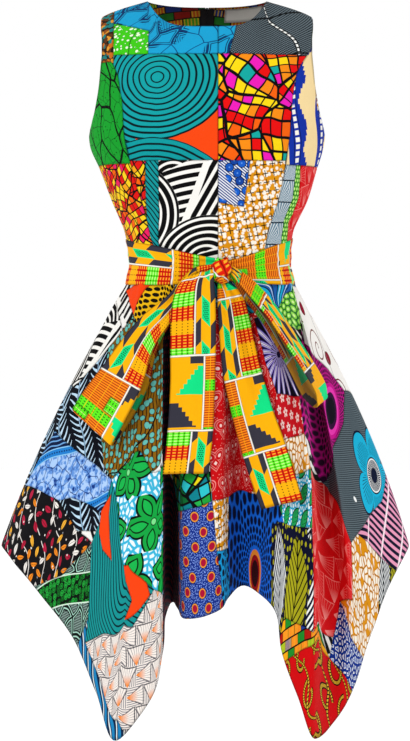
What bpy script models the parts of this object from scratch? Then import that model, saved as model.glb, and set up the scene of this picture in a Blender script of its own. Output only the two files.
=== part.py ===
"""Sleeveless patchwork dress, filled out on no wearer, with its sash tied in a front bow.

Metres, +Z up. The front faces -Y and +X is the wearer's left. The origin lies midway
between the two shoulder seams, where the wearer carries the dress.

The bodice follows level rings of a general body form, cut into princess panels. The skirt
is one big square of cloth with a hole for the waist, cut in four quarters, so it hangs in
four points. The sash goes over the waist seam and is tied at the front.
"""

import math
from typing import NamedTuple

import bpy
import numpy as np

CLOTH = 0.0012
SASH_CLOTH = 0.0016
SEAM_GAP = 0.0003
SHARP_ANGLE = math.radians(40)

WAIST_Z = -0.392
BAND_FOOT_Z = -0.430
NECK_Z = 0.013
SHOULDER_TIP_Z = -0.0118
UNDERARM_Z = -0.196
YOKE_Z = -0.100
ROUNDNESS = 2.3

FRONT_SEAM_X = 0.017
ZIP_SLOT = 0.0025
NECK_HALF_WIDTH = 0.093
FRONT_NECK_Z = -0.032
FRONT_NECK_POWER = 4.4
BACK_NECK_Z = 0.0075
BACK_NECK_POWER = 3
DENSE = 160
SLOPE_STEP = 0.0001


# ---------------------------------------------------------------- tables


class Ring(NamedTuple):
    """One level of the body form, from the waist up."""

    z: float
    half_width: float
    front: float
    back: float
    shift: float


RINGS = (
    Ring(-0.440, 0.1330, 0.0960, 0.0900, 0.0050),
    Ring(-0.392, 0.1238, 0.0920, 0.0860, 0.0046),
    Ring(-0.345, 0.1310, 0.0970, 0.0880, 0.0030),
    Ring(-0.296, 0.1520, 0.1080, 0.0940, 0.0040),
    Ring(-0.246, 0.1690, 0.1180, 0.1010, 0.0020),
    Ring(-0.215, 0.1805, 0.1220, 0.1040, 0.0000),
    Ring(-0.196, 0.1830, 0.1220, 0.1050, 0.0000),
    Ring(-0.160, 0.1800, 0.1180, 0.1050, 0.0000),
    Ring(-0.120, 0.1770, 0.1110, 0.1030, 0.0000),
    Ring(-0.080, 0.1745, 0.0990, 0.0980, 0.0000),
    Ring(-0.045, 0.1705, 0.0830, 0.0890, 0.0000),
    Ring(-0.022, 0.1660, 0.0680, 0.0780, 0.0000),
    Ring(-0.010, 0.1600, 0.0570, 0.0690, 0.0000),
    Ring(0.0015, 0.1320, 0.0420, 0.0560, 0.0000),
    Ring(0.0130, 0.0930, 0.0180, 0.0300, 0.0000),
)


class Opening(NamedTuple):
    """Armhole edge: how far in front of the shoulder line, and behind it, at one level."""

    z: float
    front: float
    back: float


ARMHOLE = (
    Opening(UNDERARM_Z, 0.000, 0.000),
    Opening(-0.1935, 0.0125, 0.0110),
    Opening(-0.187, 0.023, 0.020),
    Opening(-0.170, 0.034, 0.030),
    Opening(-0.140, 0.043, 0.038),
    Opening(-0.100, 0.044, 0.040),
    Opening(-0.062, 0.038, 0.035),
    Opening(-0.030, 0.021, 0.020),
    Opening(SHOULDER_TIP_Z, 0.000, 0.000),
)


class Seam(NamedTuple):
    """Princess seam: sideways distance from the middle at one level."""

    z: float
    front: float
    back: float


PRINCESS = (
    Seam(WAIST_Z, 0.080, 0.068),
    Seam(-0.330, 0.096, 0.078),
    Seam(-0.250, 0.118, 0.096),
    Seam(-0.200, 0.127, 0.106),
    Seam(-0.140, 0.131, 0.116),
    Seam(-0.100, 0.140, 0.132),
)
PRINCESS_TOP_Z = -0.062


class Fold(NamedTuple):
    """One line of the skirt from the waist to the hem.

    turn is its place on the waist, in degrees from the centre front towards +X. bow_x and
    bow_y are how far the line leaves a straight one half way down.
    """

    name: str
    turn: float
    hem_x: float
    hem_y: float
    hem_z: float
    bow_x: float
    bow_y: float


FOLDS = (
    Fold("side_right", -90, -0.321, 0.046, -0.833, -0.013, 0.000),
    Fold("right_flap_1", -75, -0.256, -0.062, -0.904, -0.010, 0.000),
    Fold("right_flap_2", -63, -0.206, -0.122, -0.963, -0.005, 0.000),
    Fold("right_flap_3", -53, -0.167, -0.180, -1.045, 0.000, 0.000),
    Fold("right_point", -46, -0.1355, -0.226, -1.112, 0.000, 0.000),
    Fold("right_flap_4", -40, -0.102, -0.236, -1.076, 0.000, 0.000),
    Fold("right_flap_5", -35, -0.078, -0.232, -1.038, 0.000, 0.000),
    Fold("right_edge", -31, -0.066, -0.210, -0.986, 0.000, -0.010),
    Fold("right_valley_wall", -27, -0.0630, -0.130, -0.938, 0.000, 0.014),
    Fold("right_valley", -23, -0.054, -0.055, -0.916, 0.000, 0.012),
    Fold("front_rise", -18, -0.045, -0.135, -0.921, 0.000, 0.010),
    Fold("front_shoulder", -13, -0.031, -0.200, -0.932, 0.000, 0.000),
    Fold("front_ridge", -3, -0.0045, -0.222, -0.927, 0.000, 0.000),
    Fold("front_step_top", 4, 0.021, -0.210, -0.917, 0.000, 0.000),
    Fold("front_seam", 8, 0.032, -0.176, -0.903, 0.000, 0.006),
    Fold("middle_valley", 14, 0.057, -0.126, -0.886, 0.000, 0.014),
    Fold("left_rise", 22, 0.083, -0.160, -0.901, 0.004, 0.006),
    Fold("left_front_1", 32, 0.103, -0.210, -0.925, 0.010, 0.000),
    Fold("left_front_2", 42, 0.1095, -0.240, -0.973, 0.016, -0.004),
    Fold("left_front_3", 51, 0.136, -0.250, -1.047, 0.020, -0.006),
    Fold("left_point", 59, 0.161, -0.242, -1.108, 0.022, -0.012),
    Fold("left_valley_wall", 63, 0.173, -0.222, -1.104, 0.020, 0.050),
    Fold("left_valley", 67, 0.188, -0.196, -1.090, 0.029, 0.080),
    Fold("left_flap_1", 72, 0.208, -0.168, -1.066, 0.027, 0.046),
    Fold("left_flap_2", 77, 0.226, -0.130, -1.034, 0.020, 0.000),
    Fold("left_flap_3", 81, 0.245, -0.084, -0.982, 0.018, -0.004),
    Fold("left_flap_4", 85, 0.279, -0.028, -0.898, 0.018, 0.000),
    Fold("side_left", 90, 0.316, 0.046, -0.833, 0.016, 0.000),
    Fold("back_left_1", 97, 0.299, 0.104, -0.856, 0.016, 0.000),
    Fold("back_left_2", 103, 0.266, 0.150, -0.902, 0.008, 0.006),
    Fold("back_left_dip", 110, 0.228, 0.082, -0.950, 0.000, -0.010),
    Fold("back_left_3", 117, 0.212, 0.178, -0.992, 0.000, 0.006),
    Fold("back_left_point", 124, 0.176, 0.226, -1.076, 0.000, 0.006),
    Fold("back_left_4", 131, 0.146, 0.224, -1.010, 0.000, 0.002),
    Fold("back_left_edge", 138, 0.118, 0.196, -0.934, 0.000, 0.000),
    Fold("back_left_valley", 146, 0.088, 0.072, -0.900, 0.000, -0.012),
    Fold("back_left_rise", 154, 0.060, 0.188, -0.900, 0.000, -0.002),
    Fold("back_left_ridge", 164, 0.032, 0.218, -0.902, 0.000, 0.004),
    Fold("back_seam", 181.35, 0.000, 0.168, -0.892, 0.000, 0.000),
    Fold("back_right_ridge", 195, -0.034, 0.216, -0.898, 0.000, 0.002),
    Fold("back_right_rise", 205, -0.062, 0.184, -0.900, 0.000, -0.002),
    Fold("back_right_valley", 213, -0.088, 0.070, -0.902, 0.000, -0.012),
    Fold("back_right_edge", 221, -0.112, 0.192, -0.946, 0.000, 0.000),
    Fold("back_right_4", 229, -0.140, 0.220, -1.014, 0.000, 0.002),
    Fold("back_right_point", 237, -0.168, 0.222, -1.064, 0.000, 0.006),
    Fold("back_right_3", 244, -0.208, 0.180, -0.986, 0.000, 0.004),
    Fold("back_right_dip", 251, -0.226, 0.090, -0.940, 0.000, -0.010),
    Fold("back_right_2", 257, -0.264, 0.144, -0.904, -0.005, 0.004),
    Fold("back_right_1", 263, -0.300, 0.100, -0.858, -0.010, 0.000),
)
FOLD_STEP = 0.033
SKIRT_LEVELS = (0.0, 0.09, 0.185, 0.20, 0.45, 0.72, 1.0)
BAND_ZONE = (WAIST_Z, -0.411)
ZIP_END_ROW = 4


class Strip(NamedTuple):
    """One crosswise line of a hanging sash end, from its edge at low x to the other."""

    low_x: float
    low_y: float
    low_z: float
    high_x: float
    high_y: float
    high_z: float


RIGHT_TAIL = (
    Strip(-0.033, -0.1210, -0.417, 0.0108, -0.1100, -0.4045),
    Strip(-0.047, -0.1235, -0.437, 0.0110, -0.1235, -0.4270),
    Strip(-0.054, -0.1255, -0.466, 0.0130, -0.1260, -0.4560),
    Strip(-0.056, -0.1270, -0.520, 0.0135, -0.1290, -0.5150),
    Strip(-0.056, -0.1330, -0.582, 0.0120, -0.1410, -0.5800),
    Strip(-0.060, -0.1480, -0.652, 0.0090, -0.1590, -0.6500),
    Strip(-0.067, -0.1640, -0.716, 0.0020, -0.1760, -0.7145),
)
LEFT_TAIL = (
    Strip(0.0160, -0.1100, -0.4272, 0.0330, -0.1100, -0.4266),
    Strip(0.0155, -0.1150, -0.4500, 0.0530, -0.1130, -0.4420),
    Strip(0.0175, -0.1190, -0.4860, 0.0640, -0.1120, -0.4760),
    Strip(0.0240, -0.1270, -0.5620, 0.0800, -0.1180, -0.5480),
    Strip(0.0380, -0.1320, -0.6300, 0.0980, -0.1420, -0.6140),
    Strip(0.0560, -0.1470, -0.6960, 0.1200, -0.1650, -0.6760),
    Strip(0.0810, -0.1690, -0.7690, 0.1430, -0.1980, -0.7530),
)


class Bight(NamedTuple):
    """One line across a bow loop: its two edges, and how far apart its layers lie."""

    near_x: float
    near_y: float
    near_z: float
    far_x: float
    far_y: float
    far_z: float
    opening: float


RIGHT_LOOP = (
    Bight(0.0106, -0.1045, -0.397, 0.0106, -0.1045, -0.418, 0.004),
    Bight(-0.024, -0.1060, -0.406, -0.022, -0.1080, -0.446, 0.006),
    Bight(-0.060, -0.1060, -0.447, -0.058, -0.1150, -0.492, 0.011),
    Bight(-0.103, -0.1020, -0.486, -0.080, -0.1240, -0.531, 0.018),
    Bight(-0.152, -0.0960, -0.551, -0.094, -0.1320, -0.584, 0.022),
    Bight(-0.183, -0.0900, -0.590, -0.121, -0.1300, -0.637, 0.018),
    Bight(-0.203, -0.0850, -0.617, -0.142, -0.1240, -0.671, 0.010),
)
LEFT_LOOP = (
    Bight(0.0360, -0.1220, -0.414, 0.0360, -0.1020, -0.400, 0.004),
    Bight(0.0560, -0.1380, -0.444, 0.0640, -0.1020, -0.422, 0.011),
    Bight(0.0860, -0.1520, -0.482, 0.0980, -0.1010, -0.460, 0.014),
    Bight(0.1100, -0.1610, -0.520, 0.1240, -0.1080, -0.500, 0.016),
    Bight(0.1340, -0.1610, -0.560, 0.1500, -0.1060, -0.544, 0.021),
    Bight(0.1530, -0.1530, -0.594, 0.1700, -0.0980, -0.580, 0.023),
    Bight(0.1620, -0.1470, -0.611, 0.1790, -0.0930, -0.598, 0.012),
)
LOOP_LAYER_ROWS = 10
LOOP_END_STEPS = 6
LOOP_COLUMNS = 3
TAIL_ROWS = 10
TAIL_COLUMNS = 4


class BandLevel(NamedTuple):
    """Where the sash band's top and foot run, at one turn from the knot round the waist."""

    turn: float
    top: float
    foot: float


BAND = (
    BandLevel(7.5, -0.394, -0.4225),
    BandLevel(24, -0.384, -0.4260),
    BandLevel(45, -0.370, -0.4280),
    BandLevel(80, -0.357, -0.4275),
    BandLevel(180, -0.354, -0.4240),
    BandLevel(275, -0.357, -0.4275),
    BandLevel(315, -0.366, -0.4290),
    BandLevel(340, -0.376, -0.4290),
    BandLevel(366, -0.390, -0.4225),
)
BAND_COLUMNS = 46
BAND_ROWS = 3
BAND_GAP = 0.0011

KNOT_CENTRE = (0.0225, -0.1088, -0.4075)
KNOT_RADII = (0.0112, 0.0135, 0.0190)
KNOT_MERIDIANS = 14
KNOT_PARALLELS = 9
KNOT_SQUARENESS = 0.8

ZIP_START = 0.002
TAPE_WIDTH = 0.011
TAPE_GAP = 0.0006
TAPE_CLOTH = 0.0010
LABEL_ROWS = (1.2, 1.0, 0.3)
LABEL_PLACES = (1.4, 2.0, 3.0, 4.2)
LABEL_GAP = 0.0008
LABEL_CLOTH = 0.0010

SLIDER_Z = -0.010
SLIDER_BODY = (0.0075, 0.0095, 0.0018)
SLIDER_LIFT = 0.0003
BRIDGE_WIDTH = 0.0022
BRIDGE_BAR = 0.0010
POST_SUNK = 0.0004
BRIDGE_HOLLOW = (0.0024, 0.0022)
TAB_PLATE = (0.0062, 0.0240, 0.0010)
TAB_EYE = (0.0034, 0.0042)

COLOURS = {
    "patchwork_front": ((0.10, 0.42, 0.44), 0.72, 0.0),
    "patchwork_side": ((0.62, 0.20, 0.10), 0.72, 0.0),
    "patchwork_back": ((0.12, 0.26, 0.50), 0.72, 0.0),
    "patchwork_skirt": ((0.55, 0.24, 0.22), 0.72, 0.0),
    "kente_print": ((0.90, 0.55, 0.03), 0.70, 0.0),
    "zip_tape": ((0.05, 0.05, 0.06), 0.80, 0.0),
    "zip_metal": ((0.16, 0.16, 0.17), 0.42, 0.8),
    "label_cloth": ((0.56, 0.53, 0.49), 0.80, 0.0),
}


# ---------------------------------------------------------------- curves


def smooth(places, values, at):
    """Read a smooth curve through the values at their places."""
    places = np.asarray(places, float)
    values = np.asarray(values, float)
    at = np.asarray(at, float)
    slopes = np.gradient(values, places, axis=0)
    slot = np.clip(np.searchsorted(places, at, side="right") - 1, 0, len(places) - 2)
    span = places[slot + 1] - places[slot]
    part = np.clip((at - places[slot]) / span, 0.0, 1.0)
    if values.ndim > 1:
        part = part[..., None]
        span = span[..., None]
    start = (1 + 2 * part) * (1 - part) ** 2 * values[slot]
    end = part**2 * (3 - 2 * part) * values[slot + 1]
    leave = part * (1 - part) ** 2 * span * slopes[slot]
    arrive = part**2 * (part - 1) * span * slopes[slot + 1]
    return start + end + leave + arrive


def column(table, field):
    """Take one named column of a table."""
    return np.array([getattr(row, field) for row in table])


def unit(vectors):
    """Scale vectors to length one."""
    return vectors / np.linalg.norm(vectors, axis=-1, keepdims=True)


# ---------------------------------------------------------------- body form


def ring_at(z):
    """Half width, front reach, back reach and shift of the body form at level z."""
    levels = column(RINGS, "z")
    fields = ("half_width", "front", "back", "shift")
    return [smooth(levels, column(RINGS, field), z) for field in fields]


def on_form(turn, z):
    """Points of the body form at these turns (degrees from the front) and levels."""
    turn, z = np.broadcast_arrays(np.radians(turn), z)
    half_width, front, back, shift = ring_at(z)
    across, along = np.sin(turn), np.cos(turn)
    x = shift + half_width * np.sign(across) * np.abs(across) ** (2 / ROUNDNESS)
    reach = np.where(along > 0, front, back)
    y = -reach * np.sign(along) * np.abs(along) ** (2 / ROUNDNESS)
    return np.stack([x, y, z], axis=-1)


def form_normals(points):
    """Outward directions of the body form at these points on it."""
    z = points[..., 2]
    half_width, front, back, shift = ring_at(z)
    wide_above, front_above, back_above, _ = ring_at(z + SLOPE_STEP)
    wide_below, front_below, back_below, _ = ring_at(z - SLOPE_STEP)
    is_front = points[..., 1] < 0
    reach = np.where(is_front, front, back)
    reach_slope = np.where(is_front, front_above - front_below, back_above - back_below)
    reach_slope = reach_slope / (2 * SLOPE_STEP)
    width_slope = (wide_above - wide_below) / (2 * SLOPE_STEP)
    x_share = np.abs(points[..., 0] - shift) / half_width
    y_share = np.abs(points[..., 1]) / reach
    power = ROUNDNESS - 1
    x = np.sign(points[..., 0] - shift) * x_share**power / half_width
    y = np.sign(points[..., 1]) * y_share**power / reach
    rise = x_share**ROUNDNESS * width_slope / half_width
    rise = rise + y_share**ROUNDNESS * reach_slope / reach
    return unit(np.stack([x, y, -rise], axis=-1))


def turn_of(x, z, back=False):
    """Turn at which the form at level z reaches sideways to x."""
    half_width, _, _, shift = ring_at(z)
    share = np.clip((np.asarray(x) - shift) / half_width, -1.0, 1.0)
    turn = np.degrees(np.arcsin(np.abs(share) ** (ROUNDNESS / 2))) * np.sign(share)
    return 180 - turn if back else turn


def armhole_turn(z, back=False):
    """Turn of the armhole edge at level z, on the +X side."""
    field = "back" if back else "front"
    reach = smooth(column(ARMHOLE, "z"), column(ARMHOLE, field), z)
    _, front, behind, _ = ring_at(z)
    share = np.clip(reach / (behind if back else front), 0.0, 1.0)
    turn = np.degrees(np.arccos(share ** (ROUNDNESS / 2)))
    return 180 - turn if back else turn


def armhole_x(z, back=False):
    """Sideways distance of the armhole edge at level z."""
    return on_form(armhole_turn(z, back), z)[..., 0]


def princess_x(z, back=False):
    """Reach of the princess seam from the form's middle. Its top end meets the armhole."""
    field = "back" if back else "front"
    levels = np.append(column(PRINCESS, "z"), PRINCESS_TOP_Z)
    across = np.append(column(PRINCESS, field), armhole_x(PRINCESS_TOP_Z, back))
    return smooth(levels, across, z)


def neck_z(x, back=False):
    """Level of the neck edge at sideways distance x."""
    share = np.clip(np.abs(x) / NECK_HALF_WIDTH, 0.0, 1.0)
    if back:
        return BACK_NECK_Z + (NECK_Z - BACK_NECK_Z) * share**BACK_NECK_POWER
    return FRONT_NECK_Z + (NECK_Z - FRONT_NECK_Z) * share**FRONT_NECK_POWER


def shoulder_line(part):
    """(x, z) of the shoulder seam, 0 at the neck and 1 at the tip."""
    z = NECK_Z + (SHOULDER_TIP_Z - NECK_Z) * part
    return ring_at(z)[0], z


# ---------------------------------------------------------------- bodice panels

NECK_SHARE = 0.56
FORM_SHARE = 0.6
SHOULDER_NORMAL = np.array([0.35, 0.0, 0.937])
CENTRE_COLUMNS = (0.0, 0.10, 0.20, 0.30, 0.40, 0.49, NECK_SHARE, 0.70, 0.85, 1.0)
ON_SHOULDER = np.array(CENTRE_COLUMNS) >= NECK_SHARE
SIDE_COLUMNS = (0.0, 0.26, 0.54, 0.77, 0.91, 1.0)
ARMHOLE_DIP = 1.4
LOWER_ROWS = np.array([0.0, 0.05, 0.12, 0.24, 0.42, 0.61, 0.81, 1.0])
UPPER_ROWS = np.linspace(0.0, 1.0, 6)


def centre_lower(hand, centre_x, back):
    """Turns and levels of a centre panel from the waist to the yoke line."""
    rows = []
    for part in LOWER_ROWS:
        z_centre = WAIST_Z + (YOKE_Z - WAIST_Z) * part
        z_seam = WAIST_Z + (PRINCESS_TOP_Z - WAIST_Z) * part
        z = z_centre + (z_seam - z_centre) * np.array(CENTRE_COLUMNS) ** 2
        x_seam = ring_at(z_seam)[3] + hand * princess_x(z_seam, back)
        x = centre_x + (x_seam - centre_x) * np.array(CENTRE_COLUMNS)
        rows.append(on_form(turn_of(x, z, back), z))
    return np.array(rows)


def lengths_along(points):
    """Length of a line of points up to each of them."""
    steps = np.linalg.norm(np.diff(points, axis=0), axis=1)
    return np.concatenate([[0.0], np.cumsum(steps)])


def top_edge(share, hand, centre_x, back):
    """(x, z) along the neck edge by its length, then along the shoulder seam."""
    if share <= NECK_SHARE:
        spread = 1 - (1 - np.linspace(0.0, 1.0, DENSE)) ** 3
        x = centre_x + (hand * NECK_HALF_WIDTH - centre_x) * spread
        z = neck_z(x, back)
        length = lengths_along(on_form(turn_of(x, z, back), z))
        wanted = length[-1] * share / NECK_SHARE
        return np.interp(wanted, length, x), np.interp(wanted, length, z)
    x, z = shoulder_line((share - NECK_SHARE) / (1 - NECK_SHARE))
    return hand * x, z


def by_length(line, parts):
    """Points of a dense line at these shares of its length."""
    length = lengths_along(line)
    wanted = np.asarray(parts) * length[-1]
    return np.stack([np.interp(wanted, length, line[:, axis]) for axis in range(3)], axis=1)


def blended(foot, head, start, end, across, up):
    """Surface spanned by four edges: foot and head run across it, start and end up it."""
    across = np.asarray(across)[None, :, None]
    up = np.asarray(up)[:, None, None]
    sides = start[:, None] * (1 - across) + end[:, None] * across
    ends = foot[None] * (1 - up) + head[None] * up
    low = foot[0] * (1 - across) + foot[-1] * across
    high = head[0] * (1 - across) + head[-1] * across
    return sides + ends - low * (1 - up) - high * up


def centre_upper(hand, centre_x, back, foot):
    """Points of a centre panel from the yoke line, foot, up to the neck and shoulder."""
    climb = 1 - (1 - np.linspace(0.0, 1.0, DENSE)) ** 3
    head_xz = np.array([top_edge(share, hand, centre_x, back) for share in CENTRE_COLUMNS])
    head = on_form(turn_of(head_xz[:, 0], head_xz[:, 1], back), head_xz[:, 1])
    head[ON_SHOULDER, 0] = head_xz[ON_SHOULDER, 0]
    head[ON_SHOULDER, 1] = 0.0
    centre_z = YOKE_Z + (head_xz[0, 1] - YOKE_Z) * climb
    start = on_form(turn_of(centre_x, centre_z, back), centre_z)
    arm_z = PRINCESS_TOP_Z + (SHOULDER_TIP_Z - PRINCESS_TOP_Z) * climb
    end = on_form(armhole_turn(arm_z, back), arm_z) * np.array([hand, 1.0, 1.0])
    start, end = by_length(start, UPPER_ROWS), by_length(end, UPPER_ROWS)
    spanned = blended(foot, head, start, end, CENTRE_COLUMNS, UPPER_ROWS)
    followed = on_form(turn_of(spanned[..., 0], spanned[..., 2], back), spanned[..., 2])
    leave = np.clip(UPPER_ROWS / FORM_SHARE, 0.0, 1.0)[:, None, None]
    leave = leave**2 * (3 - 2 * leave)
    return followed * (1 - leave) + spanned * leave


def centre_panel(hand, back):
    """Grid of a centre panel from the waist up, and its outward directions."""
    centre_x = hand * ZIP_SLOT if back else FRONT_SEAM_X
    lower = centre_lower(hand, centre_x, back)
    grid = np.concatenate([lower, centre_upper(hand, centre_x, back, lower[-1])[1:]])
    normals = grid_normals(grid)
    outward = grid * np.array([1.0, 1.0, 0.0])
    normals = normals * np.sign((normals * outward).sum(axis=-1, keepdims=True))
    on_form_rows = len(lower)
    normals[:on_form_rows] = form_normals(grid[:on_form_rows])
    normals[:, 0] = form_normals(grid[:, 0])
    normals[-1, ON_SHOULDER] = SHOULDER_NORMAL * np.array([hand, 1.0, 1.0])
    return grid, normals


def side_panel(hand, back):
    """Points of a side panel, between the princess seam, side seam and armhole."""
    top_z = UNDERARM_Z + (PRINCESS_TOP_Z - UNDERARM_Z) * (1 - np.array(SIDE_COLUMNS)) ** ARMHOLE_DIP
    top_turn = armhole_turn(top_z, back)
    rows = []
    for part in LOWER_ROWS:
        z_seam = WAIST_Z + (PRINCESS_TOP_Z - WAIST_Z) * part
        seam_x = ring_at(z_seam)[3] + princess_x(z_seam, back)
        seam_turn = turn_of(seam_x, z_seam, back)
        z_side = WAIST_Z + (UNDERARM_Z - WAIST_Z) * part
        foot_x = ring_at(WAIST_Z)[3] + princess_x(WAIST_Z, back)
        foot_turn = turn_of(foot_x, WAIST_Z, back)
        turns, levels = [], []
        for index, share in enumerate(SIDE_COLUMNS):
            turn = (1 - part) * (foot_turn + (90 - foot_turn) * share) + part * top_turn[index]
            turn = turn + (1 - share) * seam_turn + share * 90
            corner = (1 - part) * ((1 - share) * foot_turn + share * 90)
            turn = turn - corner - part * ((1 - share) * top_turn[0] + share * 90)
            level = (1 - part) * WAIST_Z + part * top_z[index]
            level = level + (1 - share) * z_seam + share * z_side
            corner = (1 - part) * WAIST_Z
            level = level - corner - part * ((1 - share) * PRINCESS_TOP_Z + share * UNDERARM_Z)
            turns.append(turn)
            levels.append(level)
        rows.append(on_form(np.array(turns), np.array(levels)))
    points = np.array(rows)
    if hand < 0:
        points = mirrored(points)
    return points


def mirrored(points):
    """The same points on the -X side, over the form's shifted middle."""
    other = points.copy()
    other[..., 0] = 2 * ring_at(points[..., 2])[3] - points[..., 0]
    return other


# ---------------------------------------------------------------- skirt


def wrapped(table, field, period):
    """A column of the fold table, carried on past both ends of the round."""
    values = column(table, field)
    return np.concatenate([values[-3:] - period, values, values[:3] + period])


def skirt_columns():
    """Turn, hem point and bow of every line of the skirt, with the seams' places."""
    hem = np.stack([column(FOLDS, field) for field in ("hem_x", "hem_y", "hem_z")], axis=1)
    steps = np.linalg.norm(np.roll(hem, -1, axis=0) - hem, axis=1)
    total = steps.sum()
    place = np.concatenate([[0.0], np.cumsum(steps)[:-1]])
    around = np.concatenate([place[-3:] - total, place, place[:3] + total])
    at, seams = [], {}
    for index, fold in enumerate(FOLDS):
        if fold.name in ("front_seam", "side_left", "back_seam", "side_right"):
            seams[fold.name] = len(at)
        parts = max(1, round(steps[index] / FOLD_STEP))
        at.extend(place[index] + steps[index] * np.arange(parts) / parts)
    at = np.array(at)
    turn = smooth(around, wrapped(FOLDS, "turn", 360.0), at)
    rest = [smooth(around, wrapped(FOLDS, field, 0.0), at) for field in Fold._fields[2:]]
    return turn, np.stack(rest[:3], axis=1), np.stack(rest[3:], axis=1), seams


def skirt_surface():
    """Grid of the whole skirt's outer face, its outward directions and its seams' places."""
    turn, hem, bow, seams = skirt_columns()
    rows = [on_form(turn, z) for z in BAND_ZONE]
    top = on_form(turn, BAND_FOOT_Z)
    for level in SKIRT_LEVELS:
        line = top + (hem - top) * level
        line[:, :2] += bow * 4 * level * (1 - level)
        rows.append(line)
    grid = np.array(rows)
    around = np.roll(grid, -1, axis=1) - np.roll(grid, 1, axis=1)
    down = np.gradient(grid, axis=0)
    normals = unit(np.cross(down, around))
    return grid, normals, seams


# ---------------------------------------------------------------- meshes


def tri_strip(first, second, flip):
    """Triangles between two rows of vertex numbers."""
    faces = []
    for a, b, c, d in zip(first, first[1:], second[1:], second):
        faces.extend([(a, c, b), (a, d, c)] if flip else [(a, b, c), (a, c, d)])
    return faces


def wall(outer, inner):
    """Vertices and triangles of the wall between two grids of the same shape."""
    rows, columns = outer.shape[:2]
    count = rows * columns
    number = np.arange(count).reshape(rows, columns)
    faces = []
    for lower, upper in zip(number, number[1:]):
        faces.extend(tri_strip(list(lower), list(upper), False))
        faces.extend(tri_strip(list(lower + count), list(upper + count), True))
    edges = (number[0], number[:, -1], number[-1, ::-1], number[::-1, 0])
    for edge in edges:
        faces.extend(tri_strip(list(edge), list(edge + count), True))
    vertices = np.concatenate([outer.reshape(-1, 3), inner.reshape(-1, 3)])
    return vertices, faces


def signed_volume(vertices, faces):
    """Volume inside a closed mesh, below zero when its faces point inwards."""
    corners = vertices[np.array(faces)]
    return np.einsum("ij,ij->i", corners[:, 0], np.cross(corners[:, 1], corners[:, 2])).sum() / 6


MATERIALS = {}


def material(name):
    """The material of this name, made when it is first asked for."""
    if name not in MATERIALS:
        colour, roughness, metallic = COLOURS[name]
        made = bpy.data.materials.new(name)
        made.use_nodes = True
        shader = made.node_tree.nodes["Principled BSDF"]
        shader.inputs["Base Color"].default_value = (*colour, 1.0)
        shader.inputs["Roughness"].default_value = roughness
        shader.inputs["Metallic"].default_value = metallic
        MATERIALS[name] = made
    return MATERIALS[name]


def solid(name, vertices, faces, finish, origin=(0.0, 0.0, 0.0)):
    """Make one object, its faces turned outwards, with its origin where it is wanted."""
    if signed_volume(vertices, faces) < 0:
        faces = [face[::-1] for face in faces]
    mesh = bpy.data.meshes.new(name)
    mesh.from_pydata((vertices - np.array(origin)).tolist(), [], [tuple(map(int, f)) for f in faces])
    mesh.materials.append(material(finish))
    mesh.shade_smooth()
    mesh.set_sharp_from_angle(angle=SHARP_ANGLE)
    made = bpy.data.objects.new(name, mesh)
    made.location = origin
    bpy.context.scene.collection.objects.link(made)
    return made


def pulled_back(grid, sides, distance):
    """Move the named sides of a grid inwards, which leaves half a seam gap at each."""
    moved = grid.copy()
    if "left" in sides:
        moved[:, 0] += unit(grid[:, 1] - grid[:, 0]) * distance
    if "right" in sides:
        moved[:, -1] += unit(grid[:, -2] - grid[:, -1]) * distance
    if "foot" in sides:
        moved[0] += unit(grid[1] - grid[0]) * distance
    if "head" in sides:
        moved[-1] += unit(grid[-2] - grid[-1]) * distance
    return moved


def cloth_panel(name, grid, normals, sides, finish, thickness=CLOTH):
    """One cut piece of cloth: a wall inside its grid, short of its seams."""
    outer = pulled_back(grid, sides, SEAM_GAP / 2)
    vertices, faces = wall(outer, outer - normals * thickness)
    return solid(name, vertices, faces, finish)


# ---------------------------------------------------------------- pieces


def make_bodice():
    """The eight bodice panels."""
    seam_rows = len(LOWER_ROWS)
    for back, place in ((False, "front"), (True, "back")):
        for hand, which in ((-1, "right"), (1, "left")):
            grid, normals = centre_panel(hand, back)
            sides = {"foot"} if back else {"left", "foot"}
            outer = pulled_back(grid, sides, SEAM_GAP / 2)
            inward = unit(grid[:seam_rows, -2] - grid[:seam_rows, -1])
            outer[:seam_rows, -1] += inward * SEAM_GAP / 2
            outer[-1, ON_SHOULDER, 1] += (SEAM_GAP / 2) * (1 if back else -1)
            vertices, faces = wall(outer, outer - normals * CLOTH)
            finish = "patchwork_back" if back else "patchwork_front"
            solid(f"bodice_{place}_centre_{which}", vertices, faces, finish)
            grid = side_panel(hand, back)
            name = f"bodice_{place}_side_{which}"
            sides = {"left", "right", "foot"}
            cloth_panel(name, grid, form_normals(grid), sides, "patchwork_side")


SKIRT_QUARTERS = (
    ("skirt_front_right", "side_right", "front_seam"),
    ("skirt_front_left", "front_seam", "side_left"),
    ("skirt_back_left", "side_left", "back_seam"),
    ("skirt_back_right", "back_seam", "side_right"),
)


def make_skirt(grid, normals, seams):
    """The four quarters of the square skirt."""
    total = grid.shape[1]
    for name, first, last in SKIRT_QUARTERS:
        start, end = seams[first], seams[last]
        if end <= start:
            end += total
        picked = np.arange(start, end + 1) % total
        part = grid[:, picked]
        outer = pulled_back(part, {"left", "right", "foot"}, SEAM_GAP / 2)
        zip_rows = slice(0, ZIP_END_ROW + 1)
        if last == "back_seam":
            outer[zip_rows, -1] = part[zip_rows, -1] + np.array([ZIP_SLOT, 0.0, 0.0])
        if first == "back_seam":
            outer[zip_rows, 0] = part[zip_rows, 0] - np.array([ZIP_SLOT, 0.0, 0.0])
        vertices, faces = wall(outer, outer - normals[:, picked] * CLOTH)
        solid(name, vertices, faces, "patchwork_skirt")


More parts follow.
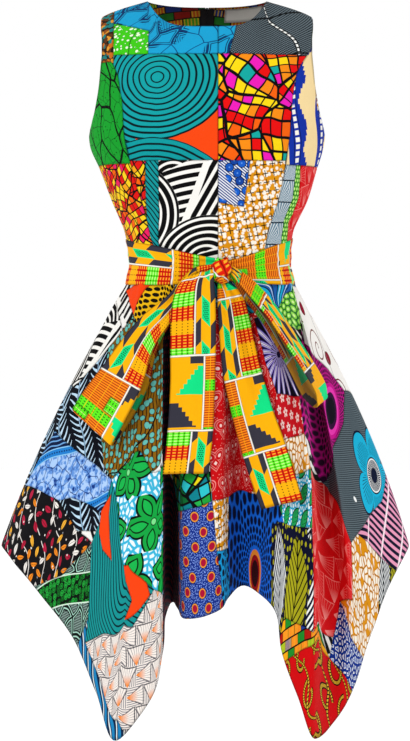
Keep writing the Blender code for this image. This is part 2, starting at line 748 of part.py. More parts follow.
def back_strip(grid, seams, left, right, depth, thickness):
    """A wall down the centre back from left to right of it, depth beneath the cloth's face.

    It runs from just under the neck edge to the zip's end, over the panels' own points.
    """
    panel, panel_normals = centre_panel(1, True)
    body, normals = panel[::-1, 0], panel_normals[::-1, 0]
    outwards = (panel[::-1, 1] - body) / (panel[::-1, 1, :1] - body[:, :1])
    edges = []
    for across in (left, right):
        over_panel = max(abs(across) - ZIP_SLOT, 0.0)
        upper = body + outwards * over_panel
        lower = grid[1 : ZIP_END_ROW + 1, seams["back_seam"]]
        edge = np.concatenate([upper, lower])
        start = edge[1] - edge[0]
        edge[0] += start * ZIP_START / np.linalg.norm(start)
        edge[:, 0] = across
        edges.append(edge)
    outer = np.stack(edges, axis=1)
    middle = outer.mean(axis=1)
    below = unit(np.cross(np.gradient(middle, axis=0), np.array([1.0, 0.0, 0.0])))
    below = below * np.sign(below[:, 1:2])
    normals = np.concatenate([normals, below[len(body) :]])[:, None]
    outer = outer - normals * depth
    return wall(outer, outer - normals * thickness)


def make_zip(grid, seams):
    """The centre back zip: tapes, closed coil, slider and the pull tab on its hinge."""
    coil_half = ZIP_SLOT - SEAM_GAP
    vertices, faces = back_strip(grid, seams, -coil_half, coil_half, 0.0, CLOTH)
    solid("zip_coil", vertices, faces, "zip_tape")
    depth = CLOTH + TAPE_GAP
    edge = SEAM_GAP / 2
    for name, left, right in (
        ("zip_tape_right", -TAPE_WIDTH, -edge),
        ("zip_tape_left", edge, TAPE_WIDTH),
    ):
        vertices, faces = back_strip(grid, seams, left, right, depth, TAPE_CLOTH)
        solid(name, vertices, faces, "zip_tape")
    make_slider()


def block(size, centre, down, out):
    """Corners and triangles of a box across X, along down and out."""
    across = np.array([1.0, 0.0, 0.0])
    corners = []
    for a in (-0.5, 0.5):
        for b in (-0.5, 0.5):
            for c in (-0.5, 0.5):
                corner = across * a * size[0] + down * b * size[1] + out * c * size[2]
                corners.append(centre + corner)
    quads = ((0, 1, 3, 2), (4, 6, 7, 5), (0, 4, 5, 1), (2, 3, 7, 6), (0, 2, 6, 4), (1, 5, 7, 3))
    faces = []
    for a, b, c, d in quads:
        faces.extend([(a, b, c), (a, c, d)])
    return np.array(corners), faces


def carve(target, tool, operation):
    """Join or cut a solid with a helper, which stays out of the render."""
    modifier = target.modifiers.new(tool.name, "BOOLEAN")
    modifier.operation = operation
    modifier.object = tool
    tool.hide_render = True
    tool.display_type = "WIRE"


def make_slider():
    """The slider at the top of the zip, its bridge, and the tab that hangs in the bridge."""
    seat = on_form(180.0, SLIDER_Z)
    out = form_normals(seat)
    down = np.cross(out, np.array([1.0, 0.0, 0.0]))
    if down[2] > 0:
        down = -down
    base_top = SLIDER_LIFT + SLIDER_BODY[2]
    base_centre = seat + out * (SLIDER_LIFT + SLIDER_BODY[2] / 2)
    slider = solid("zip_slider", *block(SLIDER_BODY, base_centre, down, out), "zip_metal")
    post_reach = (BRIDGE_HOLLOW[0] + BRIDGE_BAR) / 2
    post_height = BRIDGE_HOLLOW[1] + BRIDGE_BAR
    for name, way in (("bridge_post_up", -1), ("bridge_post_down", 1)):
        size = (BRIDGE_WIDTH, BRIDGE_BAR, post_height + POST_SUNK)
        rise = base_top + (post_height - POST_SUNK) / 2
        centre = seat + out * rise + down * way * post_reach
        post = solid(name, *block(size, centre, down, out), "zip_metal")
        carve(slider, post, "UNION")
    bar_size = (BRIDGE_WIDTH, BRIDGE_HOLLOW[0] + BRIDGE_BAR, BRIDGE_BAR)
    bar_centre = seat + out * (base_top + BRIDGE_HOLLOW[1] + BRIDGE_BAR / 2)
    bar = solid("bridge_bar", *block(bar_size, bar_centre, down, out), "zip_metal")
    carve(slider, bar, "UNION")

    hinge = seat + out * (base_top + BRIDGE_HOLLOW[1] / 2)
    eye_bar = TAB_PLATE[2]
    tab_centre = hinge + down * (TAB_PLATE[1] - eye_bar) / 2
    vertices, faces = block(TAB_PLATE, tab_centre, down, out)
    tab = solid("zip_pull_tab", vertices, faces, "zip_metal", origin=tuple(hinge))
    eye_centre = hinge + down * (eye_bar + TAB_EYE[1]) / 2
    eye_size = (TAB_EYE[0], TAB_EYE[1], TAB_PLATE[2] * 3)
    eye = solid("tab_eye", *block(eye_size, eye_centre, down, out), "zip_metal")
    carve(tab, eye, "DIFFERENCE")


def between(grid, row, place):
    """Point of a grid between its rows and columns, on the facets themselves."""
    low_row, low_place = int(row), int(place)
    part = row - low_row
    share = place - low_place
    high_row = min(low_row + 1, grid.shape[0] - 1)
    high_place = min(low_place + 1, grid.shape[1] - 1)
    lower = grid[low_row, low_place] * (1 - share) + grid[low_row, high_place] * share
    upper = grid[high_row, low_place] * (1 - share) + grid[high_row, high_place] * share
    return lower * (1 - part) + upper * part


def make_label():
    """The bare label inside the back neck, on the panel beside the zip."""
    grid, normals = centre_panel(1, True)
    last = grid.shape[0] - 1
    rows, directions = [], []
    for below_neck in LABEL_ROWS:
        rows.append([between(grid, last - below_neck, place) for place in LABEL_PLACES])
        directions.append([between(normals, last - below_neck, place) for place in LABEL_PLACES])
    label, directions = np.array(rows), unit(np.array(directions))
    outer = label - directions * (CLOTH + LABEL_GAP)
    vertices, faces = wall(outer, outer - directions * LABEL_CLOTH)
    solid("neck_label", vertices, faces, "label_cloth")


def make_band():
    """The sash band round the waist, over the waist seam, from one side of the knot to the other."""
    turns = np.linspace(BAND[0].turn, BAND[-1].turn, BAND_COLUMNS)
    top = smooth(column(BAND, "turn"), column(BAND, "top"), turns)
    foot = smooth(column(BAND, "turn"), column(BAND, "foot"), turns)
    rows = []
    for part in np.linspace(0.0, 1.0, BAND_ROWS):
        rows.append(on_form(turns, foot + (top - foot) * part))
    grid = np.array(rows)
    normals = form_normals(grid)
    inner = grid + normals * BAND_GAP
    vertices, faces = wall(inner + normals * SASH_CLOTH, inner)
    solid("sash_band", vertices, faces, "kente_print")


def make_knot():
    """The knot: wound cloth, one rounded solid."""
    vertices = [(0.0, 0.0, 1.0)]
    for parallel in range(1, KNOT_PARALLELS):
        dip = math.pi * parallel / KNOT_PARALLELS
        for meridian in range(KNOT_MERIDIANS):
            turn = 2 * math.pi * meridian / KNOT_MERIDIANS
            vertices.append(
                (math.sin(dip) * math.cos(turn), math.sin(dip) * math.sin(turn), math.cos(dip))
            )
    vertices.append((0.0, 0.0, -1.0))
    last = len(vertices) - 1
    faces = []
    for meridian in range(KNOT_MERIDIANS):
        after = (meridian + 1) % KNOT_MERIDIANS
        faces.append((0, 1 + meridian, 1 + after))
        for parallel in range(KNOT_PARALLELS - 2):
            a = 1 + parallel * KNOT_MERIDIANS
            b = a + KNOT_MERIDIANS
            faces.append((a + meridian, b + meridian, b + after))
            faces.append((a + meridian, b + after, a + after))
        ring = last - KNOT_MERIDIANS
        faces.append((last, ring + after, ring + meridian))
    shape = np.array(vertices)
    square = np.sign(shape) * np.abs(shape) ** KNOT_SQUARENESS
    solid("sash_knot", square * np.array(KNOT_RADII) + np.array(KNOT_CENTRE), faces, "kente_print")


def resampled(table, rows):
    """A table of crosswise lines, read smoothly at evenly spaced rows."""
    values = np.array(table, float)
    places = np.arange(len(table), dtype=float)
    return smooth(places, values, np.linspace(0.0, len(table) - 1.0, rows))


def grid_normals(grid):
    """Directions square to an open grid."""
    return unit(np.cross(np.gradient(grid, axis=0), np.gradient(grid, axis=1)))


def make_tail(name, table):
    """A hanging end of the sash."""
    lines = resampled(table, TAIL_ROWS)
    share = np.linspace(0.0, 1.0, TAIL_COLUMNS)[None, :, None]
    grid = lines[:, None, :3] * (1 - share) + lines[:, None, 3:] * share
    normals = grid_normals(grid)
    vertices, faces = wall(grid, grid + normals * SASH_CLOTH)
    solid(name, vertices, faces, "kente_print")


def make_loop(name, table):
    """A bow loop: the strip goes out, turns round at the end and comes back."""
    lines = resampled(table, LOOP_LAYER_ROWS)
    near, far, opening = lines[:, :3], lines[:, 3:6], lines[:, 6]
    middle = (near + far) / 2
    along = unit(np.gradient(middle, axis=0))
    across = unit(far - near)
    apart = unit(np.cross(along, across))
    rows = []
    for index in range(LOOP_LAYER_ROWS):
        offset = apart[index] * opening[index] / 2
        rows.append((near[index] - offset, far[index] - offset))
    radius = opening[-1] / 2
    for step in range(1, LOOP_END_STEPS):
        angle = math.pi * step / LOOP_END_STEPS
        shift = -apart[-1] * radius * math.cos(angle) + along[-1] * radius * math.sin(angle)
        rows.append((near[-1] + shift, far[-1] + shift))
    for index in reversed(range(LOOP_LAYER_ROWS)):
        offset = apart[index] * opening[index] / 2
        rows.append((near[index] + offset, far[index] + offset))
    ends = np.array(rows)
    share = np.linspace(0.0, 1.0, LOOP_COLUMNS)[None, :, None]
    grid = ends[:, None, 0] * (1 - share) + ends[:, None, 1] * share
    normals = grid_normals(grid)
    half = SASH_CLOTH / 2
    vertices, faces = wall(grid + normals * half, grid - normals * half)
    solid(name, vertices, faces, "kente_print")


def main():
    """Clear the scene, then make every piece."""
    for old in list(bpy.data.objects):
        bpy.data.objects.remove(old, do_unlink=True)
    make_bodice()
    grid, normals, seams = skirt_surface()
    make_skirt(grid, normals, seams)
    make_zip(grid, seams)
    make_label()
    make_band()
    make_knot()
    make_loop("bow_loop_right", RIGHT_LOOP)
    make_loop("bow_loop_left", LEFT_LOOP)
    make_tail("sash_tail_right", RIGHT_TAIL)
    make_tail("sash_tail_left", LEFT_TAIL)


main()
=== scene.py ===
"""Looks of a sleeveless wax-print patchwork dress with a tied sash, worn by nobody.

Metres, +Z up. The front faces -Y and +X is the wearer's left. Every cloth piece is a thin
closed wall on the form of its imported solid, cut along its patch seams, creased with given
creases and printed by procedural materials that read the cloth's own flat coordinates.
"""

from __future__ import annotations

import logging
import math
from collections.abc import Callable, Iterable, Mapping, Sequence
from dataclasses import dataclass
from enum import Enum
from functools import partial
from typing import NamedTuple

import bmesh
import bpy
import numpy as np
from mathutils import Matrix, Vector


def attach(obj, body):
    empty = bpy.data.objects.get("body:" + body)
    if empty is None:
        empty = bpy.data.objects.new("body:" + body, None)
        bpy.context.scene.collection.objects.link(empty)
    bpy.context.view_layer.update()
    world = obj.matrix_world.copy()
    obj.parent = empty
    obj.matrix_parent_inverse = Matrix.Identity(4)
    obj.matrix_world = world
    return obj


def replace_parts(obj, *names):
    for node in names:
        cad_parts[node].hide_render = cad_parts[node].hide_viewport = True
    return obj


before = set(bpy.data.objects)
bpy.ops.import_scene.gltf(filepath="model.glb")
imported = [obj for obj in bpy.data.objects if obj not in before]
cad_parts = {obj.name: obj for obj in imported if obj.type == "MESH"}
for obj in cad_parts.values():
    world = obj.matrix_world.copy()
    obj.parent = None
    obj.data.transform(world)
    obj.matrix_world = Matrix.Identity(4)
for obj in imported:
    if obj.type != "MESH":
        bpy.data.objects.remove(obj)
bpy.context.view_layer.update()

logging.basicConfig(level=logging.INFO, format="%(message)s")
LOG = logging.getLogger("dress")

Array = np.ndarray

# The cloth: its thicknesses, its pressed-in seams and its creases and folds.
CLOTH = 0.0008
SASH_CLOTH = 0.0011
SEAM_HALF = 0.0022
SEAM_DIP = 0.0008
SEAM_PROBE = SEAM_HALF / 8 * np.array([1.0, 0.7])
CREASE_RISE = 1.7
CREASE_WANDER = 0.3
CREASE_BEND = 4.0
BAND_Z = -0.395
TIED_REACH = 0.034
TIED_SHARE = 0.65
FOLD_WANDER = 0.25
FOLD_BEND = 38.0
PRINT_MAP = "print"
THREAD_MAP = "thread"

# The dress: its main levels, edges and openings.
WAIST_Z = -0.392
BAND_FOOT_Z = -0.430
NECK_Z = 0.013
SHOULDER_TIP_Z = -0.0118
UNDERARM_Z = -0.196
YOKE_Z = -0.100
PRINCESS_TOP_Z = -0.062
ROUNDNESS = 2.3
FRONT_SEAM_X = 0.017
ZIP_SLOT = 0.0025
NECK_HALF_WIDTH = 0.093
FRONT_NECK_Z = -0.032
FRONT_NECK_POWER = 4.4
BACK_NECK_Z = 0.0075
BACK_NECK_POWER = 3


# ---------------------------------------------------------------- size tables


class Ring(NamedTuple):
    """One level of the body form."""

    z: float
    half_width: float
    front: float
    back: float
    shift: float


class Opening(NamedTuple):
    """Armhole edge at one level: its reach in front of the shoulder line and behind it."""

    z: float
    front: float
    back: float


class Seam(NamedTuple):
    """Princess seam at one level: sideways distance from the form's middle."""

    z: float
    front: float
    back: float


class Fold(NamedTuple):
    """One line of the skirt from the waist to the hem."""

    name: str
    turn: float
    hem_x: float
    hem_y: float
    hem_z: float
    bow_x: float
    bow_y: float


class Strip(NamedTuple):
    """One crosswise line of a hanging sash end, from its edge at low x to the other."""

    low_x: float
    low_y: float
    low_z: float
    high_x: float
    high_y: float
    high_z: float


class Bight(NamedTuple):
    """One line across a bow loop: its two edges, and how far apart its layers lie."""

    near_x: float
    near_y: float
    near_z: float
    far_x: float
    far_y: float
    far_z: float
    opening: float


class BandLevel(NamedTuple):
    """Where the sash band's top and foot run, at one turn round the waist."""

    turn: float
    top: float
    foot: float


RINGS = (
    Ring(-0.440, 0.1330, 0.0960, 0.0900, 0.0050),
    Ring(-0.392, 0.1238, 0.0920, 0.0860, 0.0046),
    Ring(-0.345, 0.1310, 0.0970, 0.0880, 0.0030),
    Ring(-0.296, 0.1520, 0.1080, 0.0940, 0.0040),
    Ring(-0.246, 0.1690, 0.1180, 0.1010, 0.0020),
    Ring(-0.215, 0.1805, 0.1220, 0.1040, 0.0000),
    Ring(-0.196, 0.1830, 0.1220, 0.1050, 0.0000),
    Ring(-0.160, 0.1800, 0.1180, 0.1050, 0.0000),
    Ring(-0.120, 0.1770, 0.1110, 0.1030, 0.0000),
    Ring(-0.080, 0.1745, 0.0990, 0.0980, 0.0000),
    Ring(-0.045, 0.1705, 0.0830, 0.0890, 0.0000),
    Ring(-0.022, 0.1660, 0.0680, 0.0780, 0.0000),
    Ring(-0.010, 0.1600, 0.0570, 0.0690, 0.0000),
    Ring(0.0015, 0.1320, 0.0420, 0.0560, 0.0000),
    Ring(0.0130, 0.0930, 0.0180, 0.0300, 0.0000),
)


ARMHOLE = (
    Opening(UNDERARM_Z, 0.000, 0.000),
    Opening(-0.1935, 0.0125, 0.0110),
    Opening(-0.187, 0.023, 0.020),
    Opening(-0.170, 0.034, 0.030),
    Opening(-0.140, 0.043, 0.038),
    Opening(-0.100, 0.044, 0.040),
    Opening(-0.062, 0.038, 0.035),
    Opening(-0.030, 0.021, 0.020),
    Opening(SHOULDER_TIP_Z, 0.000, 0.000),
)


PRINCESS = (
    Seam(WAIST_Z, 0.080, 0.068),
    Seam(-0.330, 0.096, 0.078),
    Seam(-0.250, 0.118, 0.096),
    Seam(-0.200, 0.127, 0.106),
    Seam(-0.140, 0.131, 0.116),
    Seam(-0.100, 0.140, 0.132),
)
FOLDS = (
    Fold("side_right", -90, -0.321, 0.046, -0.833, -0.013, 0.000),
    Fold("right_flap_1", -75, -0.256, -0.062, -0.904, -0.010, 0.000),
    Fold("right_flap_2", -63, -0.206, -0.122, -0.963, -0.005, 0.000),
    Fold("right_flap_3", -53, -0.167, -0.180, -1.045, 0.000, 0.000),
    Fold("right_point", -46, -0.1355, -0.226, -1.112, 0.000, 0.000),
    Fold("right_flap_4", -40, -0.102, -0.236, -1.076, 0.000, 0.000),
    Fold("right_flap_5", -35, -0.078, -0.232, -1.038, 0.000, 0.000),
    Fold("right_edge", -31, -0.066, -0.210, -0.986, 0.000, -0.010),
    Fold("right_valley_wall", -27, -0.0630, -0.130, -0.938, 0.000, 0.014),
    Fold("right_valley", -23, -0.054, -0.055, -0.916, 0.000, 0.012),
    Fold("front_rise", -18, -0.045, -0.135, -0.921, 0.000, 0.010),
    Fold("front_shoulder", -13, -0.031, -0.200, -0.932, 0.000, 0.000),
    Fold("front_ridge", -3, -0.0045, -0.222, -0.927, 0.000, 0.000),
    Fold("front_step_top", 4, 0.021, -0.210, -0.917, 0.000, 0.000),
    Fold("front_seam", 8, 0.032, -0.176, -0.903, 0.000, 0.006),
    Fold("middle_valley", 14, 0.057, -0.126, -0.886, 0.000, 0.014),
    Fold("left_rise", 22, 0.083, -0.160, -0.901, 0.004, 0.006),
    Fold("left_front_1", 32, 0.103, -0.210, -0.925, 0.010, 0.000),
    Fold("left_front_2", 42, 0.1095, -0.240, -0.973, 0.016, -0.004),
    Fold("left_front_3", 51, 0.136, -0.250, -1.047, 0.020, -0.006),
    Fold("left_point", 59, 0.161, -0.242, -1.108, 0.022, -0.012),
    Fold("left_valley_wall", 63, 0.173, -0.222, -1.104, 0.020, 0.050),
    Fold("left_valley", 67, 0.188, -0.196, -1.090, 0.029, 0.080),
    Fold("left_flap_1", 72, 0.208, -0.168, -1.066, 0.027, 0.046),
    Fold("left_flap_2", 77, 0.226, -0.130, -1.034, 0.020, 0.000),
    Fold("left_flap_3", 81, 0.245, -0.084, -0.982, 0.018, -0.004),
    Fold("left_flap_4", 85, 0.279, -0.028, -0.898, 0.018, 0.000),
    Fold("side_left", 90, 0.316, 0.046, -0.833, 0.016, 0.000),
    Fold("back_left_1", 97, 0.299, 0.104, -0.856, 0.016, 0.000),
    Fold("back_left_2", 103, 0.266, 0.150, -0.902, 0.008, 0.006),
    Fold("back_left_dip", 110, 0.228, 0.082, -0.950, 0.000, -0.010),
    Fold("back_left_3", 117, 0.212, 0.178, -0.992, 0.000, 0.006),
    Fold("back_left_point", 124, 0.176, 0.226, -1.076, 0.000, 0.006),
    Fold("back_left_4", 131, 0.146, 0.224, -1.010, 0.000, 0.002),
    Fold("back_left_edge", 138, 0.118, 0.196, -0.934, 0.000, 0.000),
    Fold("back_left_valley", 146, 0.088, 0.072, -0.900, 0.000, -0.012),
    Fold("back_left_rise", 154, 0.060, 0.188, -0.900, 0.000, -0.002),
    Fold("back_left_ridge", 164, 0.032, 0.218, -0.902, 0.000, 0.004),
    Fold("back_seam", 181.35, 0.000, 0.168, -0.892, 0.000, 0.000),
    Fold("back_right_ridge", 195, -0.034, 0.216, -0.898, 0.000, 0.002),
    Fold("back_right_rise", 205, -0.062, 0.184, -0.900, 0.000, -0.002),
    Fold("back_right_valley", 213, -0.088, 0.070, -0.902, 0.000, -0.012),
    Fold("back_right_edge", 221, -0.112, 0.192, -0.946, 0.000, 0.000),
    Fold("back_right_4", 229, -0.140, 0.220, -1.014, 0.000, 0.002),
    Fold("back_right_point", 237, -0.168, 0.222, -1.064, 0.000, 0.006),
    Fold("back_right_3", 244, -0.208, 0.180, -0.986, 0.000, 0.004),
    Fold("back_right_dip", 251, -0.226, 0.090, -0.940, 0.000, -0.010),
    Fold("back_right_2", 257, -0.264, 0.144, -0.904, -0.005, 0.004),
    Fold("back_right_1", 263, -0.300, 0.100, -0.858, -0.010, 0.000),
)
RIGHT_TAIL = (
    Strip(-0.033, -0.1210, -0.417, 0.0108, -0.1100, -0.4045),
    Strip(-0.047, -0.1235, -0.437, 0.0110, -0.1235, -0.4270),
    Strip(-0.054, -0.1255, -0.466, 0.0130, -0.1260, -0.4560),
    Strip(-0.056, -0.1270, -0.520, 0.0135, -0.1290, -0.5150),
    Strip(-0.056, -0.1330, -0.582, 0.0120, -0.1410, -0.5800),
    Strip(-0.060, -0.1480, -0.652, 0.0090, -0.1590, -0.6500),
    Strip(-0.067, -0.1640, -0.716, 0.0020, -0.1760, -0.7145),
)
LEFT_TAIL = (
    Strip(0.0160, -0.1100, -0.4272, 0.0330, -0.1100, -0.4266),
    Strip(0.0155, -0.1150, -0.4500, 0.0530, -0.1130, -0.4420),
    Strip(0.0175, -0.1190, -0.4860, 0.0640, -0.1120, -0.4760),
    Strip(0.0240, -0.1270, -0.5620, 0.0800, -0.1180, -0.5480),
    Strip(0.0380, -0.1320, -0.6300, 0.0980, -0.1420, -0.6140),
    Strip(0.0560, -0.1470, -0.6960, 0.1200, -0.1650, -0.6760),
    Strip(0.0810, -0.1690, -0.7690, 0.1430, -0.1980, -0.7530),
)


RIGHT_LOOP = (
    Bight(0.0106, -0.1045, -0.397, 0.0106, -0.1045, -0.418, 0.004),
    Bight(-0.024, -0.1060, -0.406, -0.022, -0.1080, -0.446, 0.006),
    Bight(-0.060, -0.1060, -0.447, -0.058, -0.1150, -0.492, 0.011),
    Bight(-0.103, -0.1020, -0.486, -0.080, -0.1240, -0.531, 0.018),
    Bight(-0.152, -0.0960, -0.551, -0.094, -0.1320, -0.584, 0.022),
    Bight(-0.183, -0.0900, -0.590, -0.121, -0.1300, -0.637, 0.018),
    Bight(-0.203, -0.0850, -0.617, -0.142, -0.1240, -0.671, 0.010),
)
LEFT_LOOP = (
    Bight(0.0360, -0.1220, -0.414, 0.0360, -0.1020, -0.400, 0.004),
    Bight(0.0560, -0.1380, -0.444, 0.0640, -0.1020, -0.422, 0.011),
    Bight(0.0860, -0.1520, -0.482, 0.0980, -0.1010, -0.460, 0.014),
    Bight(0.1100, -0.1610, -0.520, 0.1240, -0.1080, -0.500, 0.016),
    Bight(0.1340, -0.1610, -0.560, 0.1500, -0.1060, -0.544, 0.021),
    Bight(0.1530, -0.1530, -0.594, 0.1700, -0.0980, -0.580, 0.023),
    Bight(0.1620, -0.1470, -0.611, 0.1790, -0.0930, -0.598, 0.012),
)
BAND = (
    BandLevel(7.5, -0.394, -0.4225),
    BandLevel(24, -0.384, -0.4260),
    BandLevel(45, -0.370, -0.4280),
    BandLevel(80, -0.357, -0.4275),
    BandLevel(180, -0.354, -0.4240),
    BandLevel(275, -0.357, -0.4275),
    BandLevel(315, -0.366, -0.4290),
    BandLevel(340, -0.376, -0.4290),
    BandLevel(366, -0.390, -0.4225),
)


# ---------------------------------------------------------------- numbers and curves


def smooth(places: Sequence[float], values: Array, at: Array) -> Array:
    """Read a smooth curve through values at their places.

    Args:
        places: rising places of the values.
        values: one value, or one row of values, for each place.
        at: where to read the curve.

    Returns:
        The values read there.
    """
    places = np.asarray(places, float)
    values = np.asarray(values, float)
    at = np.asarray(at, float)
    slopes = np.gradient(values, places, axis=0)
    slot = np.clip(np.searchsorted(places, at, side="right") - 1, 0, len(places) - 2)
    span = places[slot + 1] - places[slot]
    part = np.clip((at - places[slot]) / span, 0.0, 1.0)
    if values.ndim > 1:
        part = part[..., None]
        span = span[..., None]
    start = (1 + 2 * part) * (1 - part) ** 2 * values[slot]
    end = part**2 * (3 - 2 * part) * values[slot + 1]
    leave = part * (1 - part) ** 2 * span * slopes[slot]
    arrive = part**2 * (part - 1) * span * slopes[slot + 1]
    return start + end + leave + arrive


def column(table: Sequence[NamedTuple], name: str) -> Array:
    """Take one named column of a table."""
    return np.array([getattr(row, name) for row in table], float)


def unit(vectors: Array) -> Array:
    """Scale vectors to length one."""
    return vectors / np.maximum(np.linalg.norm(vectors, axis=-1, keepdims=True), 1e-12)


def ease(value: Array) -> Array:
    """Run smoothly from 0 to 1 as the value does, and stay there outside."""
    part = np.clip(value, 0.0, 1.0)
    return part**2 * (3 - 2 * part)


def lengths(points: Array, axis: int) -> Array:
    """Length along one axis of a grid of points, up to each point.

    Args:
        points: the grid.
        axis: the axis to go along.

    Returns:
        The lengths, zero at the first points.
    """
    steps = np.linalg.norm(np.diff(points, axis=axis), axis=-1)
    total = np.cumsum(steps, axis=axis)
    return np.concatenate([np.zeros_like(np.take(total, [0], axis=axis)), total], axis=axis)


def grid_normals(grid: Array) -> Array:
    """Directions square to an open grid of points."""
    return unit(np.cross(np.gradient(grid, axis=0), np.gradient(grid, axis=1)))


def facing_out(grid: Array, normals: Array) -> Array:
    """Turn directions so that they lead away from the body's upright middle line."""
    outward = grid * np.array([1.0, 1.0, 0.0])
    return normals * np.sign((normals * outward).sum(axis=-1, keepdims=True))


def spaced(*stops: tuple[float, int]) -> Array:
    """Rising shares made of runs: each stop is where its run ends and its number of steps.

    Args:
        stops: end and number of steps of each run.

    Returns:
        The shares, from 0 on.
    """
    values, start = [0.0], 0.0
    for end, steps in stops:
        values.extend(start + (end - start) * np.arange(1, steps + 1) / steps)
        start = end
    return np.array(values)


# ---------------------------------------------------------------- the body form


class BodyForm:
    """The general body form that the bodice and the waist band lie on."""

    @staticmethod
    def ring_at(z: Array) -> list[Array]:
        """Half width, front reach, back reach and shift of the form at level z.

        Args:
            z: the level, or many.

        Returns:
            The four, each with one value for each level.
        """
        levels = column(RINGS, "z")
        names = ("half_width", "front", "back", "shift")
        return [smooth(levels, column(RINGS, name), z) for name in names]

    @classmethod
    def point(cls, turn: Array, z: Array) -> Array:
        """Points of the form at these turns, degrees from the front, and levels.

        Args:
            turn: the turns.
            z: the levels.

        Returns:
            One point for each turn and level.
        """
        turn, z = np.broadcast_arrays(np.radians(turn), z)
        half_width, front, back, shift = cls.ring_at(z)
        across, along = np.sin(turn), np.cos(turn)
        x = shift + half_width * np.sign(across) * np.abs(across) ** (2 / ROUNDNESS)
        reach = np.where(along > 0, front, back)
        y = -reach * np.sign(along) * np.abs(along) ** (2 / ROUNDNESS)
        return np.stack([x, y, z], axis=-1)

    @classmethod
    def turn_of(cls, x: Array, z: Array, back: bool = False) -> Array:
        """Turn at which the form at level z reaches sideways to x.

        Args:
            x: the sideways place.
            z: the level.
            back: whether the point is on the back.

        Returns:
            The turn, in degrees from the front.
        """
        half_width, _, _, shift = cls.ring_at(z)
        share = np.clip((np.asarray(x) - shift) / half_width, -1.0, 1.0)
        turn = np.degrees(np.arcsin(np.abs(share) ** (ROUNDNESS / 2))) * np.sign(share)
        return 180 - turn if back else turn

    @classmethod
    def armhole_turn(cls, z: Array, back: bool = False) -> Array:
        """Turn of the armhole edge at level z, on the +X side.

        Args:
            z: the level.
            back: whether it is the back edge.

        Returns:
            The turn, in degrees from the front.
        """
        reach = smooth(column(ARMHOLE, "z"), column(ARMHOLE, "back" if back else "front"), z)
        _, front, behind, _ = cls.ring_at(z)
        share = np.clip(reach / (behind if back else front), 0.0, 1.0)
        turn = np.degrees(np.arccos(share ** (ROUNDNESS / 2)))
        return 180 - turn if back else turn

    @classmethod
    def princess_x(cls, z: Array, back: bool = False) -> Array:
        """Reach of the princess seam from the form's middle at level z.

        Args:
            z: the level.
            back: whether it is the back seam.

        Returns:
            The reach.
        """
        levels = np.append(column(PRINCESS, "z"), PRINCESS_TOP_Z)
        top = cls.point(cls.armhole_turn(PRINCESS_TOP_Z, back), PRINCESS_TOP_Z)[..., 0]
        across = np.append(column(PRINCESS, "back" if back else "front"), top)
        return smooth(levels, across, z)

    @staticmethod
    def neck_z(x: Array, back: bool = False) -> Array:
        """Level of the neck edge at sideways distance x.

        Args:
            x: the sideways distance.
            back: whether it is the back neck.

        Returns:
            The level.
        """
        share = np.clip(np.abs(x) / NECK_HALF_WIDTH, 0.0, 1.0)
        low, power = (BACK_NECK_Z, BACK_NECK_POWER) if back else (FRONT_NECK_Z, FRONT_NECK_POWER)
        return low + (NECK_Z - low) * share**power


# ---------------------------------------------------------------- printing by nodes


def hue(code: str) -> tuple[float, float, float, float]:
    """Turn a hex colour into the linear colour that a socket takes.

    Args:
        code: six hex digits.

    Returns:
        Red, green, blue and opacity.
    """
    shares = [int(code[start : start + 2], 16) / 255 for start in (0, 2, 4)]
    linear = [s / 12.92 if s <= 0.04045 else ((s + 0.055) / 1.055) ** 2.4 for s in shares]
    return (*linear, 1.0)


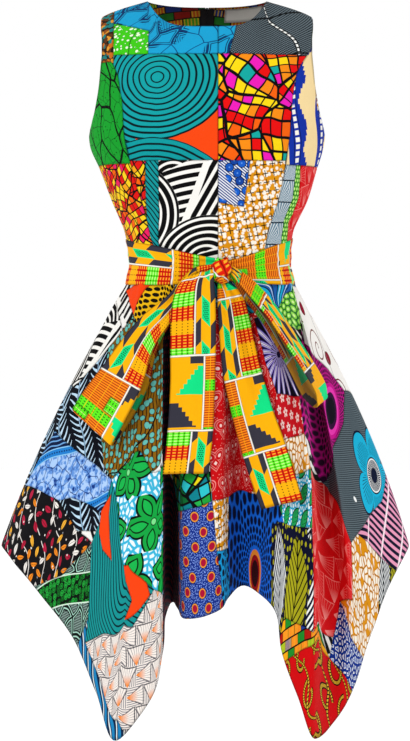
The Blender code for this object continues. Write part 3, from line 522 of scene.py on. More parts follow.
class Field:
    """A number worked out by nodes at every point of a cloth, written like arithmetic."""

    def __init__(self, ground: Ground, socket: bpy.types.NodeSocket) -> None:
        """Keep the node socket that gives the number."""
        self.ground = ground
        self.socket = socket

    def __add__(self, other: Number) -> Field:
        """Sum."""
        return self.ground.math("ADD", self, other)

    __radd__ = __add__

    def __sub__(self, other: Number) -> Field:
        """Difference."""
        return self.ground.math("SUBTRACT", self, other)

    def __rsub__(self, other: Number) -> Field:
        """Difference from a plain number."""
        return self.ground.math("SUBTRACT", other, self)

    def __mul__(self, other: Number) -> Field:
        """Product."""
        return self.ground.math("MULTIPLY", self, other)

    __rmul__ = __mul__

    def __truediv__(self, other: Number) -> Field:
        """Share."""
        return self.ground.math("DIVIDE", self, other)

    def __neg__(self) -> Field:
        """The number with its sign turned."""
        return self.ground.math("MULTIPLY", self, -1.0)

    def __abs__(self) -> Field:
        """Size without its sign."""
        return self.ground.math("ABSOLUTE", self)

    def __invert__(self) -> Field:
        """The rest of a mask: 1 where it is 0."""
        return self.ground.math("SUBTRACT", 1.0, self)

    def __and__(self, other: Number) -> Field:
        """Where both masks are."""
        return self.ground.math("MINIMUM", self, other)

    def __or__(self, other: Number) -> Field:
        """Where either mask is."""
        return self.ground.math("MAXIMUM", self, other)

    def sine(self) -> Field:
        """Sine of an angle."""
        return self.ground.math("SINE", self)

    def root(self) -> Field:
        """Square root."""
        return self.ground.math("SQRT", self)

    def under(self, edge: Number, soft: float = 0.0005) -> Field:
        """Mask of where the number is below an edge.

        Args:
            edge: where the mask ends, a number or a field.
            soft: width over which it fades out.

        Returns:
            The mask, 1 below the edge and 0 above it.
        """
        if isinstance(edge, Field):
            return (self - edge).under(0.0, soft)
        return self.ground.math("MULTIPLY_ADD", self, -1 / soft, edge / soft + 0.5, clamp=True)

    def over(self, edge: Number, soft: float = 0.0005) -> Field:
        """Mask of where the number is above an edge."""
        return ~self.under(edge, soft)

    def repeat(self, pitch: float) -> Field:
        """Distance from the nearest of a row of lines, with its sign."""
        return self.ground.math("WRAP", self, pitch / 2, -pitch / 2)

    def index(self, pitch: float) -> Field:
        """Whole number of the nearest of a row of lines."""
        return self.ground.math("ROUND", self * (1 / pitch))

    def line(self, pitch: float, width: float) -> Field:
        """Mask of lines a pitch apart."""
        return abs(self.repeat(pitch)).under(width / 2)

    def odd(self) -> Field:
        """Mask of where a whole number is odd."""
        return abs((self * 0.5).repeat(1.0)).over(0.25, 0.01)


Number = Field | float
Colour = tuple[float, float, float, float] | bpy.types.NodeSocket
Place = tuple[Field, Field]
Feeds = Mapping[str | int, object]


class NodeWork:
    """A material, built up node by node."""

    def __init__(self, name: str) -> None:
        """Start a material of this name.

        Args:
            name: name of the material.
        """
        self.material = bpy.data.materials.new(name)
        self.material.use_nodes = True
        self.tree = self.material.node_tree
        self.shader = self.tree.nodes["Principled BSDF"]

    def node(self, kind: str, inputs: Feeds | None = None, **settings: object) -> bpy.types.Node:
        """Add one node.

        Args:
            kind: what node it is.
            inputs: what feeds its sockets, by their names or numbers.
            settings: its own settings.

        Returns:
            The node.
        """
        node = self.tree.nodes.new(kind)
        for name, value in settings.items():
            setattr(node, name, value)
        self.feed(node, inputs or {})
        return node

    def feed(self, node: bpy.types.Node, inputs: Feeds) -> None:
        """Feed some sockets of a node."""
        for socket, value in inputs.items():
            self.link(value, node.inputs[socket])

    def link(self, source: object, target: bpy.types.NodeSocket) -> None:
        """Feed one socket.

        Args:
            source: a field, another socket or a plain value.
            target: the socket that takes it.
        """
        if isinstance(source, Field):
            source = source.socket
        if isinstance(source, bpy.types.NodeSocket):
            self.tree.links.new(source, target)
        else:
            target.default_value = source


class Ground(NodeWork):
    """The material of one print: its place on the cloth, and the colour printed so far."""

    def __init__(self, name: str, colour: str) -> None:
        """Start a print on a plain ground colour.

        Args:
            name: name of the material.
            colour: the ground colour, in hex.
        """
        super().__init__(name)
        self.u, self.v = self.map_of(PRINT_MAP)
        self.colour: Colour = hue(colour)

    def map_of(self, name: str) -> Place:
        """Place on one of the cloth's flat maps.

        Args:
            name: name of the map.

        Returns:
            The two fields of the place.
        """
        flat = self.node("ShaderNodeUVMap", uv_map=name)
        split = self.node("ShaderNodeSeparateXYZ", {0: flat.outputs[0]})
        return Field(self, split.outputs[0]), Field(self, split.outputs[1])

    def attribute(self, name: str) -> Field:
        """Read one of the cloth's own numbers."""
        return Field(self, self.node("ShaderNodeAttribute", attribute_name=name).outputs["Fac"])

    def math(self, operation: str, *values: Number, clamp: bool = False) -> Field:
        """Work out one step of arithmetic."""
        step = self.node("ShaderNodeMath", dict(enumerate(values)), operation=operation, use_clamp=clamp)
        return Field(self, step.outputs[0])

    def vector(self, u: Number, v: Number, w: Number = 0.0) -> bpy.types.NodeSocket:
        """Join numbers into a vector."""
        return self.node("ShaderNodeCombineXYZ", {0: u, 1: v, 2: w}).outputs[0]

    def noise(self, size: float, detail: float = 2.0, seed: float = 0.0) -> Field:
        """Soft cloudy number around 0.5.

        Args:
            size: size of its blots, in metres.
            detail: how many finer clouds lie in it.
            seed: which of many clouds it is.

        Returns:
            The number.
        """
        inputs = {"Vector": self.vector(self.u, self.v, seed), "Scale": 1 / size, "Detail": detail}
        return Field(self, self.node("ShaderNodeTexNoise", inputs).outputs["Fac"])

    def chance(self, i: Number, j: Number, seed: float = 0.0) -> Field:
        """A chance number from 0 to 1 for each pair of whole numbers."""
        texture = self.node("ShaderNodeTexWhiteNoise", {"Vector": self.vector(i, j, seed)})
        return Field(self, texture.outputs["Value"])

    def cells(self, u: Number, v: Number, size: float, random: float, feature: str) -> bpy.types.Node:
        """Scatter cells of this size, the more evenly the lower random is."""
        inputs = {"Vector": self.vector(u, v), "Scale": 1 / size, "Randomness": random}
        return self.node("ShaderNodeTexVoronoi", inputs, voronoi_dimensions="2D", feature=feature)

    def scattered(self, u: Number, v: Number, size: float, random: float = 1.0) -> Place:
        """Scatter points over the cloth.

        Args:
            u: place across.
            v: place up.
            size: how far apart they are.
            random: how unevenly they lie.

        Returns:
            Distance to the nearest point, and the chance number of that point.
        """
        texture = self.cells(u, v, size, random, "F1")
        split = self.node("ShaderNodeSeparateXYZ", {0: texture.outputs["Color"]})
        return Field(self, texture.outputs["Distance"]) * size, Field(self, split.outputs[0])

    def cracks(self, u: Number, v: Number, size: float, random: float = 1.0) -> Field:
        """Distance to the border between scattered cells of this size."""
        texture = self.cells(u, v, size, random, "DISTANCE_TO_EDGE")
        return Field(self, texture.outputs["Distance"]) * size

    def bent(self, amount: float, size: float, seed: float = 0.0) -> Place:
        """The place on the cloth, wandering.

        Args:
            amount: how far it wanders.
            size: over what length it turns.
            seed: which of many ways it takes.

        Returns:
            The bent place.
        """
        along = self.u + (self.noise(size, 1.0, seed) - 0.5) * (2 * amount)
        aside = self.v + (self.noise(size, 1.0, seed + 7.3) - 0.5) * (2 * amount)
        return along, aside

    @staticmethod
    def lattice(
        u: Field, v: Field, across: float, up: float, stagger: float = 0.5
    ) -> tuple[Field, Field, Field, Field]:
        """Divide the cloth into the cells of a staggered lattice.

        Args:
            u: place across.
            v: place up.
            across: width of a cell.
            up: height of a cell.
            stagger: how far each row is moved aside from the last, as a share of a cell.

        Returns:
            Place across and up from the middle of the nearest cell, and its two numbers.
        """
        row = v.index(up)
        shifted = u + row * (across * stagger)
        return shifted.repeat(across), v.repeat(up), shifted.index(across), row

    @staticmethod
    def turned(u: Field, v: Field, turn: Field) -> Place:
        """A place turned about its middle by an angle in radians."""
        cosine, sine = (turn + math.pi / 2).sine(), turn.sine()
        return u * cosine + v * sine, v * cosine - u * sine

    def triangles(self, cell: float) -> tuple[Field, Field, Field]:
        """Divide the cloth into squares that each hold a triangle, every other one turned.

        Args:
            cell: size of a square.

        Returns:
            Place along and aside from the triangle's point, and the angle there.
        """
        p, q, i, j = self.lattice(*self.bent(cell * 0.06, cell), cell, cell)
        flip = (i + j).odd()
        along = p + (q - p) * flip + cell * 0.55
        aside = q + (-1.0 * p - q) * flip
        return along, aside, self.angle(along, aside)

    @staticmethod
    def reach(u: Field, v: Field) -> Field:
        """Distance from the middle."""
        return (u * u + v * v).root()

    def angle(self, u: Number, v: Number) -> Field:
        """Angle round the middle, in radians."""
        return self.math("ARCTAN2", v, u)

    @staticmethod
    def leaf(u: Field, v: Field, length: float, width: float) -> Field:
        """Mask of one pointed leaf along u."""
        share = u * (2 / length)
        return abs(v).under((1.0 - share * share) * (width / 2))

    def pick(self, value: Field, colours: Sequence[str]) -> bpy.types.NodeSocket:
        """One of several colours.

        Args:
            value: a number from 0 to 1 that says which.
            colours: the colours, in hex.

        Returns:
            The colour's socket.
        """
        node = self.node("ShaderNodeValToRGB", {0: value})
        ramp = node.color_ramp
        ramp.interpolation = "CONSTANT"
        while len(ramp.elements) < len(colours):
            ramp.elements.new(1.0)
        for number, (element, code) in enumerate(zip(ramp.elements, colours)):
            element.position = number / len(colours)
            element.color = hue(code)
        return node.outputs[0]

    def paint(self, mask: Number, colour: str | Colour) -> None:
        """Print a colour over the ground where the mask is."""
        inputs = {0: mask, 6: self.colour, 7: hue(colour) if isinstance(colour, str) else colour}
        self.colour = self.node("ShaderNodeMix", inputs, data_type="RGBA").outputs[2]

    def nested(
        self, value: Field, *layers: tuple[Number, str | Colour], where: Field | None = None
    ) -> None:
        """Print colours inside one another, each where a number is under its own edge.

        Args:
            value: the number.
            layers: edge and colour of each, the widest first.
            where: a mask that all of them keep inside.
        """
        for edge, colour in layers:
            mask = value.under(edge)
            self.paint(mask if where is None else mask & where, colour)


# ---------------------------------------------------------------- the prints


TEAL_BLACK = "04191E"
COOL_WHITE = "F2F5F4"
BONE = "EFE9E2"
ZEBRA_BLACK = "080809"
NIGHT_NAVY = "07122E"
LIME = "5CE81E"
COAL = "35343F"
KENTE_GREEN = "10DE84"
LEAF_BLACK = "17420E"
SOOT = "121114"
JOINT_BLACK = "08070A"
BASKET_GREY = "77747C"
PLEAT_GREY = "4A484E"
CURL_BLACK = "060302"
BEAD_GOLD = "E2B42E"
PETAL_RED = "C8202C"
SCROLL_BROWN = "6A241A"
OLIVE = "A8A41A"
GOLD = "F9B20C"


class Print(Ground):
    """A ground that any print of the dress can be laid on, each by a method of its own."""

    def blue_veins(self) -> None:
        """Sky blue with navy outlines, thick ones in clumps and thin ones upright."""
        u, v = self.bent(0.010, 0.05)
        outline = self.cracks(u * 0.8, v * 1.1, 0.034)
        _, chance = self.scattered(u * 0.8, v * 1.1, 0.034)
        clump = self.noise(0.05, 0.0, 2.0).over(0.46, 0.04)
        veins = (v + abs(u.repeat(0.026)) * 1.2).line(0.0052, 0.0018)
        self.paint(veins & chance.over(0.50, 0.01) & clump, "0C2458")
        self.paint(outline.under(0.0019) & clump, "0A1C48")
        self.paint(abs(outline - 0.0044).under(0.0007) & clump, "0A1C48")
        self.paint(outline.under(0.0007), "0A3C70")

    def bubbles(self) -> None:
        """Green ground with pale bubbles of mixed sizes."""
        near, chance = self.scattered(self.u, self.v, 0.0086, 0.7)
        size = chance * 0.0024 + 0.0006
        self.nested(near, (size + 0.0006, "1C8A1E"), (size, "EAFBD8"))
        self.paint(abs(self.u.repeat(0.042) - 0.008).under(0.0006), "123A12")

    def earth_mottle(self) -> None:
        """Brown, orange and teal blots with dark cracks."""
        near, chance = self.scattered(*self.bent(0.003, 0.012), 0.008)
        self.paint(1.0, self.pick(chance, ("5A3216", "C2691C", "1E7C7A", "8A4A1B", "E0952B")))
        self.paint(near.over(0.0046), "26160C")

    def slate_rope(self) -> None:
        """Slate crosshatch with a white rope line between black ones."""
        u, v = self.u, self.v
        self.paint((u + v).line(0.0042, 0.0020), "7E8C94")
        self.paint((u - v).line(0.0042, 0.0020), "10161A")
        path = (u * 0.86 + v * 0.50 + (v * 42.0).sine() * 0.005 - 0.004).repeat(0.115)
        along = (v * 0.86 - u * 0.50).repeat(0.0068)
        self.paint(abs(path).under(0.0048), "06080A")
        self.paint(abs(path).under(0.0022) & abs(along).under(0.0023), "F4F5F2")
        other = (u * 0.5 - v * 0.87 + (u * 50.0).sine() * 0.004 + 0.02).repeat(0.078)
        self.paint(abs(other).under(0.0015), "06080A")

    def rings(self) -> None:
        """Dark rings on teal from one middle, a flat orange field, and arcs from below it."""
        u, v = self.bent(0.0018, 0.03)
        reach = self.reach(u * 0.90, v * 1.04)
        below = self.reach(u + 0.015, v + 0.252)
        ring = abs(reach.repeat(0.0092))
        self.paint(ring.under(0.0010 + reach * 0.008) & reach.over(0.003), TEAL_BLACK)
        corner = v.under(-0.03)
        field = corner & reach.over(0.101) & u.over(-0.035, 0.002)
        self.paint(field, "F2460E")
        self.paint(abs(reach - 0.101).under(0.0014) & corner, TEAL_BLACK)
        arcs = corner & below.under(0.158)
        self.paint(arcs, "0C9498")
        self.paint(arcs & (below - 0.158).line(0.0098, 0.0032), TEAL_BLACK)

    def waves(self) -> None:
        """Teal bands that wave side by side."""
        u, v = self.u, self.v
        wave = v + (u * 50.0).sine() * 0.008 + (self.noise(0.05, 1.0) - 0.5) * 0.02
        self.paint(wave.line(0.0088, 0.0025), TEAL_BLACK)
        self.paint(wave.line(0.0264, 0.0045), "0C6A74")

    def flow(self) -> None:
        """Teal ground with thick dark lines that bow side by side."""
        u, v = self.u, self.v
        bow = self.reach(u - 0.155, v * 0.8 - 0.04)
        lines = bow + (self.noise(0.10, 0.0, 3.1) - 0.5) * 0.05
        self.paint(lines.line(0.0084, 0.0024), "04222A")

    def branches(self) -> None:
        """Green ground with a few thick black branches and thin twigs."""
        u, v = self.bent(0.006, 0.04, 2.0)
        edge = self.cracks(u * 1.2, v * 0.75, 0.052)
        self.paint(edge.under(0.0020), "070C08")
        fine = self.cracks(u + 0.4, v, 0.024)
        self.paint(fine.under(0.00045), "0A3A14")
        dots, _ = self.scattered(u, v, 0.017)
        self.paint(dots.under(0.0011), "070C08")

    def mosaic(self, colours: Sequence[str], block: float, across: float, up: float) -> None:
        """Bright cells in blocks that each lean their own way, between black lines.

        Args:
            colours: the cells' colours.
            block: size of a block of cells that lean together.
            across: width of a cell.
            up: height of a cell.
        """
        u, v = self.bent(block * 0.22, block * 1.1)
        _, lean = self.scattered(u, v, block)
        edge = self.cracks(u, v, block)
        turned = self.turned(u, v, lean * 3.1)
        p, q, i, j = self.lattice(*turned, across, up, 0.0)
        chance = self.chance(i, j + lean.index(0.05), 4.0)
        self.paint(1.0, self.pick(chance, colours))
        self.paint(abs(p).over(across * 0.41), JOINT_BLACK)
        self.paint(abs(q).over(up * 0.43), JOINT_BLACK)
        self.paint(edge.under(block * 0.034), JOINT_BLACK)

    def blue_chequer(self) -> None:
        """Royal blue beside cream with a stepped edge, and a ladder of white squares."""
        u, v = self.u, self.v
        band = (u + v * 0.16 + 0.052).repeat(0.094)
        step = self.math("FLOOR", v * (1 / 0.0085)) * 0.0085
        edge = band - abs(step.repeat(0.075)) * 0.55 + 0.008
        self.paint(edge.over(0.0), "F4D9A0")
        bars = v.line(0.0135, 0.0058) & abs(band + 0.021).under(0.0066) & (v * 12.0).sine().over(0.1, 0.05)
        self.paint(bars, "F6F2E6")
        ladder = abs(band + 0.024).under(0.0050) & abs(v.repeat(0.0110)).under(0.0036)
        self.paint(ladder & (v * 12.0).sine().under(0.0, 0.05), "F6F2E6")
        self.paint(abs(abs(band + 0.024) - 0.0088).under(0.0009), "06103C")

    def ribs(self) -> None:
        """Dark ribs that slant and bow across teal."""
        slant = self.v + self.u * 1.1 + (self.u * 90.0).sine() * 0.002
        self.paint(slant.line(0.0094, 0.0030), TEAL_BLACK)

    def zebra(self) -> None:
        """Fans of thick black bars on white: round ones beside straight ones."""
        u, v = self.u.repeat(0.150), self.v.repeat(0.140)
        left = self.reach(u + 0.092, v - 0.030)
        low = self.reach(u + 0.006, v * 1.15 + 0.098)
        straight = self.reach(u * 0.8 + 0.03, v + 0.12)
        in_low = low.under(0.082)
        in_left = left.under(0.084) & ~in_low
        rest = ~(in_low | in_left)
        slanted = (v * 0.78 - u * 0.62).line(0.0125, 0.0076) & (v - u * 1.1).under(-0.012)
        self.paint(rest & straight.line(0.0125, 0.0070) & (v - u * 1.1).over(0.004), ZEBRA_BLACK)
        self.paint(rest & slanted, ZEBRA_BLACK)
        self.paint(in_left & (left - 0.084).line(0.0118, 0.0080), ZEBRA_BLACK)
        self.paint(in_low & (low - 0.082).line(0.0118, 0.0074), ZEBRA_BLACK)

    def berries(self) -> None:
        """Blue berries in clusters over white hatching."""
        u, v = self.u, self.v
        self.paint((u * 0.5 + v).line(0.0040, 0.0020), "14307C")
        near, chance = self.scattered(u, v, 0.0150, 0.55)
        clump = self.noise(0.05, 0.0, 1.0).over(0.42, 0.02)
        blues = self.pick(chance, ("1250B4", "185CC6", "10409A"))
        self.nested(near, (0.0072, "050820"), (0.0060, blues), (0.0013, "5C97E6"), where=clump)

    def crackle(self, light: str, mark: str, cell: float) -> None:
        """Rounded pale cells cracked all over.

        Args:
            light: colour of the cells.
            mark: colour of the cracks between them.
            cell: size of a cell.
        """
        u, v = self.bent(cell * 0.35, cell * 1.4)
        _, chance = self.scattered(u, v, cell)
        edge = self.cracks(u, v, cell)
        self.paint(edge.over(cell * 0.13, cell * 0.08) & chance.over(0.22, 0.02), light)
        self.paint(edge.under(cell * 0.035) & chance.over(0.35, 0.02), mark)

    def slate_lines(self) -> None:
        """Fine white lines fanning over slate."""
        u, v = self.u, self.v
        p, q, _, _ = self.lattice(u, v, 0.03, 0.034)
        turn = self.angle(p, q + 0.017)
        self.paint(turn.line(0.17, 0.05), "E9EEF0")
        self.paint(abs(q + 0.016).under(0.0012), "20303C")

    def peas(self) -> None:
        """Round green peas in rows."""
        p, q, _, _ = self.lattice(self.u, self.v, 0.0075, 0.0066)
        self.nested(self.reach(p, q), (0.0030, "8EDB4A"), (0.0014, "D6F4A0"))

    def fans(self, apex: str, rays: str, hatch: str, cell: float) -> None:
        """Pleated triangles that turn about a basket of squares.

        Args:
            apex: colour of a triangle's point.
            rays: colour of the rest of it.
            hatch: colour of its pleats and its base.
            cell: size of a square.
        """
        along, aside, spread = self.triangles(cell)
        near = self.reach(along, aside)
        inside = abs(spread).under(0.52, 0.01) & along.under(cell * 1.0)
        self.paint(inside, rays)
        self.paint(inside & near.under(cell * 0.38, cell * 0.5), apex)
        self.paint(inside & spread.line(0.150, 0.018), hatch)
        self.paint(abs(along - cell * 0.99).under(cell * 0.02) & abs(spread).under(0.52), hatch)

    def ovals(self) -> None:
        """Black oval dots in slanting rows on yellow."""
        u, v = self.u, self.v
        p, q, _, _ = self.lattice(u + v * 0.35, v, 0.0096, 0.0088)
        self.paint(self.reach(p * 0.85, q * 1.1).under(0.0035), "100C06")

    def brown_blobs(self) -> None:
        """Teal blobs and black rays over brown."""
        u, v = self.bent(0.004, 0.03)
        turn = self.angle(u - 0.05, v - 0.14)
        self.paint(turn.line(0.035, 0.011), "33200A")
        near, chance = self.scattered(u, v, 0.0125, 0.7)
        size = chance * 0.0012
        self.nested(near, (0.0044 + size, "3B2A10"), (0.0034 + size, "63B9AE"))
        sweep = self.reach(u + 0.06, v - 0.02).repeat(0.06)
        self.paint(abs(sweep).under(0.0012), "140D06")

    def ferns(self) -> None:
        """Pale ferns on black: curved stems with paired leaflets."""
        u, v = self.bent(0.007, 0.05)
        stem = u + (v * 30.0).sine() * 0.008
        aside, _, cell, _ = self.lattice(stem, v, 0.052, 0.3, 0.0)
        frond = (v - abs(aside) * 0.50 + cell * 0.005 - aside * aside * 16.0).repeat(0.0125)
        leaflet = abs(frond).under(0.0027 - abs(aside) * 0.078)
        self.paint(leaflet & abs(aside).under(0.0215) & abs(aside).over(0.0018), "BFDDF2")
        self.paint(abs(aside).under(0.0009), "9CC4E4")

    def indigo_crackle(self) -> None:
        """A large cracked leaf between bands of dots, in indigo."""
        u, v = self.u, self.v
        bow = abs(v + (u * 20.0).sine() * 0.010 - 0.002)
        mottle = self.noise(0.009, 2.0, 3.0)
        leaf = bow.under(0.042)
        self.paint(leaf & mottle.over(0.36, 0.05), "5E90D8")
        self.paint(leaf & mottle.over(0.50, 0.08), "A9C9F2")
        edge = self.cracks(*self.bent(0.006, 0.02), 0.021)
        self.paint(leaf & edge.under(0.0006, 0.0004), "1A3C80")
        band = abs(bow - 0.049)
        self.paint(band.under(0.0052), "1F7CCC")
        self.paint(band.under(0.0012) & u.line(0.0062, 0.0030), "0C2458")
        self.paint(abs(band - 0.0060).under(0.0008), "8CCBF2")
        beyond = bow.over(0.0565)
        self.paint(beyond, "0A1A40")
        self.paint(beyond & (bow + (u * 160.0).sine() * 0.0012).line(0.0076, 0.0022), "6CA6E0")

    def vines(self) -> None:
        """Leaf vines on near black: pale stems with red, orange and white leaves."""
        u, v = self.bent(0.004, 0.03)
        stem = (u + (v * 52.0).sine() * 0.010).repeat(0.044)
        self.paint(abs(stem).under(0.0008), BONE)
        p, q, i, j = self.lattice(u, v, 0.0215, 0.0180)
        chance = self.chance(i, j, 2.0)
        along, across = self.turned(p, q, self.chance(i, j, 5.0) * 3.14)
        aside = across + along * along * 16.0
        leaf = self.leaf(along, aside, 0.0180, 0.0078)
        colours = ("F28A1E", BONE, "C21F45", "F5B236", BONE, "B01838", SOOT)
        self.paint(leaf, self.pick(chance, colours))
        self.paint(leaf & abs(aside).under(0.00035), SOOT)
        berry, which = self.scattered(u + 0.3, v, 0.0190)
        self.paint(berry.under(0.0015), self.pick(which, ("8C8A90", BONE, SOOT)))

    def green_scales(self) -> None:
        """Dotted grey-green scrolled in black, round a dark band of green scales."""
        u, v = self.u, self.v
        p, q, _, _ = self.lattice(u, v, 0.0038, 0.0038)
        self.paint(self.reach(p, q).under(0.0015), "1A2624")
        scroll = self.cracks(*self.bent(0.010, 0.04), 0.034)
        self.paint(scroll.under(0.0062), "0A1410")
        self.paint(abs(scroll - 0.0030).under(0.0009), "A8D8C4")
        bow = abs(v + (u * 20.0).sine() * 0.010 + 0.020)
        self.paint(bow.under(0.0235), "D6EEDA")
        body = bow.under(0.0215)
        self.paint(body, "041408")
        near, chance = self.scattered(u, v, 0.0105, 0.5)
        self.paint(body & near.under(0.0048), self.pick(chance, ("148A2C", "1FA83A", "0C6A20")))
        self.paint(body & abs(near - 0.0028).under(0.0005), "041408")

    def big_leaves(self) -> None:
        """Whorls of large green leaves with black outlines over a pale blue crackle."""
        u, v = self.u, self.v
        edge = self.cracks(u, v, 0.011)
        self.paint(edge.over(0.0022, 0.0010), "E9F6FA")
        p, q, i, j = self.lattice(u, v, 0.098, 0.086)
        reach = self.reach(p, q)
        wedge = (self.angle(p, q) + self.chance(i, j, 6.0) * 6.28).repeat(math.tau / 5)
        along, aside = reach * (wedge + math.pi / 2).sine() - 0.0260, reach * wedge.sine()
        for length, width, colour in (
            (0.0560, 0.0370, "050E07"),
            (0.0490, 0.0300, "12A040"),
            (0.0340, 0.0180, "06250F"),
            (0.0280, 0.0130, "16B04A"),
        ):
            self.paint(self.leaf(along, aside, length, width), colour)
        self.nested(reach, (0.0060, "050E07"), (0.0046, "7BE08C"))

    def marble(self) -> None:
        """Streaks of blue and white over navy."""
        swirl = (self.noise(0.09, 1.0, 1.0) - 0.5) * 0.05
        streak = self.u * 0.98 + self.v * 0.15 + swirl
        self.paint(streak.line(0.0150, 0.0062), "1A7FB8")
        self.paint((streak + 0.0062).line(0.0150, 0.0022), "E6F2F4")

    def navy_dots(self) -> None:
        """Small red dots with dark rims in the deep folds' navy."""
        p, q, _, _ = self.lattice(self.u, self.v, 0.0125, 0.0115)
        self.nested(self.reach(p, q * 0.9), (0.0034, "4A0A16"), (0.0025, "8E1526"))

    def royal_speckle(self) -> None:
        """Royal blue specks with crimson dots ringed in orange."""
        u, v = self.u, self.v
        near, _ = self.scattered(u, v, 0.0026)
        self.paint(near.under(0.0007, 0.0003), "7E9CE8")
        p, q, i, j = self.lattice(u, v, 0.0265, 0.0205)
        chance = self.chance(i, j, 3.0)
        reach = self.reach(p + (chance - 0.5) * 0.006, q * 0.82)
        self.nested(reach, (0.0064, "0A1238"), (0.0056, "EE9A34"), (0.0043, "A80E34"))

    def cyan_blobs(self) -> None:
        """Cyan ground with rounded black blobs."""
        edge = self.cracks(self.u, self.v * 0.8, 0.0105, 0.7)
        self.paint(edge.over(0.0019), "071A33")

    def hearts(self) -> None:
        """Pink lace hearts on red."""
        u, v = self.u, self.v
        p, q, _, _ = self.lattice(u, v, 0.034, 0.040)
        share = abs(p)
        heart = self.reach(share - 0.0062, q - 0.004 - share * 0.25)
        point = share + abs(q + 0.004) * 0.75
        rim = heart & point
        pink, red = "EE8C86", "C80E16"
        self.nested(rim, (0.0092, pink), (0.0080, red), (0.0064, pink), (0.0056, red), (0.0024, "F7D8D2"))
        small, _ = self.scattered(u, v, 0.006)
        self.paint(small.under(0.0007) & rim.over(0.011), "F09A96")

    def eye(self, dots: str, iris: str, pupil: str, rim: str, size: float, count: int) -> None:
        """Dark dots that radiate in growing rows from one ringed oval.

        Args:
            dots: colour of the dots.
            iris: colour of the oval.
            pupil: colour of its middle and its spokes.
            rim: colour of the ring round it.
            size: reach of the oval.
            count: number of dots in a row round it.
        """
        u, v = self.bent(0.0015, 0.03)
        reach = self.reach(u * 1.08, v * 0.62)
        grown = self.math("LOGARITHM", self.reach(u * 1.1, v * 0.86), math.e)
        pitch = math.tau / count
        rows = grown.index(pitch * 1.1)
        around = (self.angle(u * 1.1, v * 0.86) + rows * (pitch / 2)).repeat(pitch)
        spot = self.reach(around, grown.repeat(pitch * 1.1) * 0.78)
        self.paint(spot.under(pitch * 0.38, 0.02) & reach.over(size * 1.7), dots)
        self.nested(reach, (size * 1.45, rim), (size * 1.12, iris))
        self.paint(reach.under(size * 1.12) & around.line(pitch / 2, pitch / 9), pupil)
        self.paint(reach.under(size * 0.80), pupil)

    def feathers(self) -> None:
        """White feathers on navy beside olive fronds with dark ribs."""
        u, v = self.bent(0.003, 0.05)
        p, q, i, _ = self.lattice(u, v, 0.062, 0.110)
        frond = i.odd()
        bend = p + q * q * 4.0 - 0.004
        shape = self.leaf(q, bend, 0.110, 0.060)
        barbs = (q + abs(bend) * 1.3).line(0.0096, 0.0044)
        self.paint(frond & shape, OLIVE)
        self.paint(frond & shape & (q - abs(bend) * 1.2).line(0.0120, 0.0030), "080A06")
        self.paint((~frond) & shape & barbs, COOL_WHITE)
        self.paint(shape & abs(bend).under(0.0012), "080A06")
        dots, _ = self.scattered(u, v, 0.0096, 0.4)
        self.paint((~shape) & dots.under(0.0024), OLIVE)

    def purple_flower(self) -> None:
        """One spiky pale flower bursting over near black."""
        u, v = self.u, self.v
        reach, turn = self.reach(u, v), self.angle(u, v)
        ray = abs(turn.repeat(math.tau / 20))
        self.paint(ray.under((0.092 - reach) * 2.2, 0.02), "4A34A0")
        self.paint(ray.under((0.082 - reach) * 1.9, 0.02), "B9AEEC")
        self.paint(ray.under((0.070 - reach) * 1.2, 0.02), "1A1048")
        self.paint(ray.under(0.022, 0.010) & reach.over(0.020), "F0ECFF")
        self.paint(reach.under(0.0050), "120C34")

    def red_flowers(self) -> None:
        """White flowers of five petals on red."""
        u, v = self.u, self.v
        p, q, _, _ = self.lattice(u, v, 0.0225, 0.0205)
        reach, turn = self.reach(p, q), self.angle(p, q)
        petal = reach - (abs((turn * 2.5).sine()) * 0.0046 + 0.0032)
        self.paint(petal.under(0.0), "F6E4DE")
        self.paint(petal.under(0.0) & turn.line(0.314, 0.07), PETAL_RED)
        self.paint(reach.under(0.0018), PETAL_RED)

    def cyan_leaves(self) -> None:
        """Green leaves over cyan and white cracked self."""
        u, v = self.u, self.v
        edge = self.cracks(u, v, 0.008)
        self.paint(edge.over(0.0015), "EAF6F8")
        p, q, _, _ = self.lattice(u * 0.7 + v * 0.7, v * 0.7 - u * 0.7, 0.05, 0.028)
        self.paint(self.leaf(p, q, 0.044, 0.023), "08301A")
        leaf = self.leaf(p, q, 0.040, 0.018)
        self.paint(leaf, "1E9C52")
        self.paint(leaf & (abs(q) - p * 0.6).line(0.006, 0.0009), "08301A")

    def blue_lines(self) -> None:
        """Blue and cyan bands of fine lines crossing at an angle."""
        u, v = self.u, self.v
        swirl = (self.noise(0.07, 0.0, 8.0) - 0.5) * 0.10
        line = u * 0.7 + v * 0.7 + swirl
        self.paint(line.line(0.026, 0.013), "1D5CA8")
        self.paint(line.line(0.0065, 0.0016), "0A1E44")
        self.paint((line + 0.003).line(0.013, 0.0010), "E4F4FA")

    def brown_scrolls(self) -> None:
        """White ground with a few brown scrolls and crimson buds."""
        u, v = self.u, self.v
        p, q, _, _ = self.lattice(u, v, 0.092, 0.082)
        reach, turn = self.reach(p, q), self.angle(p, q)
        scroll = (reach - turn * 0.0030).repeat(0.0188)
        self.paint(abs(scroll).under(0.0012) & reach.under(0.036), SCROLL_BROWN)
        bud = self.reach(p - 0.034, q - 0.020)
        self.nested(bud, (0.0105, SCROLL_BROWN), (0.0080, "8E1430"))
        self.paint(abs(v + u * 0.4 - 0.03).under(0.0007), "8A8A8C")

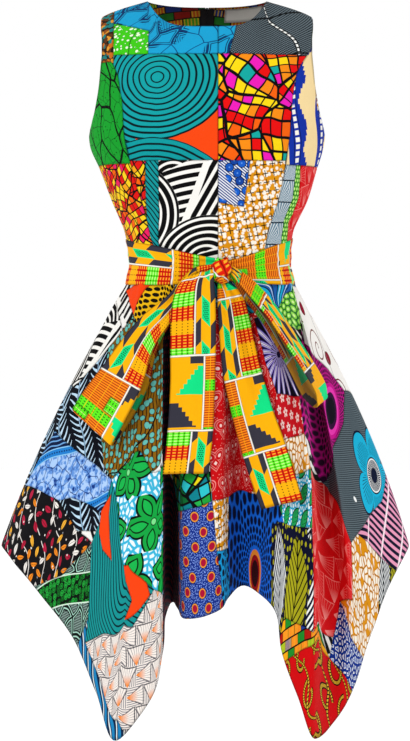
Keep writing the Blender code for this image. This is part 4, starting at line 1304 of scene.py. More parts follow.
    def slate_flower(self) -> None:
        """Slate crosshatch with one large cyan flower outlined in navy."""
        u, v = self.u, self.v
        self.paint((u + v * 0.6).line(0.0034, 0.0015), "6F7D84")
        self.paint((v - u * 0.6).line(0.0034, 0.0013), "222C32")
        reach, turn = self.reach(u, v), self.angle(u, v)
        petal = reach - (abs((turn * 2.5 + 0.5).sine()).root() * 0.042 + 0.036)
        self.paint(petal.under(0.0038), NIGHT_NAVY)
        self.paint(petal.under(0.0), "17B2D8")
        vein = abs((turn + 0.2).repeat(0.09)).under(0.010, 0.006)
        self.paint(petal.under(-0.016) & vein & reach.over(0.030), NIGHT_NAVY)
        self.paint(reach.under(0.0265), NIGHT_NAVY)
        self.paint(reach.under(0.0235) & turn.line(0.16, 0.05), COOL_WHITE)
        self.paint(abs(reach - 0.0235).under(0.0010), COOL_WHITE)
        self.paint(reach.under(0.0110), NIGHT_NAVY)
        seeds = self.reach((u - 0.07).repeat(0.14), (v - 0.03).repeat(0.11) * 2.0)
        self.paint(seeds.under(0.0062) & petal.over(0.01), COOL_WHITE)

    def pink_stripes(self) -> None:
        """Navy stripes bowing over pink."""
        u, v = self.u, self.v
        bow = v + (u * 26.0).sine() * 0.006
        self.paint(bow.line(0.0105, 0.0052), "14122E")
        self.paint(abs((u - v * 0.3).repeat(0.066)).under(0.0030), "F6E2EA")

    def pebbles(self) -> None:
        """White pebbles between royal blue."""
        edge = self.cracks(*self.bent(0.002, 0.01), 0.0098)
        self.paint(edge.over(0.0021), "E4EBF2")
        self.paint(edge.over(0.0036), "2058BC")

    def beaded_curls(self) -> None:
        """Beaded C-curls in gold and black on red."""
        u, v = self.bent(0.003, 0.04)
        p, q, i, j = self.lattice(u, v, 0.062, 0.054)
        lean = self.chance(i, j, 5.0) * 6.28
        reach = self.reach(p, q)
        turn = (self.angle(p, q) + lean).repeat(6.2832)
        curl = abs(reach - 0.0165 + turn * 0.0022)
        open_end = abs(turn).under(2.6, 0.04)
        self.paint(curl.under(0.0044) & open_end, CURL_BLACK)
        self.paint(curl.under(0.0024) & open_end & turn.line(0.20, 0.13), BEAD_GOLD)
        tail = (u + v * 0.7 + (v * 60.0).sine() * 0.016).repeat(0.070)
        self.paint(abs(tail).under(0.0042), CURL_BLACK)
        self.paint(abs(tail).under(0.0023) & (v - u * 0.4).line(0.0056, 0.0036), BEAD_GOLD)

    def basket_stripes(self) -> None:
        """Black bars in blocks that turn from block to block, on white."""
        u, v = self.u, self.v
        p, q, i, j = self.lattice(u * 0.94 + v * 0.34, v * 0.94 - u * 0.34, 0.066, 0.058)
        flip = (i + j).odd()
        way = p + (q - p) * flip
        other = q + (p - q) * flip
        self.paint(way.line(0.0125, 0.0062) & abs(other).under(0.0255), "0B0B0D")
        self.paint(abs(other).under(0.0036) & abs(way).under(0.012), "EFEDE8")

    def kente_dashes(self) -> None:
        """Four columns of dashes on bars of red, lime and gold."""
        u, v = self.u, self.v
        row = (v * (1 / 0.0215)).index(1.0)
        kind = (row * 0.25).repeat(1.0)
        lime = abs(kind - 0.25).under(0.06, 0.01)
        gold = abs(kind + 0.25).under(0.06, 0.01)
        self.paint(lime, LIME)
        self.paint(gold, GOLD)
        column_here = abs((u + 0.0046).repeat(0.0092)).under(0.0027)
        dash = v.line(0.0046, 0.0019) & column_here
        red = ~(lime | gold)
        self.paint(red & dash, "FBB02A")
        self.paint(red & u.line(0.0092, 0.0012), "8E1006")
        self.paint(lime & (v + 0.0023).line(0.0046, 0.0016) & abs(u.repeat(0.0092)).under(0.0013), LEAF_BLACK)
        self.paint(lime & dash, "C4F58A")
        self.paint(gold & (v + 0.0023).line(0.0046, 0.0016) & abs(u.repeat(0.0092)).under(0.0009), "1E1408")

    def kente_diamonds(self) -> None:
        """Gold with slant-ended bars, dotted green ones between charcoal ones."""
        u, v = self.u, self.v
        p, number = u.repeat(0.0150), u.index(0.0150)
        odd = number.odd()
        slant = v + p * (1.0 - odd * 2.0) + odd * 0.034
        bar = abs(slant.repeat(0.068)).under(0.0180) & abs(p).under(0.0070)
        self.paint(bar & odd, COAL)
        self.paint(bar & ~odd, KENTE_GREEN)
        dots = self.reach(*self.lattice(u, v, 0.0034, 0.0030)[:2])
        inner = abs(slant.repeat(0.068)).under(0.0140) & abs(p).under(0.0042)
        self.paint(inner & (~odd) & dots.under(0.0011), "0A4028")

    def kente_stairs(self) -> None:
        """Gold with a green staircase above and a charcoal one below."""
        u, v = self.u, self.v
        step = self.math("FLOOR", v * (1 / 0.0072)) * 0.0072
        green = abs(v - 0.020).under(0.022) & (u - step * 0.80).over(-0.0105)
        coal = abs(v + 0.034).under(0.019) & (u + (step + 0.034) * 0.85).under(-0.0010)
        self.paint(green, KENTE_GREEN)
        self.paint(coal, COAL)
        self.paint(abs(v - 0.052).under(0.0065) & u.over(0.006), COAL)

    def kente_hatch(self) -> None:
        """Orange with fine dark bars across, and a lime block now and then."""
        u, v = self.u, self.v
        self.paint(v.line(0.0038, 0.0015), "A82A08")
        lime = abs((v - 0.012).repeat(0.074)).under(0.0085)
        self.paint(lime, LIME)
        self.paint(lime & v.line(0.0046, 0.0014) & u.line(0.0060, 0.0030), LEAF_BLACK)
        self.paint(u.line(0.0150, 0.0008), GOLD)

    def kente_lime(self) -> None:
        """Lime block with darker ticks."""
        u, v = self.u, self.v
        self.paint(u.line(0.0050, 0.0016) & v.line(0.0050, 0.0030), "1E5A10")
        self.paint(v.line(0.0100, 0.0010), "C8F27A")

    def dull_kente(self) -> None:
        """A woven-look strip of red, gold, green and blue blocks between black."""
        u, v = self.u, self.v
        p, q, i, j = self.lattice(u, v, 0.0270, 0.0165)
        chance = self.chance(i, j, 8.0)
        colours = ("B0180C", "F0A812", "1F8A2A", "1C3E9A", "F06A1A", "C8201A", "58B81E")
        self.paint(1.0, self.pick(chance, colours))
        self.paint(p.line(0.0054, 0.0018) & chance.over(0.5, 0.01), "F8C82A")
        self.paint(abs(q).over(0.0070) | abs(p).over(0.0125), "0C0A08")

    def tape_twill(self) -> None:
        """Dark twill with faint slanting ribs."""
        self.paint((self.u + self.v).line(0.0012, 0.0004), "24272E")

    def crosses(self) -> None:
        """Amber and white blots under rows of small black crosses."""
        u, v = self.bent(0.0012, 0.02)
        near, chance = self.scattered(u, v, 0.0078, 0.8)
        self.paint(near.under(chance * 0.0016 + 0.0022, 0.0010), "F8F1E4")
        p, q, _, _ = self.lattice(u, v, 0.0140, 0.0134, 0.0)
        upright = abs(p).under(0.0007) & abs(q).under(0.0050)
        cross = upright | (abs(q).under(0.0007) & abs(p).under(0.0050))
        self.paint(cross, "140C06")

    def peach_fans(self) -> None:
        """Pale pleated triangles with peach points over a grey basket weave."""
        cell = 0.030
        along, aside, spread = self.triangles(cell)
        beyond = abs(spread).over(0.50, 0.01)
        self.paint(beyond & aside.line(cell * 0.11, cell * 0.045), BASKET_GREY)
        self.paint(~beyond & spread.line(0.150, 0.024), BASKET_GREY)
        self.paint(~beyond & self.reach(along, aside).under(cell * 0.42, cell * 0.5), "F08A3C")
        self.paint(abs(abs(spread) - 0.50).under(0.030, 0.01) & along.under(cell), PLEAT_GREY)
        self.paint(abs(along - cell * 0.99).under(cell * 0.03) & abs(spread).under(0.5), PLEAT_GREY)

    def plain(self) -> None:
        """Nothing over the ground colour."""


BRIGHT = (
    "12A49C", "F6D412", "E40C0C", "F28A14", "F6D412", "F0600C", "E40C0C", "F6D412", "F28A14", "E81CB4",
)
WARM = ("F0A016", "F6CC1E", "DC1610", "E81C60", "F0600C", "DC1610", "F6CC1E")
GREENS = ("0C808C", "22B04A", "F4DC14", "12A48C", "0C6A30", "2CC0C8", "1E9E3A")


class Ink(Enum):
    """Every print on the dress: its ground colour, and what is laid over it."""

    BLUE_VEINS = "189CCC", Print.blue_veins
    GREEN_BUBBLES = "3CC414", Print.bubbles
    EARTH_MOTTLE = "5A3216", Print.earth_mottle
    SLATE_ROPE = "36424A", Print.slate_rope
    TEAL_RINGS = "109A9E", Print.rings
    TEAL_WAVES = "109A9E", Print.waves
    FLAT_ORANGE = "F2420E", Print.plain
    GREEN_BRANCHES = "169A2C", Print.branches
    BRIGHT_MOSAIC = "101010", partial(Print.mosaic, colours=BRIGHT, block=0.066, across=0.0205, up=0.0165)
    WARM_MOSAIC = "101010", partial(Print.mosaic, colours=WARM, block=0.040, across=0.0125, up=0.0105)
    GREEN_MOSAIC = "101010", partial(Print.mosaic, colours=GREENS, block=0.060, across=0.0190, up=0.0150)
    BLUE_CHEQUER = "1030A0", Print.blue_chequer
    TEAL_RIBS = "109296", Print.ribs
    ZEBRA = "F4F2EC", Print.zebra
    BLUE_BERRIES = "E8ECF2", Print.berries
    ORANGE_CRACKLE = "DC9210", Print.crosses
    SLATE_LINES = "6E8A9C", Print.slate_lines
    GREEN_PEAS = "1F6E2A", Print.peas
    RED_FANS = "D40A12", partial(Print.fans, apex="F2908A", rays="DA1A20", hatch="F0807A", cell=0.034)
    YELLOW_OVALS = "EDB810", Print.ovals
    BROWN_BLOBS = "8A5E0C", Print.brown_blobs
    PALE_FERNS = "060A16", Print.ferns
    INDIGO_CRACKLE = "12327E", Print.indigo_crackle
    NIGHT_VINES = "100F12", Print.vines
    GREEN_SCALES = "88A098", Print.green_scales
    TEAL_FLOW = "128E8E", Print.flow
    BIG_LEAVES = "38B4D8", Print.big_leaves
    PEACH_FANS = "EFE6DE", Print.peach_fans
    NAVY_MARBLE = "0A2446", Print.marble
    NAVY_DOTS = "0C0C22", Print.navy_dots
    ROYAL_SPECKLE = "142E84", Print.royal_speckle
    CYAN_BLOBS = "159CDC", Print.cyan_blobs
    RED_HEARTS = "CC0A12", Print.hearts
    BLUE_EYE = "1466D8", partial(
        Print.eye, dots="050E30", iris="B01018", pupil="32060C", rim="F08A2A", size=0.0155, count=36
    )
    MAGENTA_EYE = "C8108C", partial(
        Print.eye, dots="2E0630", iris="3A0A3E", pupil="120E1C", rim="E838B0", size=0.0190, count=60
    )
    OLIVE_FEATHERS = "0A0E2A", Print.feathers
    PURPLE_FLOWER = "0E0A1C", Print.purple_flower
    RED_FLOWERS = "C41420", Print.red_flowers
    CYAN_LEAVES = "18A8D0", Print.cyan_leaves
    BLUE_LINES = "18A4D0", Print.blue_lines
    BROWN_SCROLLS = "F4F1EC", Print.brown_scrolls
    SLATE_FLOWER = "4C5A62", Print.slate_flower
    PINK_STRIPES = "E89ABC", Print.pink_stripes
    GOLD_CRACKLE = "DE920E", partial(Print.crackle, light="F9F3E4", mark="6A3A08", cell=0.0120)
    BLUE_PEBBLES = "0A2E88", Print.pebbles
    BEADED_CURLS = "CE080E", Print.beaded_curls
    DULL_KENTE = "8E1C14", Print.dull_kente
    BASKET_STRIPES = "EFEDE8", Print.basket_stripes
    KENTE_DASHES = "DA1C08", Print.kente_dashes
    KENTE_DIAMONDS = "F9B008", Print.kente_diamonds
    KENTE_STAIRS = "F9B008", Print.kente_stairs
    KENTE_HATCH = "F68A18", Print.kente_hatch
    KENTE_LIME = LIME, Print.kente_lime
    KENTE_LINE = "FBF7EC", Print.plain
    TAPE_TWILL = "14161B", Print.tape_twill
    BARE_LABEL = "D6D2CA", Print.plain

    def __init__(self, colour: str, lay: Callable[[Print], None]) -> None:
        """Keep the ground colour and what is laid over it."""
        self.colour = colour
        self.lay = lay


@dataclass(frozen=True)
class Weight:
    """How much the cotton's soft clouds, its slubs and its weave each change one number."""

    clouds: float
    slub: float
    weave: float


@dataclass(frozen=True)
class Finish:
    """How the printed cotton takes light. Sizes are in metres.

    The clouds are where it has faded, in its light and its roughness, and where it
    ripples, in its height. Its colour also holds painted shade: darker along the seams,
    and mixed towards a dark brown on its wrong side.
    """

    roughness: float = 0.78
    sheen: float = 0.015
    sheen_roughness: float = 0.45
    gloss: float = 0.06
    light: float = 0.95
    thread: float = 0.00055
    fade_size: float = 0.055
    slub_size: float = 0.0016
    ripple_size: float = 0.007
    on_light: Weight = Weight(0.13, 0.11, 0.024)
    on_roughness: Weight = Weight(0.14, 0.10, 0.0)
    on_height: Weight = Weight(2.2, 1.4, 0.5)
    bump_strength: float = 0.35
    bump_height: float = 0.00035
    # Painted shade along the seams: the colour is darkened by this share on the seam lines.
    seam_shade: float = 0.62
    # Painted shade on the inner face: its colour is mixed this far towards a dark brown.
    wrong_side_shade: float = 0.38
    wrong_side_shade_colour: str = "2C2420"

    def dress(self, ground: Ground) -> None:
        """Finish a print: threads, fading, painted shade on the wrong side and along the seams, then the
        shader.

        Args:
            ground: the print.
        """
        ground.u, ground.v = warp, weft = ground.map_of(THREAD_MAP)
        turn = math.tau / self.thread
        weave = (warp * turn).sine() * (weft * turn).sine()
        faded = ground.noise(self.fade_size, 3.0, 11.0) - 0.5
        slub = ground.noise(self.slub_size, 1.0, 13.0) - 0.5
        ripple = ground.noise(self.ripple_size, 2.0, 17.0)
        on = self.on_light
        light = self.light + faded * on.clouds + slub * on.slub + weave * on.weave
        # Painted shade: the colour is darkened along the seam lines, where the cloth dips into the seam.
        light = light * (1.0 - ground.attribute("seam") * self.seam_shade)
        shade = ground.node("ShaderNodeHueSaturation", {"Color": ground.colour, "Value": light})
        ground.colour = shade.outputs["Color"]
        # Painted shade: the inner face is mixed towards a dark brown for the shade inside the cloth.
        ground.paint(ground.attribute("wrong_side") * self.wrong_side_shade, self.wrong_side_shade_colour)
        on = self.on_roughness
        rough = self.roughness + faded * on.clouds + slub * on.slub
        on = self.on_height
        height = weave * on.weave + slub * on.slub + ripple * on.clouds
        bump = ground.node(
            "ShaderNodeBump",
            {"Strength": self.bump_strength, "Distance": self.bump_height, "Height": height},
        )
        ground.feed(
            ground.shader,
            {
                "Base Color": ground.colour,
                "Roughness": rough,
                "Sheen Weight": self.sheen,
                "Sheen Roughness": self.sheen_roughness,
                "Specular IOR Level": self.gloss,
                "Normal": bump.outputs[0],
            },
        )


class PrintWorks:
    """Makes each print's material once, when it is first asked for."""

    def __init__(self, finish: Finish) -> None:
        """Start with no material made."""
        self.finish = finish
        self.made: dict[Ink, bpy.types.Material] = {}

    def material(self, ink: Ink) -> bpy.types.Material:
        """The material of a print.

        Args:
            ink: the print.

        Returns:
            Its material, made if it wasn't yet.
        """
        if ink not in self.made:
            ground = Print(ink.name.lower(), ink.colour)
            ink.lay(ground)
            self.finish.dress(ground)
            self.made[ink] = ground.material
        return self.made[ink]


PRINTS = PrintWorks(Finish())


# ---------------------------------------------------------------- cloth walls


class Crease(NamedTuple):
    """One soft trough or ridge laid on a cloth, in centimetres of its cutting plane.

    rise is in millimetres, above zero for a ridge and below it for a trough.
    """

    across: float
    up: float
    turn: float
    length: float
    width: float
    rise: float


class Patch(NamedTuple):
    """One patch: its print, its corners in centimetres of the cutting plane, how the print lies.

    centre is where the print starts from, the patch's own middle if there is none.
    """

    ink: Ink
    corners: tuple[tuple[float, float], ...]
    turn: float = 0.0
    scale: float = 1.0
    centre: tuple[float, float] | None = None


def oblong(low: float, foot: float, high: float, head: float) -> tuple[tuple[float, float], ...]:
    """Corners of an upright rectangle."""
    return ((low, foot), (high, foot), (high, head), (low, head))


@dataclass
class Cloth:
    """One piece of cloth as grids of the same shape.

    place is the cutting plane that patches are drawn in, flat is the cloth's own flat
    plane in metres that prints are laid out in.
    """

    points: Array
    normals: Array
    flat: Array
    place: Array

    def creased(self, creases: Iterable[Crease]) -> Cloth:
        """The cloth with soft troughs and ridges moved into it.

        Args:
            creases: the troughs and ridges.

        Returns:
            The moved cloth.
        """
        rise = np.zeros(self.points.shape[:2])
        for crease in creases:
            offset = self.place * 100 - np.array([crease.across, crease.up])
            turn = math.radians(crease.turn)
            along = offset[..., 0] * math.cos(turn) + offset[..., 1] * math.sin(turn)
            aside = offset[..., 1] * math.cos(turn) - offset[..., 0] * math.sin(turn)
            bend = np.sin(along / crease.length * CREASE_BEND)
            wander = aside + CREASE_WANDER * crease.width * bend
            shape = np.exp(-2 * (along / crease.length) ** 2 - (wander / crease.width) ** 2)
            rise += crease.rise * CREASE_RISE / 1000 * shape
        tied = np.exp(-(((self.points[..., 2] - BAND_Z) / TIED_REACH) ** 2))
        return self.raised(np.where(rise > 0, rise * (1 - TIED_SHARE * tied), rise))

    def raised(self, rise: Array) -> Cloth:
        """The cloth moved out along its normals by these amounts."""
        points = self.points + self.normals * rise[..., None]
        return Cloth(points, self.normals, self.flat, self.place)

    def columns(self, picked: Array) -> Cloth:
        """Some of the cloth's columns."""
        parts = (self.points, self.normals, self.flat, self.place)
        return Cloth(*(part[:, picked] for part in parts))


@dataclass
class Cut:
    """A cloth cut into its patches: one outer and one inner point for each corner.

    rim holds each outer edge as the two corners it joins and the face it belongs to.
    """

    outer: Array
    inner: Array
    place: Array
    flat: Array
    seam: Array
    faces: list[list[int]]
    patch_of: Array
    rim: list[tuple[int, int, int]]


class Dresser:
    """Cuts a cloth into its patches and closes it into a thin printed wall."""

    def __init__(
        self,
        patches: Sequence[Patch],
        thickness: float = CLOTH,
        joins: Sequence[tuple[float, float, float, float]] = (),
        inside_shade: float = 1.0,
    ) -> None:
        """Keep the patches, the first of which fills what the others leave.

        Args:
            patches: the patches, a later one lying over an earlier one.
            thickness: thickness of the cloth.
            joins: straight seams at the cloth's own edges, in centimetres.
            inside_shade: how much painted shade darkens its wrong side, from 0 to 1.
        """
        self.patches = tuple(patches)
        self.shapes = [np.array(patch.corners) / 100 for patch in self.patches]
        self.thickness = thickness
        self.inside_shade = inside_shade
        self.joins = np.array(joins).reshape(-1, 2, 2) / 100

    def patch_at(self, place: Array) -> Array:
        """Number of the patch that holds each place.

        Args:
            place: places in the cutting plane, in metres.

        Returns:
            The numbers, 0 where no patch is drawn.
        """
        found = np.zeros(place.shape[:-1], int)
        x, y = place[..., 0], place[..., 1]
        for number, shape in enumerate(self.shapes):
            inside = np.zeros(x.shape, bool)
            for (ax, ay), (bx, by) in zip(shape, np.roll(shape, -1, axis=0)):
                if ay != by:
                    inside ^= ((ay > y) != (by > y)) & (x < ax + (y - ay) * (bx - ax) / (by - ay))
            found[inside] = number
        return found

    def seam_share(self, place: Array) -> Array:
        """1 on the border of two patches, 0 elsewhere.

        Args:
            place: places in the cutting plane, in metres.

        Returns:
            One number for each place.
        """
        here = self.patch_at(place + SEAM_PROBE)
        share = np.zeros(len(place))
        for way in ((-1.0, 1.0), (1.0, -1.0), (-1.0, -1.0)):
            share[self.patch_at(place + SEAM_PROBE * way) != here] = 1.0
        return share

    def borders(self) -> list[tuple[Array, Array]]:
        """Every straight border, once.

        Returns:
            Both ends of each, in a fixed order.
        """
        found = {}
        for shape in (*self.shapes, *self.joins):
            for start, end in zip(shape, np.roll(shape, -1, axis=0)):
                key = tuple(sorted((tuple(start), tuple(end))))
                found[key] = (np.array(key[0]), np.array(key[1]))
        return [found[key] for key in sorted(found)]

    def cut(self, cloth: Cloth) -> Cut:
        """Lay the cloth out in its cutting plane and cut it along every patch border.

        Args:
            cloth: the cloth.

        Returns:
            The cut cloth.
        """
        mesh = bmesh.new()
        layers = [mesh.verts.layers.float_vector.new(name) for name in ("at", "way", "flat")]
        home = mesh.faces.layers.int.new("home")
        rows, columns = cloth.points.shape[:2]
        flat = np.concatenate([cloth.flat, np.zeros((rows, columns, 1))], axis=-1)
        values = [part.reshape(-1, 3).tolist() for part in (cloth.points, cloth.normals, flat)]
        vertices = []
        for number, (x, y) in enumerate(cloth.place.reshape(-1, 2).tolist()):
            vertex = mesh.verts.new((x, y, 0.0))
            for layer, value in zip(layers, values):
                vertex[layer] = value[number]
            vertices.append(vertex)
        cells = []
        for row in range(rows - 1):
            for first in range(row * columns, row * columns + columns - 1):
                corners = (first, first + 1, first + columns + 1, first + columns)
                face = mesh.faces.new([vertices[corner] for corner in corners])
                face[home] = len(cells)
                cells.append([face])
        place = cloth.place
        box = np.stack([place[:-1, :-1], place[:-1, 1:], place[1:, 1:], place[1:, :-1]], axis=2)
        middle = box.mean(axis=2).reshape(-1, 2)
        reach = np.linalg.norm(box - box.mean(axis=2, keepdims=True), axis=-1).max(axis=2).ravel()
        for start, end in self.borders():
            along = end - start
            span = np.linalg.norm(along)
            along = along / span
            on_line = np.clip((middle - start) @ along, 0.0, span)
            away = np.linalg.norm(start + on_line[:, None] * along - middle, axis=1)
            near = np.flatnonzero(away < reach + SEAM_HALF)
            if len(near):
                self.slice(mesh, home, cells, near, start, along)
        return self.read(mesh, layers)

    @staticmethod
    def slice(
        mesh: bmesh.types.BMesh,
        home: bmesh.types.BMLayerItem,
        cells: list[list[bmesh.types.BMFace]],
        near: Array,
        start: Array,
        along: Array,
    ) -> None:
        """Cut the cells near one border along it and on both sides of it.

        Args:
            mesh: the cloth in its cutting plane.
            home: layer that says which cell a face comes from.
            cells: the faces that each cell has so far.
            near: numbers of the cells that lie near the border.
            start: one of the border's ends.
            along: direction of the border.
        """
        square = np.array([-along[1], along[0]])
        for offset in (-SEAM_HALF, 0.0, SEAM_HALF):
            faces = [face for cell in near for face in cells[cell]]
            edges = {edge for face in faces for edge in face.edges}
            corners = {vertex for face in faces for vertex in face.verts}
            cut = bmesh.ops.bisect_plane(
                mesh,
                geom=[*corners, *edges, *faces],
                dist=1e-6,
                plane_co=(*(start + square * offset), 0.0),
                plane_no=(*square, 0.0),
            )
            split = [e for e in cut["geom_cut"] if isinstance(e, bmesh.types.BMEdge)]
            known = set(faces)
            for edge in split:
                for face in edge.link_faces:
                    if face not in known:
                        known.add(face)
                        cells[face[home]].append(face)

    def read(self, mesh: bmesh.types.BMesh, layers: Sequence[bmesh.types.BMLayerItem]) -> Cut:
        """Read the cut mesh into arrays, and let it go.

        Args:
            mesh: the cloth in its cutting plane.
            layers: the layers that hold point, normal and flat place.

        Returns:
            The cut cloth.
        """
        mesh.verts.index_update()
        mesh.faces.index_update()
        place = np.array([vertex.co[:2] for vertex in mesh.verts])
        points, normals, flat = (
            np.array([vertex[layer][:] for vertex in mesh.verts]) for layer in layers
        )
        normals = unit(normals)
        faces = [[vertex.index for vertex in face.verts] for face in mesh.faces]
        middles = np.array([place[face].mean(axis=0) for face in faces])
        rim = []
        for edge in mesh.edges:
            if edge.is_boundary:
                loop = edge.link_loops[0]
                rim.append((loop.vert.index, loop.link_loop_next.vert.index, loop.face.index))
        mesh.free()
        seam = self.seam_share(place)
        for start, end, _ in rim:
            seam[start] = seam[end] = 1.0
        outer = points - normals * (seam * SEAM_DIP)[:, None]
        inner = points - normals * self.thickness
        return Cut(outer, inner, place, flat[:, :2], seam, faces, self.patch_at(middles), rim)

    def make(self, name: str, cloth: Cloth, slot: str) -> bpy.types.Object:
        """Make the piece.

        Args:
            name: name of the piece.
            cloth: its grids, the outer face of the wall.
            slot: not used.

        Returns:
            The closed thin wall, dressed in its prints.
        """
        cut = self.cut(cloth)
        count = len(cut.outer)
        faces = list(cut.faces)
        faces += [[corner + count for corner in reversed(face)] for face in cut.faces]
        faces += [[end, start, start + count, end + count] for start, end, _ in cut.rim]
        rim_patches = [cut.patch_of[face] for _, _, face in cut.rim]
        patch_of = np.concatenate([cut.patch_of, cut.patch_of, rim_patches]).astype(int)
        vertices = np.concatenate([cut.outer, cut.inner])
        corners = cut.outer[np.array([face[:3] for face in cut.faces])]
        facing = np.cross(corners[:, 1] - corners[:, 0], corners[:, 2] - corners[:, 0])
        outward = np.array([cut.outer[face[0]] - cut.inner[face[0]] for face in cut.faces])
        if (facing * outward).sum() < 0:
            faces = [face[::-1] for face in faces]
        mesh = bpy.data.meshes.new(name)
        mesh.from_pydata(vertices.tolist(), [], faces)
        shown = [self.patches[number].ink for number in np.unique(patch_of)]
        inks = list(dict.fromkeys(shown))
        for ink in inks:
            mesh.materials.append(PRINTS.material(ink))
        slots = [inks.index(self.patches[number].ink) for number in patch_of]
        mesh.polygons.foreach_set("material_index", slots)
        mesh.shade_smooth()
        sharp = np.zeros(len(mesh.edges), bool)
        rims = {
            tuple(sorted(pair))
            for start, end, _ in cut.rim
            for pair in ((start, end), (start + count, end + count))
        }
        for edge in mesh.edges:
            sharp[edge.index] = tuple(sorted(edge.vertices)) in rims
        mesh.attributes.new("sharp_edge", "BOOLEAN", "EDGE").data.foreach_set("value", sharp)
        self.lay_prints(mesh, cut, patch_of)
        # wrong_side holds how much painted shade each inner point gets; seam marks the seam lines, which are
        # painted darker.
        for label, values in (
            ("wrong_side", np.repeat([0.0, self.inside_shade], count)),
            ("seam", np.tile(cut.seam, 2)),
        ):
            layer = mesh.attributes.new(label, "FLOAT", "POINT")
            layer.data.foreach_set("value", values.astype(np.float32))
        return place_piece(name, mesh)

    def lay_prints(self, mesh: bpy.types.Mesh, cut: Cut, patch_of: Array) -> None:
        """Write the print map: the flat plane, turned, scaled and moved for each patch.

        Args:
            mesh: the closed wall.
            cut: the cut cloth that it was made from.
            patch_of: number of the patch that each face belongs to.
        """
        corners = np.zeros(len(mesh.loops), int)
        mesh.loops.foreach_get("vertex_index", corners)
        counts = np.zeros(len(mesh.polygons), int)
        mesh.polygons.foreach_get("loop_total", counts)
        patch = np.repeat(patch_of, counts)
        flat = cut.flat[corners % len(cut.flat)]
        middle = np.zeros((len(self.patches), 2))
        for number in np.unique(patch):
            mine = flat[patch == number]
            middle[number] = (mine.min(axis=0) + mine.max(axis=0)) / 2
            if self.patches[number].centre is not None:
                away = np.array(self.patches[number].centre) / 100 - cut.place
                nearest = np.argmin(np.linalg.norm(away, axis=1))
                middle[number] = cut.flat[nearest] + away[nearest]
        turn = np.radians(np.array([one.turn for one in self.patches]))[patch]
        scale = np.array([one.scale for one in self.patches])[patch]
        offset = flat - middle[patch]
        across = offset[:, 0] * np.cos(turn) + offset[:, 1] * np.sin(turn)
        up = offset[:, 1] * np.cos(turn) - offset[:, 0] * np.sin(turn)
        printed = np.stack([across, up], axis=1) / scale[:, None]
        for name, values in ((PRINT_MAP, printed), (THREAD_MAP, flat)):
            layer = mesh.uv_layers.new(name=name)
            layer.data.foreach_set("uv", values.astype(np.float32).ravel())


def place_piece(name: str, mesh: bpy.types.Mesh) -> bpy.types.Object:
    """Put a finished mesh into the scene, riding on the dress.

    Args:
        name: name of the piece.
        mesh: its mesh.

    Returns:
        The piece.
    """
    piece = bpy.data.objects.new(name, mesh)
    bpy.context.scene.collection.objects.link(piece)
    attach(piece, "dress")
    LOG.info("%s: %d faces", name, len(mesh.polygons))
    return piece


# ---------------------------------------------------------------- patches of the skirt

